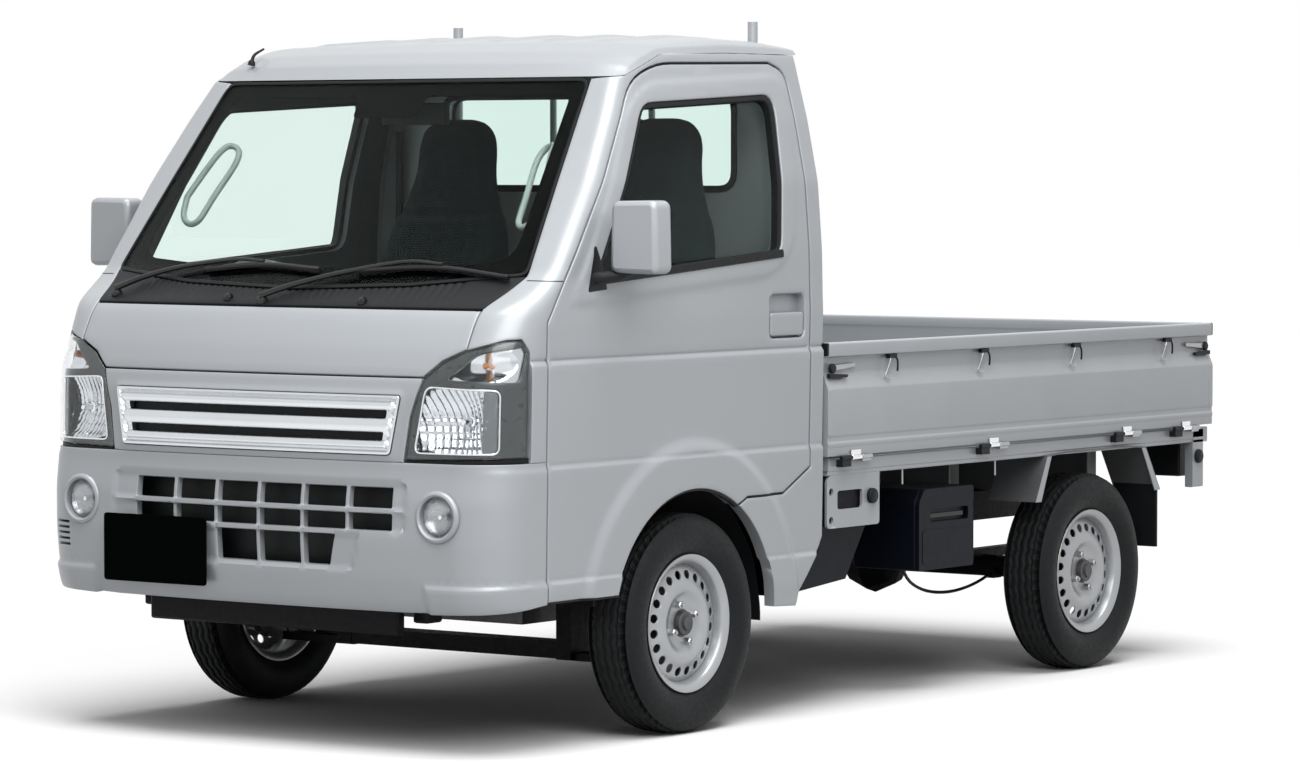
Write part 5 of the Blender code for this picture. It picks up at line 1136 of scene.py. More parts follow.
def intake_holes():
    """The openings of the intake, row by row; the last one of the lowest row is shorter and slants."""
    holes = []
    for foot, top, first, last in INTAKE_ROWS:
        for column in range(first, last + 1):
            left = INTAKE_LEFT + column * INTAKE_PITCH
            right = left + INTAKE_PITCH - INTAKE_BAR
            slope = 0.018 if (foot, column) == (INTAKE_ROWS[2][0], last) else 0
            ends = (right - 0.03 - slope, right - 0.03) if slope else (right, right)
            loop = [(left, foot), (ends[0], foot), (ends[1], top), (left, top)]
            holes.append(rounded(loop, 0.0035, 3))
    return holes


def bumper_outline():
    """Loop of the bumper from corner to corner."""
    end = on_side([(BUMPER_END_Y, BUMPER_END_FOOT_Z), (BUMPER_END_Y, BUMPER_TOP_Z)], False, 0.02)
    right = np.concatenate([BUMPER_FOOT, end])
    return np.concatenate([right, right[::-1] * [-1, 1]])


louvres = [rounded(oblong(LOUVRE_SPAN, (foot, foot + LOUVRE_HEIGHT)), 0.0025, 3) for foot in LOUVRE_LOWS]
fog_holes = [arc(side * FOG_X, FOG_Z, FOG_RADIUS, 0, 350, 36) for side in (-1, 1)]
skirt_rings = [np.stack([side * np.linspace(SKIRT_START, 0.78, 40), np.full(40, height)], 1)
               for side in (-1, 1) for height in np.linspace(SKIRT_TOP_Z - 0.012, SKIRT_TOP_Z, 4)]
bumper = panel(bumper_outline(), [*intake_holes(), *louvres, *fog_holes], 0.018, 0.002, 0.009, bumper_relief,
               [grown(FIELD_OUTLINE, -share * FIELD_RUN) for share in (0.05, 0.5, 1)] + skirt_rings)
add_piece("bumper_skin", bumper, silver, "truck", "bumper", replaces=("bumper",))
behind = panel(oblong((-0.46, 0.46), (0.42, 0.66)), (), 0.003, 0.001, 0.04, set_back=0.060)
add_piece("intake_backing", behind, seal_rubber, "truck", "cowl")
for name, side in SIDES:
    dark = panel(oblong((side * 0.60, side * 0.69), (0.44, 0.53)), (), 0.003, 0.001, 0.03, set_back=0.030)
    add_piece(f"louvre_backing_{name}", dark, seal_rubber, "truck", "cowl")
RADIATOR_BOXES = [((-0.440, 0.345), (-1.545, -1.515), (0.272, 0.410)),
                  ((0.355, 0.400), (-1.500, -1.440), (0.300, 0.410)),
                  ((-0.500, -0.450), (-1.500, -1.440), (0.300, 0.410))]
radiator = joined([box(*spans) for spans in RADIATOR_BOXES])
add_piece("radiator_foot", radiator, chassis_black, "truck", "frame", bevel=0.006)
print("bumper has", face_count(bumper), "faces")

# %% [markdown]
# A fog lamp is four turned pieces on one axis: a bezel, a bright bowl, a small bulb
# and a domed glass. The axis is the skin's own normal, turned towards the front.

# %% Fog lamps and plate
BEZEL = [(0.062, -0.002), (0.0615, 0.003), (0.058, 0.007), (0.053, 0.008), (0.0485, 0.004), (0.0475, -0.016),
         (0.0495, -0.018), (0.052, -0.004)]
BOWL = [(0.0475, -0.012), (0.043, -0.020), (0.032, -0.030), (0.018, -0.036), (0.0, -0.038), (0.0, -0.041),
        (0.020, -0.039), (0.034, -0.033), (0.046, -0.022), (0.0495, -0.013)]
DOME = [(0.0472, -0.010), (0.040, -0.004), (0.028, 0.0), (0.014, 0.002), (0.0, 0.0026), (0.0, 0.0001),
        (0.014, -0.0005), (0.028, -0.0025), (0.040, -0.0065), (0.0472, -0.0125)]
BULB = [(0.0, -0.010), (0.005, -0.011), (0.007, -0.015), (0.007, -0.030), (0.0, -0.037)]
LAMP_REACH = 0.004


def lamp_axis(s, z, forward=0.6):
    """Place on the skin and a direction between its normal and straight ahead."""
    outward = outward_at(s, z, LAMP_REACH, LAMP_REACH) * (1 - forward) + np.array([0, -1, 0]) * forward
    return skin(s, z), outward / np.linalg.norm(outward)


place, ahead = lamp_axis(FOG_X, FOG_Z)
both("fog_bezel", lathe(BEZEL, place, ahead, 64), silver, "truck", "bumper")
both("fog_bowl", lathe(BOWL, place, ahead, 64), bright_steel, "truck", "headlamp")
both("fog_dome", lathe(DOME, place, ahead, 64), lamp_glass, "truck", "headlamp")
both("fog_bulb", lathe(BULB, place, ahead, 24), chrome, "truck", "headlamp")
PLATE_X, PLATE_Z, PLATE_WALL = (-0.4545, -0.1245), (0.3775, 0.5425), 0.0045
plate = prism(rounded(oblong(PLATE_X, PLATE_Z), 0.010), 1, FRONT_LIMIT_Y, FRONT_LIMIT_Y + PLATE_WALL)
add_piece("plate_blank", plate, screen_black, "truck", "front_plate", bevel=0.0010, replaces=("front_plate",))
print("fog lamps face", np.round(ahead, 2))

# %% [markdown]
# A headlamp is a clear cover over a deep bright bowl. The bowl is the skin pushed in by
# a paraboloid, depth = d*(1 - r^2), with fine upright flutes; a dark surround with two
# windows lies between it and the cover, and the outer end stays dark.

# %% Headlamps
MAIN_CENTRE, MAIN_AXES, MAIN_DEEP = (0.600, 0.793), (0.118, 0.090), 0.046
TURN_CENTRE, TURN_AXES, TURN_DEEP = (0.650, 0.926), (0.090, 0.040), 0.026
MAIN_WINDOW = [(0.480, 0.716), (0.704, 0.716), (0.704, 0.868), (0.508, 0.876)]
TURN_WINDOW = [(0.560, 0.892), (0.752, 0.884), (0.752, 0.968), (0.636, 0.954)]
PANE_WINDOW = [(0.663, 0.719), (0.7005, 0.719), (0.7005, 0.864), (0.663, 0.866)]
FLUTE_PITCH, FLUTE_DEEP = 0.017, 0.0042
STEP_PITCH, STEP_DEEP = 0.022, 0.0030


def bowl_depth(s, z):
    """Depth of the bright bowls under the skin."""
    depth = np.full(np.shape(s), 0.016)
    for centre, axes, deep in ((MAIN_CENTRE, MAIN_AXES, MAIN_DEEP), (TURN_CENTRE, TURN_AXES, TURN_DEEP)):
        reach = ((np.abs(s) - centre[0]) / axes[0]) ** 2 + ((z - centre[1]) / axes[1]) ** 2
        depth = depth + deep * np.clip(1 - reach, 0, 1)
    upright = FLUTE_DEEP * np.abs(np.sin((s + 0.25 * z) * math.pi / FLUTE_PITCH)) * (z < 0.88)
    level = STEP_DEEP * np.abs(np.sin(z * math.pi / STEP_PITCH)) * (z < 0.80)
    return depth + upright + level


lamp_outline = np.concatenate([on_side(LAMP_OUTER, False), LAMP_TOP])
cover = panel(grown(lamp_outline, -0.0012), (), 0.0030, 0.0028, 0.012, side_relief)
both("lamp_cover", cover, lamp_glass, "truck", "headlamp", ("headlamp_left", "headlamp_right"))
housing = panel(grown(lamp_outline, -0.005), (), 0.002, 0.001, 0.0032, set_back=bowl_depth)
both("lamp_bowl", housing, satin_chrome, "truck", "headlamp")
main_window, turn_window = rounded(MAIN_WINDOW, 0.020), rounded(TURN_WINDOW, 0.016)
surround = panel(grown(lamp_outline, -0.003), [main_window, turn_window], 0.008, 0.003, 0.009,
                 set_back=0.0062)
both("lamp_surround", surround, lamp_grey, "truck", "headlamp")
main_rim = ring_panel(main_window, 0.004, 0.004, 0.0045, 0.001, 0.008)
both("lamp_rim", main_rim, chrome, "truck", "headlamp")
pane = panel(rounded(PANE_WINDOW, 0.006), (), 0.003, 0.001, 0.012, set_back=0.0115)
both("lamp_side_pane", pane, lamp_pane, "truck", "headlamp")
foot_end = on_side([(-1.5135, 0.6955), (-1.5135, 0.7068)], False)
foot_line = np.concatenate([[(0.457, 0.6955)], foot_end, [(0.457, 0.6988)]])
under = panel(foot_line, (), 0.010, 0.001, 0.010, set_back=0.003)
both("lamp_foot", under, seal_rubber, "truck", "headlamp")
STEM = [(0.0, 0.010), (0.006, 0.009), (0.009, 0.004), (0.009, -0.018), (0.013, -0.020), (0.013, -0.032),
        (0.0, -0.034)]
BULBS = [("main", MAIN_CENTRE, MAIN_DEEP, chrome), ("turn", TURN_CENTRE, TURN_DEEP, amber)]
for label, centre, deep, finish in BULBS:
    place, ahead = lamp_axis(*centre, 0.5)
    seat = place - ahead * (0.010 + deep * 0.62)
    both(f"{label}_bulb", lathe(STEM, seat, ahead, 28), finish, "truck", "headlamp")
print("headlamp bowl is", MAIN_DEEP, "m deep")

# %% [markdown]
# Wheels: the disc is a flat ring of triangles with twenty vents left out, pushed out to
# a profile that depends only on the radius. The rim is turned. The tyre is a grid over
# angle and section, and its tread is a height taken off the crown: long zigzag grooves
# and short slots at the shoulders.

# %% Wheels
TYRE_RADIUS = 0.270
WHEEL_PLACES = {"front": (0.6525, -0.8605), "rear": (0.650, 1.0445)}
DISC_RADII = [0.028, 0.036, 0.060, 0.068, 0.080, 0.090, 0.100, 0.112, 0.128, 0.138, 0.1455]
DISC_HEIGHTS = [0.0335, 0.0325, 0.0335, 0.0375, 0.0460, 0.0480, 0.0450, 0.0385, 0.0345, 0.0305, 0.0250]
DISC_WALL, DISC_ROLL, VENT_COUNT, VENT_RING, VENT_RADIUS = 0.0032, 0.0012, 20, 0.1200, 0.0112
RIM_SECTION = [(0.1695, 0.0572), (0.1705, 0.0555), (0.1700, 0.0535), (0.1655, 0.0522), (0.1550, 0.0475),
               (0.1524, 0.0420), (0.1500, 0.0330), (0.1470, 0.0270), (0.1470, -0.0200), (0.1500, -0.0380),
               (0.1524, -0.0450), (0.1655, -0.0522), (0.1700, -0.0555), (0.1690, -0.0575), (0.1630, -0.0570),
               (0.1500, -0.0480), (0.1470, -0.0400), (0.1445, -0.0200), (0.1445, 0.0280), (0.1478, 0.0350),
               (0.1495, 0.0440), (0.1530, 0.0495), (0.1640, 0.0565)]
CAP_SECTION = [(0.0, 0.0560), (0.0150, 0.0560), (0.0175, 0.0545), (0.0180, 0.0490), (0.0270, 0.0480),
               (0.0295, 0.0460), (0.0300, 0.0345), (0.0345, 0.0340), (0.0345, 0.0310), (0.0, 0.0310)]
STUD_RING, STUD_COUNT = 0.050, 4
NUT_SECTION = [(0.0, 0.016), (0.0075, 0.015), (0.0098, 0.012), (0.0098, -0.001), (0.0, -0.001)]
STUD_SECTION = [(0.0, 0.020), (0.0042, 0.019), (0.0052, 0.016), (0.0052, 0.0), (0.0, 0.0)]


def circle(y, z, radius, count):
    """Evenly spread points on a whole circle."""
    return arc(y, z, radius, 0, 360, count + 1)[:-1]


def disc_shape():
    """The wheel disc: y and z from the flat ring, x from the profile at that radius."""
    holes = [circle(0, 0, DISC_RADII[0], 40)]
    for turn in 2 * math.pi * (np.arange(VENT_COUNT) + 0.5) / VENT_COUNT:
        holes.append(circle(VENT_RING * math.cos(turn), VENT_RING * math.sin(turn), VENT_RADIUS, 14))
    rings = [circle(0, 0, radius, 96) for radius in np.linspace(0.034, 0.106, 13)]
    flat, triangles, edge = cut_out(circle(0, 0, DISC_RADII[-1], 120), holes, 0.006, DISC_ROLL, rings)
    fine = np.linspace(DISC_RADII[0], DISC_RADII[-1], 200)
    heights = np.pad(np.interp(fine, DISC_RADII, DISC_HEIGHTS), 7, "edge")
    line = np.convolve(heights, np.ones(15) / 15, "valid")
    height = np.interp(np.linalg.norm(flat, axis=1), fine, line)
    roll = DISC_ROLL - np.minimum(edge, DISC_ROLL)
    outer = np.stack([height - roll * 0.7, flat[:, 0], flat[:, 1]], 1)
    return two_faced(outer, outer - [DISC_WALL, 0, 0], triangles)


def nut_shape():
    """Four wheel nuts: six-sided prisms with a domed stud end."""
    nuts = []
    for turn in 2 * math.pi * np.arange(STUD_COUNT) / STUD_COUNT + 0.4:
        spot = (0.034, STUD_RING * math.cos(turn), STUD_RING * math.sin(turn))
        nuts += [lathe(NUT_SECTION, spot, (1, 0, 0), 6), lathe(STUD_SECTION, spot, (1, 0, 0), 16)]
    return joined(nuts)


disc, rim_ring = disc_shape(), lathe(RIM_SECTION, (0, 0, 0), (1, 0, 0), 96)
cap, nuts = lathe(CAP_SECTION, (0, 0, 0), (1, 0, 0), 48), nut_shape()
print("wheel disc has", face_count(disc), "faces and", VENT_COUNT, "vents")

# %% Tyres
TYRE_SECTION = [(0.1532, -0.0440), (0.1712, -0.0510), (0.192, -0.0660), (0.216, -0.0733), (0.244, -0.0690),
                (0.2605, -0.0585), (0.2690, -0.0420), (0.2700, -0.020), (0.2700, 0.020), (0.2690, 0.0420),
                (0.2605, 0.0585), (0.244, 0.0690), (0.216, 0.0733), (0.192, 0.0660), (0.1712, 0.0510),
                (0.1532, 0.0440)]
TREAD_HALF, GROOVE_DEEP, GROOVE_HALF = 0.052, 0.0055, 0.0028
GROOVE_PLACES, ZIGZAG, ZIGZAG_COUNT = (-0.031, -0.0105, 0.0105, 0.031), 0.0024, 40
SLOT_COUNT, SLOT_DEEP = 60, 0.0045
SHOULDER_X, TREAD_END_X, TREAD_FOOT_RADIUS, WALL_TOP_RADIUS = 0.037, 0.056, 0.255, 0.2585
RIDGE_PROUD, RIDGE_WIDTH, RIDGE_RADII = 0.0012, 0.0016, (0.232, 0.183)
ANGLE_STEPS = 360


def tyre_shape():
    """Tyre wall and tread: radius(section) less grooves that depend on angle and width."""
    section = smooth_path([(x, r, 0) for r, x in TYRE_SECTION], 44)
    across = section[:, 0]
    dense = np.sort(np.concatenate([across[np.abs(across) > TREAD_HALF], np.linspace(-0.050, 0.050, 33)]))
    order = np.argsort(across)
    upper = section[:, 1]
    wall = section[upper < WALL_TOP_RADIUS]
    left, right = wall[wall[:, 0] < 0], wall[wall[:, 0] > 0]
    middle = dense[np.abs(dense) <= 0.0555]
    x = np.concatenate([left[:, 0], middle, right[:, 0]])
    r = np.concatenate([left[:, 1], np.interp(middle, across[order], upper[order]), right[:, 1]])
    turn = np.linspace(0, 2 * math.pi, ANGLE_STEPS, endpoint=False)[:, None]
    wave = ZIGZAG * np.sin(turn * ZIGZAG_COUNT)
    cut = np.zeros((ANGLE_STEPS, len(x)))
    for place in GROOVE_PLACES:
        cut = np.maximum(cut, GROOVE_DEEP * ease(1.6 - np.abs(x[None] - place - wave) / GROOVE_HALF))
    slots = ease(np.cos(turn * SLOT_COUNT) * 3 - 1.6) * ease((np.abs(x[None]) - SHOULDER_X) / 0.004)
    cut = np.maximum(cut, SLOT_DEEP * slots * ease((TREAD_END_X - np.abs(x[None])) / 0.004))
    cut = cut * (r[None] > TREAD_FOOT_RADIUS)
    ridge = RIDGE_PROUD * sum(np.exp(-((r - place) / RIDGE_WIDTH) ** 2) for place in RIDGE_RADII)
    radius = r[None] - cut
    width = (x + np.sign(x) * ridge)[None] + 0 * turn
    points = np.stack([width, radius * np.cos(turn), radius * np.sin(turn)], -1).reshape(-1, 3)
    return points, [grid_faces(ANGLE_STEPS, len(x), True, True)]


tyre = tyre_shape()
WHEEL_SOURCE = [("disc", disc, wheel_silver, 35), ("rim", rim_ring, wheel_silver, 40),
                ("cap", cap, cast_metal, 30), ("nuts", nuts, bright_steel, 30), ("tyre", tyre, rubber, 50)]
for end, (wheel_x, axle_y) in WHEEL_PLACES.items():
    for side, sign in SIDES:
        body = f"wheel_{end}_{side}"
        for part, (points, faces), finish, sharp in WHEEL_SOURCE:
            shape = (points + [wheel_x, axle_y, TYRE_RADIUS], faces)
            shape = shape if sign > 0 else flipped(shape)
            nodes = {"disc": (body,), "tyre": (f"tyre_{end}_{side}",)}.get(part, ())
            add_piece(f"{part}_{end}_{side}", shape, finish, body, "tyre" if part == "tyre" else "wheel",
                      smooth_deg=sharp, replaces=nodes)
print("one tyre has", len(tyre[1][0]), "faces")

# %% [markdown]
# The mirrors are soft boxes: every edge is rounded by a bevel. The glass faces the
# rear, and a black arm and foot carry the shell at the corner of the door's window.

# %% Mirrors
MIRROR_Y = (-1.262, -1.192)
MIRROR_OUTLINE = [(0.762, 1.136), (0.900, 1.133), (0.896, 1.308), (0.766, 1.306)]
mirror_shell = prism(rounded(MIRROR_OUTLINE, 0.022, 6), 1, *MIRROR_Y)
both("mirror_shell", mirror_shell, silver, DOORS, "mirror", ("mirror_left", "mirror_right"), bevel=0.012,
     smooth_deg=60)
glass_edge = rounded(grown(MIRROR_OUTLINE, -0.012), 0.014, 6)
mirror_glass = prism(glass_edge, 1, MIRROR_Y[1] - 0.002, MIRROR_Y[1] + 0.0012)
both("mirror_glass", mirror_glass, chrome, DOORS, "mirror", bevel=0.0006)
MIRROR_ARM = [(0.726, -1.272, 1.122), (0.745, -1.266, 1.124), (0.775, -1.240, 1.130), (0.815, -1.228, 1.146)]
both("mirror_arm", tube(smooth_path(MIRROR_ARM, 20), np.linspace(0.017, 0.012, 20), 14), black_plastic, DOORS,
     "mirror")
FOOT_OUTLINE = [(-1.305, 1.088), (-1.222, 1.094), (-1.240, 1.150), (-1.262, 1.200), (-1.272, 1.198)]
foot_pad = panel(on_side(rounded(FOOT_OUTLINE, 0.008)), (), 0.014, 0.004, 0.010, lifted(0.007))
both("mirror_foot", foot_pad, black_plastic, DOORS, "mirror")
print("mirror shell is", np.round(np.ptp(mirror_shell[0], axis=0), 3))

# %% [markdown]
# The load bed is pressed sheet. Its floor has long ribs, so its section is a zigzag
# that is pushed along the bed, and the rails are short outlines pushed the same way.
# A flat plate with windows, such as the bracket behind the cab, is cut from triangles.

# %% Bed floor, sills, rails and brackets
BED_FRONT_Y, BED_REAR_Y, POST_END_Y, BED_HALF = -0.262, 1.655, 1.660, 0.697
FLOOR_TOP, FLOOR_LOW = 0.650, 0.628
RIB_PITCH, RIB_DROP, RIB_SLOPE, LAND_SHARE, RIB_INSET = 0.105, 0.005, 0.008, 0.62, 0.040
SILLS = [(-0.200, 0.690), (0.300, 0.490), (0.690, 0.490), (1.0445, 0.490), (1.420, 0.490)]


def bed_floor():
    """Top line with flat lands and shallow grooves between them, closed by a flat underside."""
    land = RIB_PITCH * LAND_SHARE
    top = []
    for edge in np.arange(-BED_HALF + RIB_INSET, BED_HALF - RIB_INSET, RIB_PITCH):
        top += [(edge, FLOOR_TOP), (edge + land, FLOOR_TOP), (edge + land + RIB_SLOPE, FLOOR_TOP - RIB_DROP),
                (edge + RIB_PITCH - RIB_SLOPE, FLOOR_TOP - RIB_DROP)]
    top = [(x, z) for x, z in top if x < BED_HALF - 0.02]
    outline = [(-BED_HALF, FLOOR_TOP), *top, (BED_HALF, FLOOR_TOP), (BED_HALF, FLOOR_LOW)]
    outline.append((-BED_HALF, FLOOR_LOW))
    return prism(outline, 1, BED_FRONT_Y, BED_REAR_Y)


def cut_plate(outline, holes, axis, low_value, high_value, step=0.03):
    """A flat plate with holes: one set of triangles at each end of its thickness, joined round all edges."""
    flat, triangles = cut_out(outline, holes, step, 0.0012)[:2]
    ends = [np.insert(flat, axis, value, axis=1) for value in (low_value, high_value)]
    return two_faced(ends[1], ends[0], triangles)


def lip_rail(x_low, x_high, z_low, z_high, y_low, y_high, radius=0.006):
    """A rail with rounded long edges."""
    return prism(rounded(oblong((x_low, x_high), (z_low, z_high)), radius, 4), 1, y_low, y_high)


floor_shape = bed_floor()
add_piece("bed_floor", floor_shape, bed_floor_paint, "truck", "bed", flat=True, replaces=("bed",))
sills = joined([box((-half, half), (y - 0.025, y + 0.025), (0.482, 0.628)) for y, half in SILLS])
# The sills under the bed take the darker silver as painted shade.
add_piece("bed_sills", sills, shaded_silver, "truck", "bed", bevel=0.004)
rails = joined([lip_rail(0.685, 0.715, 0.609, 0.643, BED_FRONT_Y, POST_END_Y),
                lip_rail(0.689, 0.713, 0.600, 0.612, BED_FRONT_Y, POST_END_Y, 0.003)])
both("bed_side_rail", rails, bed_silver, "truck", "bed")
end_outline = rounded(oblong((1.602, 1.683), (0.600, 0.643)), 0.005)
add_piece("bed_end_rail", prism(end_outline, 0, -0.715, 0.715), bed_silver, "truck", "bed")
both("bed_post", lip_rail(0.690, 0.715, 0.472, 0.611, 1.600, POST_END_Y, 0.004), bed_silver, "truck", "bed")
BRACKET = [(-0.262, 0.465), (-0.020, 0.465), (-0.020, 0.611), (-0.232, 0.611), (-0.262, 0.590)]
BRACKET_WINDOW = oblong((-0.215, -0.100), (0.512, 0.560))
hole_rings = [circle(-0.243, z, 0.010, 16) for z in (0.485, 0.558)]
bracket = cut_plate(rounded(BRACKET, 0.012), [rounded(BRACKET_WINDOW, 0.010), *hole_rings], 0, 0.7045, 0.712)
both("bed_bracket", bracket, bed_silver, "truck", "bed", bevel=0.0012)
# A black box behind the bracket is painted shadow, seen through the bracket's window and holes.
bracket_shadow_box = box((0.690, 0.7005), (-0.258, -0.024), (0.469, 0.609))
both("bed_bracket_shadow", bracket_shadow_box, chassis_black, "truck", "bed", bevel=0.002)
print("bed floor has", len(floor_shape[0]), "points, side rail", len(rails[0]))

# %% Stops, tail lamps and hinges of the bed
def domed(radius, height, centre, direction, steps=28):
    """A short round button with a rounded shoulder."""
    profile = [(0, 0), (radius, 0), (radius, height * 0.6), (radius * 0.93, height * 0.86),
               (radius * 0.78, height), (0, height)]
    return lathe(profile, centre, direction, steps)


stops = joined([domed(0.020, 0.014, (0.711, y, z), (1, 0, 0)) for y, z in ((-0.060, 0.540), (1.630, 0.560))])
both("rubber_stop", stops, seal_rubber, "truck", "bed")
lamp_body = box((0.500, 0.660), (1.620, 1.676), (0.500, 0.606))
both("tail_lamp_body", lamp_body, black_plastic, "truck", "bed", bevel=0.005)
LAMP_PANES = [("tail_lamp_red", red_lens, (0.566, 0.654)), ("tail_lamp_amber", amber, (0.535, 0.563)),
              ("tail_lamp_clear", lamp_grey, (0.506, 0.532))]
for pane, finish, span in LAMP_PANES:
    lens = box(span, (1.660, 1.684), (0.507, 0.599))
    both(pane, lens, finish, "truck", "bed", bevel=0.004, segments=3)
HINGE_PLACES = [-0.157, 0.508, 1.208, 1.536]
AXIS_X, AXIS_Z, AXIS_Y = 0.7315, 0.645, 1.6915
KNUCKLE, KNUCKLE_LENGTH = 0.0060, 0.044


def barrel(centre, direction, radius=KNUCKLE):
    """A hinge knuckle: a short bar with broken edges."""
    half = KNUCKLE_LENGTH / 2
    profile = [(0, -half), (radius * 0.8, -half), (radius, -half + 0.001), (radius, half - 0.001),
               (radius * 0.8, half), (0, half)]
    return lathe(profile, centre, direction, 20)


fixed, turning, black_blocks = [], [], []
for y in HINGE_PLACES:
    fixed += [barrel((AXIS_X, y + 0.048, AXIS_Z), (0, 1, 0)), box((0.7145, 0.7325), (y + 0.028, y + 0.068),
                                                                 (0.6330, 0.6405))]
    black_blocks += [barrel((AXIS_X, y - 0.048, AXIS_Z), (0, 1, 0)),
                     box((0.7145, 0.7345), (y - 0.068, y - 0.027), (0.6220, 0.6395))]
    turning += [barrel((AXIS_X, y, AXIS_Z), (0, 1, 0), 0.0064),
                box((0.7283, 0.7315), (y - 0.022, y + 0.022), (0.6505, 0.6640))]
both("gate_hinge_fixed", joined(fixed), bright_steel, "truck", "bed", bevel=0.0008)
both("gate_hinge_block", joined(black_blocks), black_plastic, "truck", "bed", bevel=0.0012)
both("gate_hinge_leaf", joined(turning), polished_steel, ("gate_left", "gate_right"), "gate", bevel=0.0008)
tail_fixed, tail_turning = [], []
for x in (-0.5, 0.0, 0.5):
    for shift in (-0.048, 0.048):
        tail_fixed += [barrel((x + shift, AXIS_Y, AXIS_Z), (1, 0, 0)),
                       box((x + shift - 0.020, x + shift + 0.020), (1.680, 1.6925), (0.6330, 0.6405))]
    tail_turning += [barrel((x, AXIS_Y, AXIS_Z), (1, 0, 0), 0.0064),
                     box((x - 0.022, x + 0.022), (1.6883, 1.6915), (0.6505, 0.6640))]
add_piece("tail_hinge_fixed", joined(tail_fixed), bright_steel, "truck", "bed", bevel=0.0008)
add_piece("tail_hinge_leaf", joined(tail_turning), polished_steel, "gate_tail", "gate_tail", bevel=0.0008)
print(len(HINGE_PLACES), "hinges on each side and 3 on the tail")

# %% [markdown]
# A drop side is one folded sheet: a boxed rail along its top, a recess under it, a
# sloped ledge, the broad flat panel, and a pressed rib over the hinges. All of that is
# one outline, rounded at its folds and pushed along the gate.

# %% Gates
GATE_FACE, GATE_Y = 0.728, (-0.283, 1.690)
GATE_FOLDS = [(0.022, 0.6503), (0.0015, 0.6503), (0.0015, 0.672), (0, 0.6765), (0, 0.684), (0.0022, 0.6875),
              (0.0022, 0.699), (0, 0.7030), (0, 0.821), (0.0175, 0.8620), (0.0180, 0.902), (0.0015, 0.9045),
              (0, 0.9065), (0, 0.9365), (0.0035, 0.940), (0.0215, 0.940), (0.025, 0.9365), (0.025, 0.912),
              (0.022, 0.908), (0.022, 0.720), (0.024, 0.712), (0.024, 0.700), (0.022, 0.692)]
FOLD_RADII = [0.001] * 2 + [0.002] * 3 + [0.0012] * 2 + [0.002] + [0.003] * 2 + [0.002] + [0.001] * 2
FOLD_RADII += [0.002] * 6 + [0.003] + [0.002] * 2 + [0.003]


def gate_shape(face, span, axis):
    """The folded section, measured in from the outer face, pushed along the gate."""
    outline = rounded([(face - inset, z) for inset, z in GATE_FOLDS], FOLD_RADII, 3)
    return prism(outline, axis, *span)


SIDE_GATES = ("gate_left", "gate_right")
both("gate_skin", gate_shape(GATE_FACE, (GATE_Y[0] + 0.0015, GATE_Y[1]), 1), bed_silver, SIDE_GATES, "gate",
     SIDE_GATES, smooth_deg=30)
add_piece("tail_gate_skin", gate_shape(1.688, (-0.694, 0.694), 0), bed_silver, "gate_tail", "gate_tail",
          replaces=("gate_tail",), smooth_deg=30)
STRIP_ENDS = ((-0.2815, -0.262), (1.669, 1.6895))
strip = joined([box((0.7275, 0.7288), ends, (0.704, 0.8185)) for ends in STRIP_ENDS])
both("gate_end_strip", strip, bed_silver, SIDE_GATES, "gate", bevel=0.0006)
CAP_ENDS = ((-0.2830, -0.2760), (1.6830, 1.6900))
end_cap = joined([box((0.7035, 0.7283), ends, (0.9060, 0.9395)) for ends in CAP_ENDS])
both("gate_end_cap", end_cap, black_plastic, SIDE_GATES, "gate", bevel=0.0025)
HOOK_PLACES = [0.026, 0.474, 0.948, 1.445]
blocks_and_shaded_legs, hook_wires = [], []
for y in HOOK_PLACES:
    blocks_and_shaded_legs.append(box((0.7145, 0.7262), (y - 0.020, y + 0.016), (0.892, 0.9035)))
    right_leg = [(0.7225, y + 0.008, 0.898), (0.7270, y + 0.014, 0.888), (0.7272, y + 0.016, 0.872),
                 (0.7262, y + 0.016, 0.858)]
    left_leg = [(0.7225, y - 0.010, 0.898), (0.7268, y - 0.020, 0.884), (0.7266, y - 0.034, 0.860),
                (0.7258, y - 0.040, 0.848), (0.7270, y - 0.028, 0.842), (0.7272, y - 0.018, 0.846)]
    hook_wires.append(tube(smooth_path(left_leg, 22), 0.0020, 8))
    # The right leg of each hook goes with the black blocks as painted shade; the left leg is bright steel.
    blocks_and_shaded_legs.append(tube(smooth_path(right_leg, 12), 0.0028, 8))
both("rope_hook_block", joined(blocks_and_shaded_legs), black_plastic, SIDE_GATES, "gate", bevel=0.0010)
both("rope_hook_wire", joined(hook_wires), bright_steel, SIDE_GATES, "gate")


def latch(y, side):
    """A gate latch: a dark pivot, a pale lever in the recess and a dark foot; side is 1 towards the rear."""
    pivot = domed(0.0125, 0.010, (0.7160, y + side * 0.020, 0.874), (1, 0, 0))
    lever = rounded([(y + side * 0.016, 0.882), (y + side * 0.125, 0.886), (y + side * 0.125, 0.876),
                     (y + side * 0.016, 0.866)], 0.003)
    foot = rounded([(y, 0.862), (y + side * 0.085, 0.857), (y + side * 0.080, 0.850), (y, 0.850)], 0.003)
    return pivot, prism(lever, 0, 0.7150, 0.7205), prism(foot, 0, 0.7165, 0.7268)


front_latch, rear_latch = latch(GATE_Y[0] + 0.012, 1), latch(GATE_Y[1] - 0.012, -1)
both("gate_latch_dark", joined([front_latch[0], front_latch[2], rear_latch[0], rear_latch[2]]), black_plastic,
     SIDE_GATES, "gate", bevel=0.0012)
both("gate_latch_lever", joined([front_latch[1], rear_latch[1]]), bright_steel, SIDE_GATES, "gate",
     bevel=0.0012)
print(len(HOOK_PLACES), "rope hooks and 2 latches on each side gate")

# %% [markdown]
# The guard stands between the cab and the load: a board with a folded top edge, two
# strong posts and two thin ones, and two cross bars over the rear window.

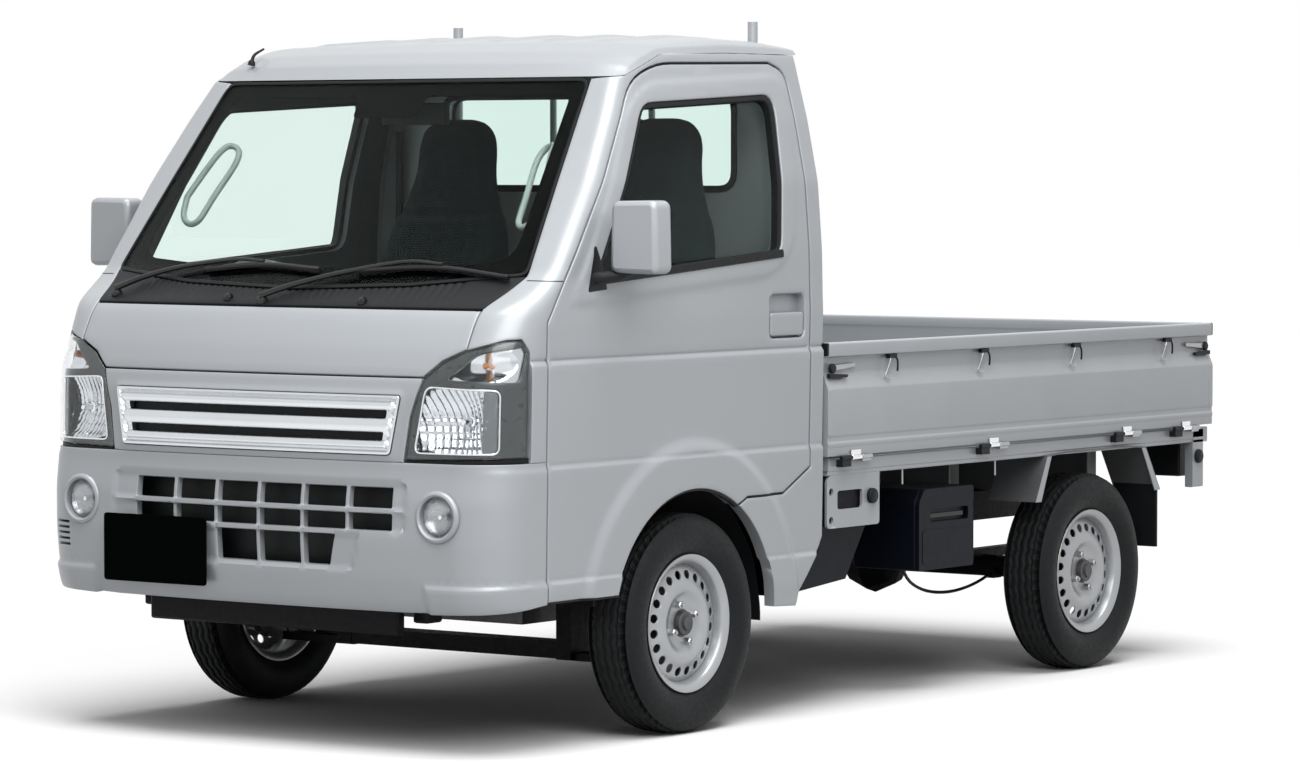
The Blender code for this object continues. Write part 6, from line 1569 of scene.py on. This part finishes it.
# %% Guard frame
GUARD_FOOT_Z, GUARD_TOP_Z, POST_X, THIN_POST_X, CROSS_HEIGHTS = 0.609, 1.757, 0.480, 0.160, (1.290, 1.610)
BOARD = [(-0.285, GUARD_FOOT_Z), (-0.2624, GUARD_FOOT_Z), (-0.2624, 0.700), (-0.266, 0.708), (-0.266, 0.900),
         (-0.2624, 0.908), (-0.2624, 0.936), (-0.266, 0.940), (-0.285, 0.940)]
board = prism(rounded(BOARD, 0.003), 0, -0.697, 0.697)
add_piece("guard_board", board, bed_silver, "truck", "guard_frame", replaces=("guard_frame",))
bars = []
for side in (-1, 1):
    bars.append(tube([(side * POST_X, BED_FRONT_Y, z) for z in (0.700, 1.30, GUARD_TOP_Z)], 0.013, 28))
    bars.append(tube([(side * THIN_POST_X, BED_FRONT_Y, z) for z in (0.720, CROSS_HEIGHTS[1])], 0.009, 24))
for z in CROSS_HEIGHTS:
    bars.append(tube([(x, BED_FRONT_Y, z) for x in (-POST_X, POST_X)], 0.0117, 24))
add_piece("guard_bars", joined(bars), bed_silver, "truck", "guard_frame")
print("guard frame stands", GUARD_TOP_Z - GUARD_FOOT_Z, "m over its foot")

# %% [markdown]
# The rear fender is thin sheet bent over the tyre, with a folded edge on its outer
# side and a rubber flap behind the wheel.

# %% Rear fenders
FENDER_PATH = np.array([(0.736, 0.477), (0.797, 0.598), (0.900, 0.6046), (1.230, 0.6046), (1.325, 0.598),
                        (1.404, 0.476)])
SHEET = 0.004
top_line = FENDER_PATH + [0, SHEET]
fender = prism(np.concatenate([FENDER_PATH, top_line[::-1]]), 0, 0.570, 0.722)
front_lip = [(0.736, 0.477), (0.797, 0.598), (0.818, 0.5992), (0.765, 0.477)]
rear_lip = [(1.404, 0.476), (1.325, 0.598), (1.304, 0.5992), (1.376, 0.476)]
lips = [prism(lip, 0, 0.7185, 0.722) for lip in (front_lip, rear_lip)]
both("rear_fender_edge", joined(lips), bed_silver, "truck", "rear_fender", bevel=0.0008)
# The fender's sheet takes the darker silver as painted shade; its folded edge keeps the bed's silver.
both("rear_fender_sheet", fender, shaded_silver, "truck", "rear_fender",
     ("rear_fender_left", "rear_fender_right"), bevel=0.0008)
flap = box((0.576, 0.716), (1.394, 1.402), (0.315, 0.500))
both("mud_flap", flap, black_plastic, "truck", "rear_fender", bevel=0.002)
pins = [tube([(0.700, y, 0.612), (0.7005, y, 0.560)], 0.0028, 10) for y in (0.105, 0.56)]
both("rope_pin", joined(pins), bright_steel, "truck", "bed")
print("fender crown is at", FENDER_PATH[:, 1].max())

# %% [markdown]
# The storage box under the bed is a moulding with a sloped shoulder, a recessed grip
# across its upper half and a flat lower panel set in a shallow frame.

# %% Side box and chassis finishes
BOX_SIDE = [(0.190, 0.326), (0.457, 0.326), (0.457, 0.540), (0.215, 0.540), (0.190, 0.505)]
box_edge = rounded(BOX_SIDE, 0.010)
core = prism(box_edge, 0, 0.4906, 0.6860)
face = cut_plate(box_edge, [rounded(oblong((0.245, 0.430), (0.452, 0.486)), 0.008)], 0, 0.6855, 0.6985)
panel_low = prism(rounded(oblong((0.206, 0.441), (0.342, 0.432)), 0.010), 0, 0.6983, 0.7000)
add_piece("side_box_body", core, navy_plastic, "truck", "side_box", bevel=0.004, replaces=("side_box",))
add_piece("side_box_face", face, navy_plastic, "truck", "side_box", bevel=0.0015)
add_piece("side_box_panel", panel_low, navy_plastic, "truck", "side_box", bevel=0.0008)
grip_bar = prism(rounded(oblong((0.250, 0.425), (0.461, 0.474)), 0.004), 0, 0.6862, 0.6900)
add_piece("side_box_grip", grip_bar, gloss_black, "truck", "side_box", bevel=0.001)

CARRIED = {
    "frame": chassis_black, "engine": cast_metal, "exhaust": exhaust_steel, "fuel_tank": black_plastic,
    "front_suspension": chassis_black, "rear_axle": chassis_black, "knuckle_left": cast_metal,
    "knuckle_right": cast_metal, "strut_left": chassis_black, "strut_right": chassis_black,
    "splash_cover_left": navy_plastic, "splash_cover_right": navy_plastic, "hanging_cable": cable_rubber,
}


def repaint(nodes):
    """Gives CAD nodes that stay in view their own finish."""
    for name, finish in nodes.items():
        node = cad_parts[name]
        node = bpy.data.objects[node] if isinstance(node, str) else node
        for spot in node.material_slots:
            spot.material = finish


repaint(CARRIED)
print("repainted", len(CARRIED), "solids that stay as they are")

# %% [markdown]
# Behind the glass the eye finds the seats, the steering wheel, the dashboard and the
# pale rear window. Each is simple, but it has to stand in the right place, because the
# big windows show all of it.

# %% Cabin linings, dashboard and steering wheel
repaint({"cab_floor": cabin_plastic, "cab_rear": silver, "rear_glass": rear_screen_glass})
DASH_SIDE = [(-1.4796, 0.800), (-1.300, 0.780), (-1.240, 0.860), (-1.260, 0.980), (-1.330, 1.045),
             (-1.4796, 1.050)]
dash = prism(rounded(DASH_SIDE, [0.002, 0.03, 0.03, 0.05, 0.05, 0.002], 8), 0, -0.600, 0.600)
add_piece("dashboard_shell", dash, dash_plastic, "truck", "dashboard", bevel=0.010, replaces=("dashboard",))
hood_side = rounded([(-1.400, 1.030), (-1.262, 0.985), (-1.252, 1.052), (-1.300, 1.092), (-1.395, 1.078)],
                    [0.005, 0.01, 0.02, 0.04, 0.03], 6)
add_piece("gauge_hood", prism(hood_side, 0, -0.500, -0.200), dash_plastic, "truck", "dashboard", bevel=0.012)
gauge = [lathe([(0, 0), (0.042, 0), (0.046, 0.004), (0.042, 0.006), (0, 0.003)], (x, -1.2560, 1.022),
               (0, 1, 0.15), 32) for x in (-0.400, -0.300)]
add_piece("gauges", joined(gauge), gloss_black, "truck", "dashboard")
centre_stack = prism(rounded([(-1.262, 0.850), (-1.232, 0.872), (-1.246, 0.985), (-1.275, 1.000)], 0.006), 0,
                     -0.115, 0.115)
add_piece("centre_stack", centre_stack, black_plastic, "truck", "dashboard", bevel=0.004)
knobs = [domed(0.017, 0.014, (x, -1.236, 0.895), (0, 1, 0.1), 24) for x in (-0.07, 0.0, 0.07)]
vents = [box((x - 0.045, x + 0.045), (-1.262, -1.2400), (0.955 + k * 0.010, 0.960 + k * 0.010))
         for x in (-0.055, 0.055, -0.520, 0.520) for k in range(3)]
add_piece("dash_knobs", joined(knobs + vents), black_plastic, "truck", "dashboard", bevel=0.001)
TILT = math.radians(38)
RIM_RADIUS, RIM_GRIP = 0.182, 0.013
COLUMN_AXIS = np.array([0, math.sin(TILT), math.cos(TILT)])
WHEEL_CENTRE = np.array([-0.350, -1.100, 1.030])
foot = WHEEL_CENTRE - COLUMN_AXIS * 0.1106
shroud = tube([foot, foot - COLUMN_AXIS * 0.150], [0.0392, 0.046], 28)
add_piece("column_shroud", shroud, cabin_plastic, "truck", "dashboard", bevel=0.004)


def wheel_rim(radius, grip, centre, axis, steps=72, sides=16):
    """A ring: a small circle turned about the steering axis."""
    turn = np.linspace(0, 2 * math.pi, sides, endpoint=False)
    profile = np.stack([radius + grip * np.cos(turn), grip * 1.05 * np.sin(turn)], 1)
    return lathe(profile, centre, axis, steps)


across, away = axes_on(COLUMN_AXIS)[1:]
spokes = []
for turn_deg in (-12, 192, 270):
    ray = across * math.cos(math.radians(turn_deg)) + away * math.sin(math.radians(turn_deg))
    start, end = WHEEL_CENTRE - COLUMN_AXIS * 0.018 + ray * 0.03, WHEEL_CENTRE + ray * 0.178
    spokes.append(tube(smooth_path([start, (start + end) / 2 - COLUMN_AXIS * 0.006, end], 14),
                       np.linspace(0.016, 0.0085, 14), 14))
hub_profile = [(0, -0.060), (0.040, -0.058), (0.058, -0.040), (0.062, -0.014), (0.050, 0.004), (0, 0.010)]
column = [(0, -0.108), (0.027, -0.108), (0.027, -0.050), (0, -0.050)]
steering = joined([wheel_rim(RIM_RADIUS, RIM_GRIP, WHEEL_CENTRE, COLUMN_AXIS), *spokes,
                   lathe(hub_profile, WHEEL_CENTRE, COLUMN_AXIS, 40),
                   lathe(column, WHEEL_CENTRE, COLUMN_AXIS, 32)])
add_piece("steering_wheel_rim", steering, wheel_plastic, "steering_wheel", "steering_wheel", smooth_deg=60,
          replaces=("steering_wheel",))
print("steering wheel is", 2 * (RIM_RADIUS + RIM_GRIP), "m across")

# %% [markdown]
# A seat is foam under cloth. A lofted form gives its outline: a stack of rounded
# rectangles up the back, each with its own width and depth. It is then covered with an
# even skin and blown up gently as a cloth bag, which gives the soft edges that foam has.

# %% Seats
SEAT_X = 0.330
# Rows up the back: height, y of its middle, half width, half depth
BACK_ROWS = np.array([
    (0.800, -0.560, 0.196, 0.050), (0.840, -0.560, 0.200, 0.058), (0.980, -0.540, 0.206, 0.062),
    (1.120, -0.512, 0.204, 0.058), (1.230, -0.488, 0.184, 0.052), (1.300, -0.472, 0.148, 0.047),
    (1.370, -0.460, 0.124, 0.047), (1.440, -0.451, 0.119, 0.045), (1.485, -0.447, 0.106, 0.040),
    (1.510, -0.446, 0.084, 0.030), (1.522, -0.446, 0.050, 0.016)])
# Rows through the cushion from rear to front: y, z of its middle, half width, half height
CUSHION_ROWS = np.array([
    (-0.520, 0.785, 0.190, 0.050), (-0.600, 0.795, 0.204, 0.062), (-0.760, 0.792, 0.206, 0.060),
    (-0.900, 0.798, 0.206, 0.064), (-0.990, 0.802, 0.202, 0.062), (-1.030, 0.796, 0.188, 0.044)])
PRESSURE, CLOTH_FRAMES, SWELL_CAP, VOXEL = 4.0, 20, 0.012, 0.0125
RING_POINTS, ROW_STEPS = 56, 34


def rounded_ring(half_a, half_b, power=5.0):
    """A rounded rectangle: cos and sin raised to 2/power, times the two half widths."""
    turn = np.linspace(0, 2 * math.pi, RING_POINTS, endpoint=False)
    c, s = np.cos(turn), np.sin(turn)
    return half_a * np.sign(c) * np.abs(c) ** (2 / power), half_b * np.sign(s) * np.abs(s) ** (2 / power)


def loft(rows, place):
    """Rings between the rows of a table, closed at each end by one wide face."""
    share = np.linspace(0, 1, ROW_STEPS)
    order = np.arange(len(rows)) / (len(rows) - 1)
    table = np.stack([eased_table(share, order, rows[:, k]) for k in range(4)], 1)
    rings = [place(row[0], row[1], *rounded_ring(row[2], row[3])) for row in table]
    points = np.concatenate(rings)
    faces = [grid_faces(ROW_STEPS, RING_POINTS, False, True)]
    first = np.arange(RING_POINTS)
    return points, faces + [first[None, ::-1], (first + (ROW_STEPS - 1) * RING_POINTS)[None, :]]


def back_ring(z, y, a, b):
    """A level ring of the back."""
    return np.stack([SEAT_X + a, y + b, np.full_like(a, z)], 1)


def cushion_ring(y, z, a, b):
    """An upright ring of the cushion."""
    return np.stack([SEAT_X + a, np.full_like(a, y), z + b], 1)


def applied(obj):
    """The object's mesh after its modifiers."""
    graph = bpy.context.evaluated_depsgraph_get()
    return bpy.data.meshes.new_from_object(obj.evaluated_get(graph))


def points_of(mesh):
    """A mesh's points as an array."""
    cloud = np.empty(len(mesh.vertices) * 3, np.float32)
    mesh.vertices.foreach_get("co", cloud)
    return cloud.reshape(-1, 3).astype(float)


def puffed(name, shape):
    """Even skin over the form, then cloth under pressure with a cap on how far a point moves."""
    body = add_object(name + "_form", mesh_of(name + "_form", shape))
    skin_step = body.modifiers.new("even_skin", "REMESH")
    skin_step.mode = "VOXEL"
    skin_step.voxel_size = VOXEL
    skin_step.use_smooth_shade = True
    mesh = applied(body)
    body.modifiers.clear()
    body.data = mesh
    before = points_of(mesh)
    swell = body.modifiers.new("swell", "CLOTH")
    settings = swell.settings
    settings.use_pressure = True
    settings.uniform_pressure_force = PRESSURE
    settings.effector_weights.gravity = 0.0
    settings.quality = 4
    settings.tension_stiffness = 25
    settings.bending_stiffness = 1.0
    scene = bpy.context.scene
    swell.point_cache.frame_start, swell.point_cache.frame_end = 1, CLOTH_FRAMES
    for step in range(1, CLOTH_FRAMES + 1):
        scene.frame_set(step)
    after = points_of(applied(body))
    body.modifiers.clear()
    scene.frame_set(1)
    move = after - before
    length = np.linalg.norm(move, axis=1)[:, None]
    before = before + move * np.minimum(1, SWELL_CAP / np.maximum(length, 1e-9))
    faces = np.empty(len(mesh.polygons) * 4, np.int32)
    mesh.polygons.foreach_get("vertices", faces)
    bpy.data.objects.remove(body)
    return before, [faces.reshape(-1, 4)]


def sewn(shape, lines, reach=0.010, depth=0.006):
    """Presses sewn channels into a form: a point near a line's plane moves in by a bell of its distance."""
    points, faces = shape
    middle = points.mean(0)
    for axis, value, limit in lines:
        near = np.exp(-((points[:, axis] - value) / reach) ** 2) * limit(points)
        inwards = (middle - points) / np.linalg.norm(points - middle, axis=1)[:, None]
        points = points + inwards * (near * depth)[:, None]
    return points, faces


back = puffed("seat_back", loft(BACK_ROWS, back_ring))
cushion = puffed("seat_cushion", loft(CUSHION_ROWS, cushion_ring))
CHANNEL_PLACES = (SEAT_X - 0.125, SEAT_X + 0.125)
front_of_back = [(0, place, lambda p: (p[:, 2] < 1.24) * 1.0) for place in CHANNEL_PLACES]
front_of_back.append((2, 1.262, lambda p: (np.abs(p[:, 0] - SEAT_X) < 0.15) * 1.0))
top_of_cushion = [(0, place, lambda p: (p[:, 2] > 0.80) * 1.0) for place in CHANNEL_PLACES]
back, cushion = sewn(back, front_of_back), sewn(cushion, top_of_cushion)
for side, turn_over in (("left", False), ("right", True)):
    for part, shape in (("back", back), ("cushion", cushion)):
        shape = flipped(shape) if turn_over else shape
        node = (f"seat_{side}",) if part == "back" else ()
        piece = add_piece(f"seat_{part}_{side}", shape, cloth, "truck", "seat", smooth_deg=80, replaces=node)
        finer = piece.modifiers.new("finer", "SUBSURF")
        finer.levels = finer.render_levels = 1
seat_base = joined([box((SEAT_X - 0.190, SEAT_X + 0.190), (-1.010, -0.500), (0.7206, 0.752)),
                    box((SEAT_X - 0.215, SEAT_X - 0.195), (-0.640, -0.520), (0.735, 0.850)),
                    box((SEAT_X + 0.195, SEAT_X + 0.215), (-0.640, -0.520), (0.735, 0.850))])
both("seat_base", seat_base, black_plastic, "truck", "seat", bevel=0.004)
print("seat back has", len(back[0]), "points and the cushion", len(cushion[0]))

# %% [markdown]
# Small things finish the cabin: the seal of the rear window, the visors, the mirror
# over the dashboard, the grips on the pillars, and belts at the rear corners.

# %% Cabin details
REAR_WINDOW = rounded(oblong((-0.470, 0.470), (1.330, 1.570)), 0.045)
SEAL_SPANS = ((-0.2975, -0.2945), (-0.3355, -0.3325))
seals = [cut_plate(grown(REAR_WINDOW, 0.010), [grown(REAR_WINDOW, -0.008)], 1, *span) for span in SEAL_SPANS]
add_piece("rear_window_seal", joined(seals), seal_rubber, "truck", "cab_rear")
# Round the loop of a pillar grip: place along the skin, height, depth under the skin
GRIP_LOOP = [(0.566, 1.330, 0.034), (0.560, 1.290, 0.046), (0.536, 1.276, 0.056), (0.512, 1.290, 0.060),
             (0.500, 1.350, 0.060), (0.482, 1.430, 0.060), (0.492, 1.462, 0.056), (0.520, 1.466, 0.046),
             (0.532, 1.440, 0.036), (0.548, 1.390, 0.034), (0.566, 1.330, 0.034)]
for body, side in SIDES:
    grip = [skin(side * s, z, depth) for s, z, depth in GRIP_LOOP]
    add_piece(f"pillar_grip_{body}", tube(smooth_path(grip, 48), 0.008, 12), grip_grey, "truck", "cab_side")
    visor = box(sorted((side * 0.10, side * 0.46)), (-1.020, -0.900), (1.612, 1.624))
    add_piece(f"sun_visor_{body}", visor, pale_trim, "truck", "roof", bevel=0.005)
    belt = tube([(side * 0.610, -0.350, 1.480), (side * 0.612, -0.352, 1.1), (side * 0.600, -0.380, 0.74)],
                0.010, 8)
    add_piece(f"belt_{body}", belt, webbing, "truck", "seat")
mirror_path = [(0.0, -1.085, 1.575), (0.0, -1.060, 1.545), (0.0, -1.045, 1.530)]
glass_box = box((-0.100, 0.100), (-1.052, -1.030), (1.490, 1.545))
add_piece("inner_mirror", joined([tube(mirror_path, 0.006, 10), glass_box]), black_plastic, "truck", "roof",
          bevel=0.004)
LEVER_KNOB = [(0, 0), (0.018, 0.006), (0.021, 0.026), (0.014, 0.044), (0, 0.048)]
lever = [tube([(-0.02, -0.99, 0.723), (-0.02, -1.000, 0.860)], [0.007, 0.006], 12),
         lathe(LEVER_KNOB, (-0.02, -1.002, 0.852), (0, 0, 1), 24)]
add_piece("gear_lever", joined(lever), black_plastic, "truck", "cab_floor")
print("cabin details are in")

# %% [markdown]
# Outside, the wipers lie at the foot of the windscreen. An arm and a blade are bars
# along points of the skin, held a little above it. The blade is a flat strip whose
# back is a thin bow.

# %% Wipers and washer nozzles
WIPERS = [
    [(-0.562, 1.072), (-0.494, 1.102), (-0.380, 1.130), (-0.215, 1.150), (-0.115, 1.148)],
    [(-0.050, 1.064), (0.030, 1.092), (0.150, 1.122), (0.310, 1.150), (0.420, 1.146)]]
BLADES = [[(-0.300, 1.128), (-0.115, 1.142), (0.070, 1.132)],
          [(0.180, 1.130), (0.400, 1.140), (0.610, 1.118)]]
PIVOT_SECTION = [(0, 0), (0.014, 0), (0.014, 0.010), (0.009, 0.018), (0, 0.019)]
NOZZLE_SECTION = [(0, 0), (0.0125, 0), (0.0125, 0.006), (0.009, 0.011), (0, 0.012)]


def over_skin(points, lift, count):
    """A smooth path over the skin: points are (s, z), lifted off the glass."""
    line = smooth_path(np.array(points), count)
    return skin(line[:, 0], line[:, 1], -lift)


arms, blades = [], []
for arm, blade in zip(WIPERS, BLADES):
    path = over_skin(arm, 0.016, 40)
    arms.append(tube(path, np.linspace(0.0078, 0.0040, 40), 12))
    arms.append(lathe(PIVOT_SECTION, skin(*arm[0], 0.004), (0, -0.75, 0.66), 24))
    blades.append(tube(over_skin(blade, 0.0125, 40), 0.0052, 8))
    blades.append(tube(over_skin(blade, 0.0055, 40), 0.0038, 6))
add_piece("wiper_arms", joined(arms), wiper_black, "truck", "cowl")
add_piece("wiper_blades", joined(blades), wiper_black, "truck", "cowl")
NOZZLE_PLACES = ((-0.166, 1.069), (0.254, 1.066))
nozzles = [lathe(NOZZLE_SECTION, skin(*place, 0.002), (0, -0.72, 0.69), 24) for place in NOZZLE_PLACES]
add_piece("washer_nozzles", joined(nozzles), gloss_black, "truck", "cowl")
print(len(WIPERS), "wipers lie on the windscreen")

# %% [markdown]
# Dark rubber closes the joints round the doors, and dark liners close the wheel wells,
# so that no light leaks through and the seams read as thin dark lines.

# %% Seals in the seams and wheel-well liners
door_seal = panel(grown(DOOR_OUTLINE, DOOR_GAP - SEAM), [grown(DOOR_OUTLINE, SEAM)], 0.010, 0.0005, 0.012,
                  side_relief, set_back=0.0065)
both("door_seal", door_seal, seal_rubber, "truck", "cab_side")
LINER_RADIUS, LINER_WALL = 0.352, 0.003
LINER_WAVE, LINER_WAVES = 0.002, 14
sweep = np.radians(np.linspace(-2, 168, 60))
wave = LINER_RADIUS + LINER_WAVE * np.cos(sweep * LINER_WAVES)
ray = np.stack([np.cos(sweep), np.sin(sweep)], 1)
inner_line, outer_line = ([ARCH_Y, ARCH_Z] + ray * reach[:, None] for reach in (wave, wave + LINER_WALL))
liner = prism(np.concatenate([inner_line, outer_line[::-1]]), 0, 0.420, 0.676)
both("wheel_well_liner", liner, black_plastic, "truck", "cab_floor")
print("door seals and wheel-well liners are in")
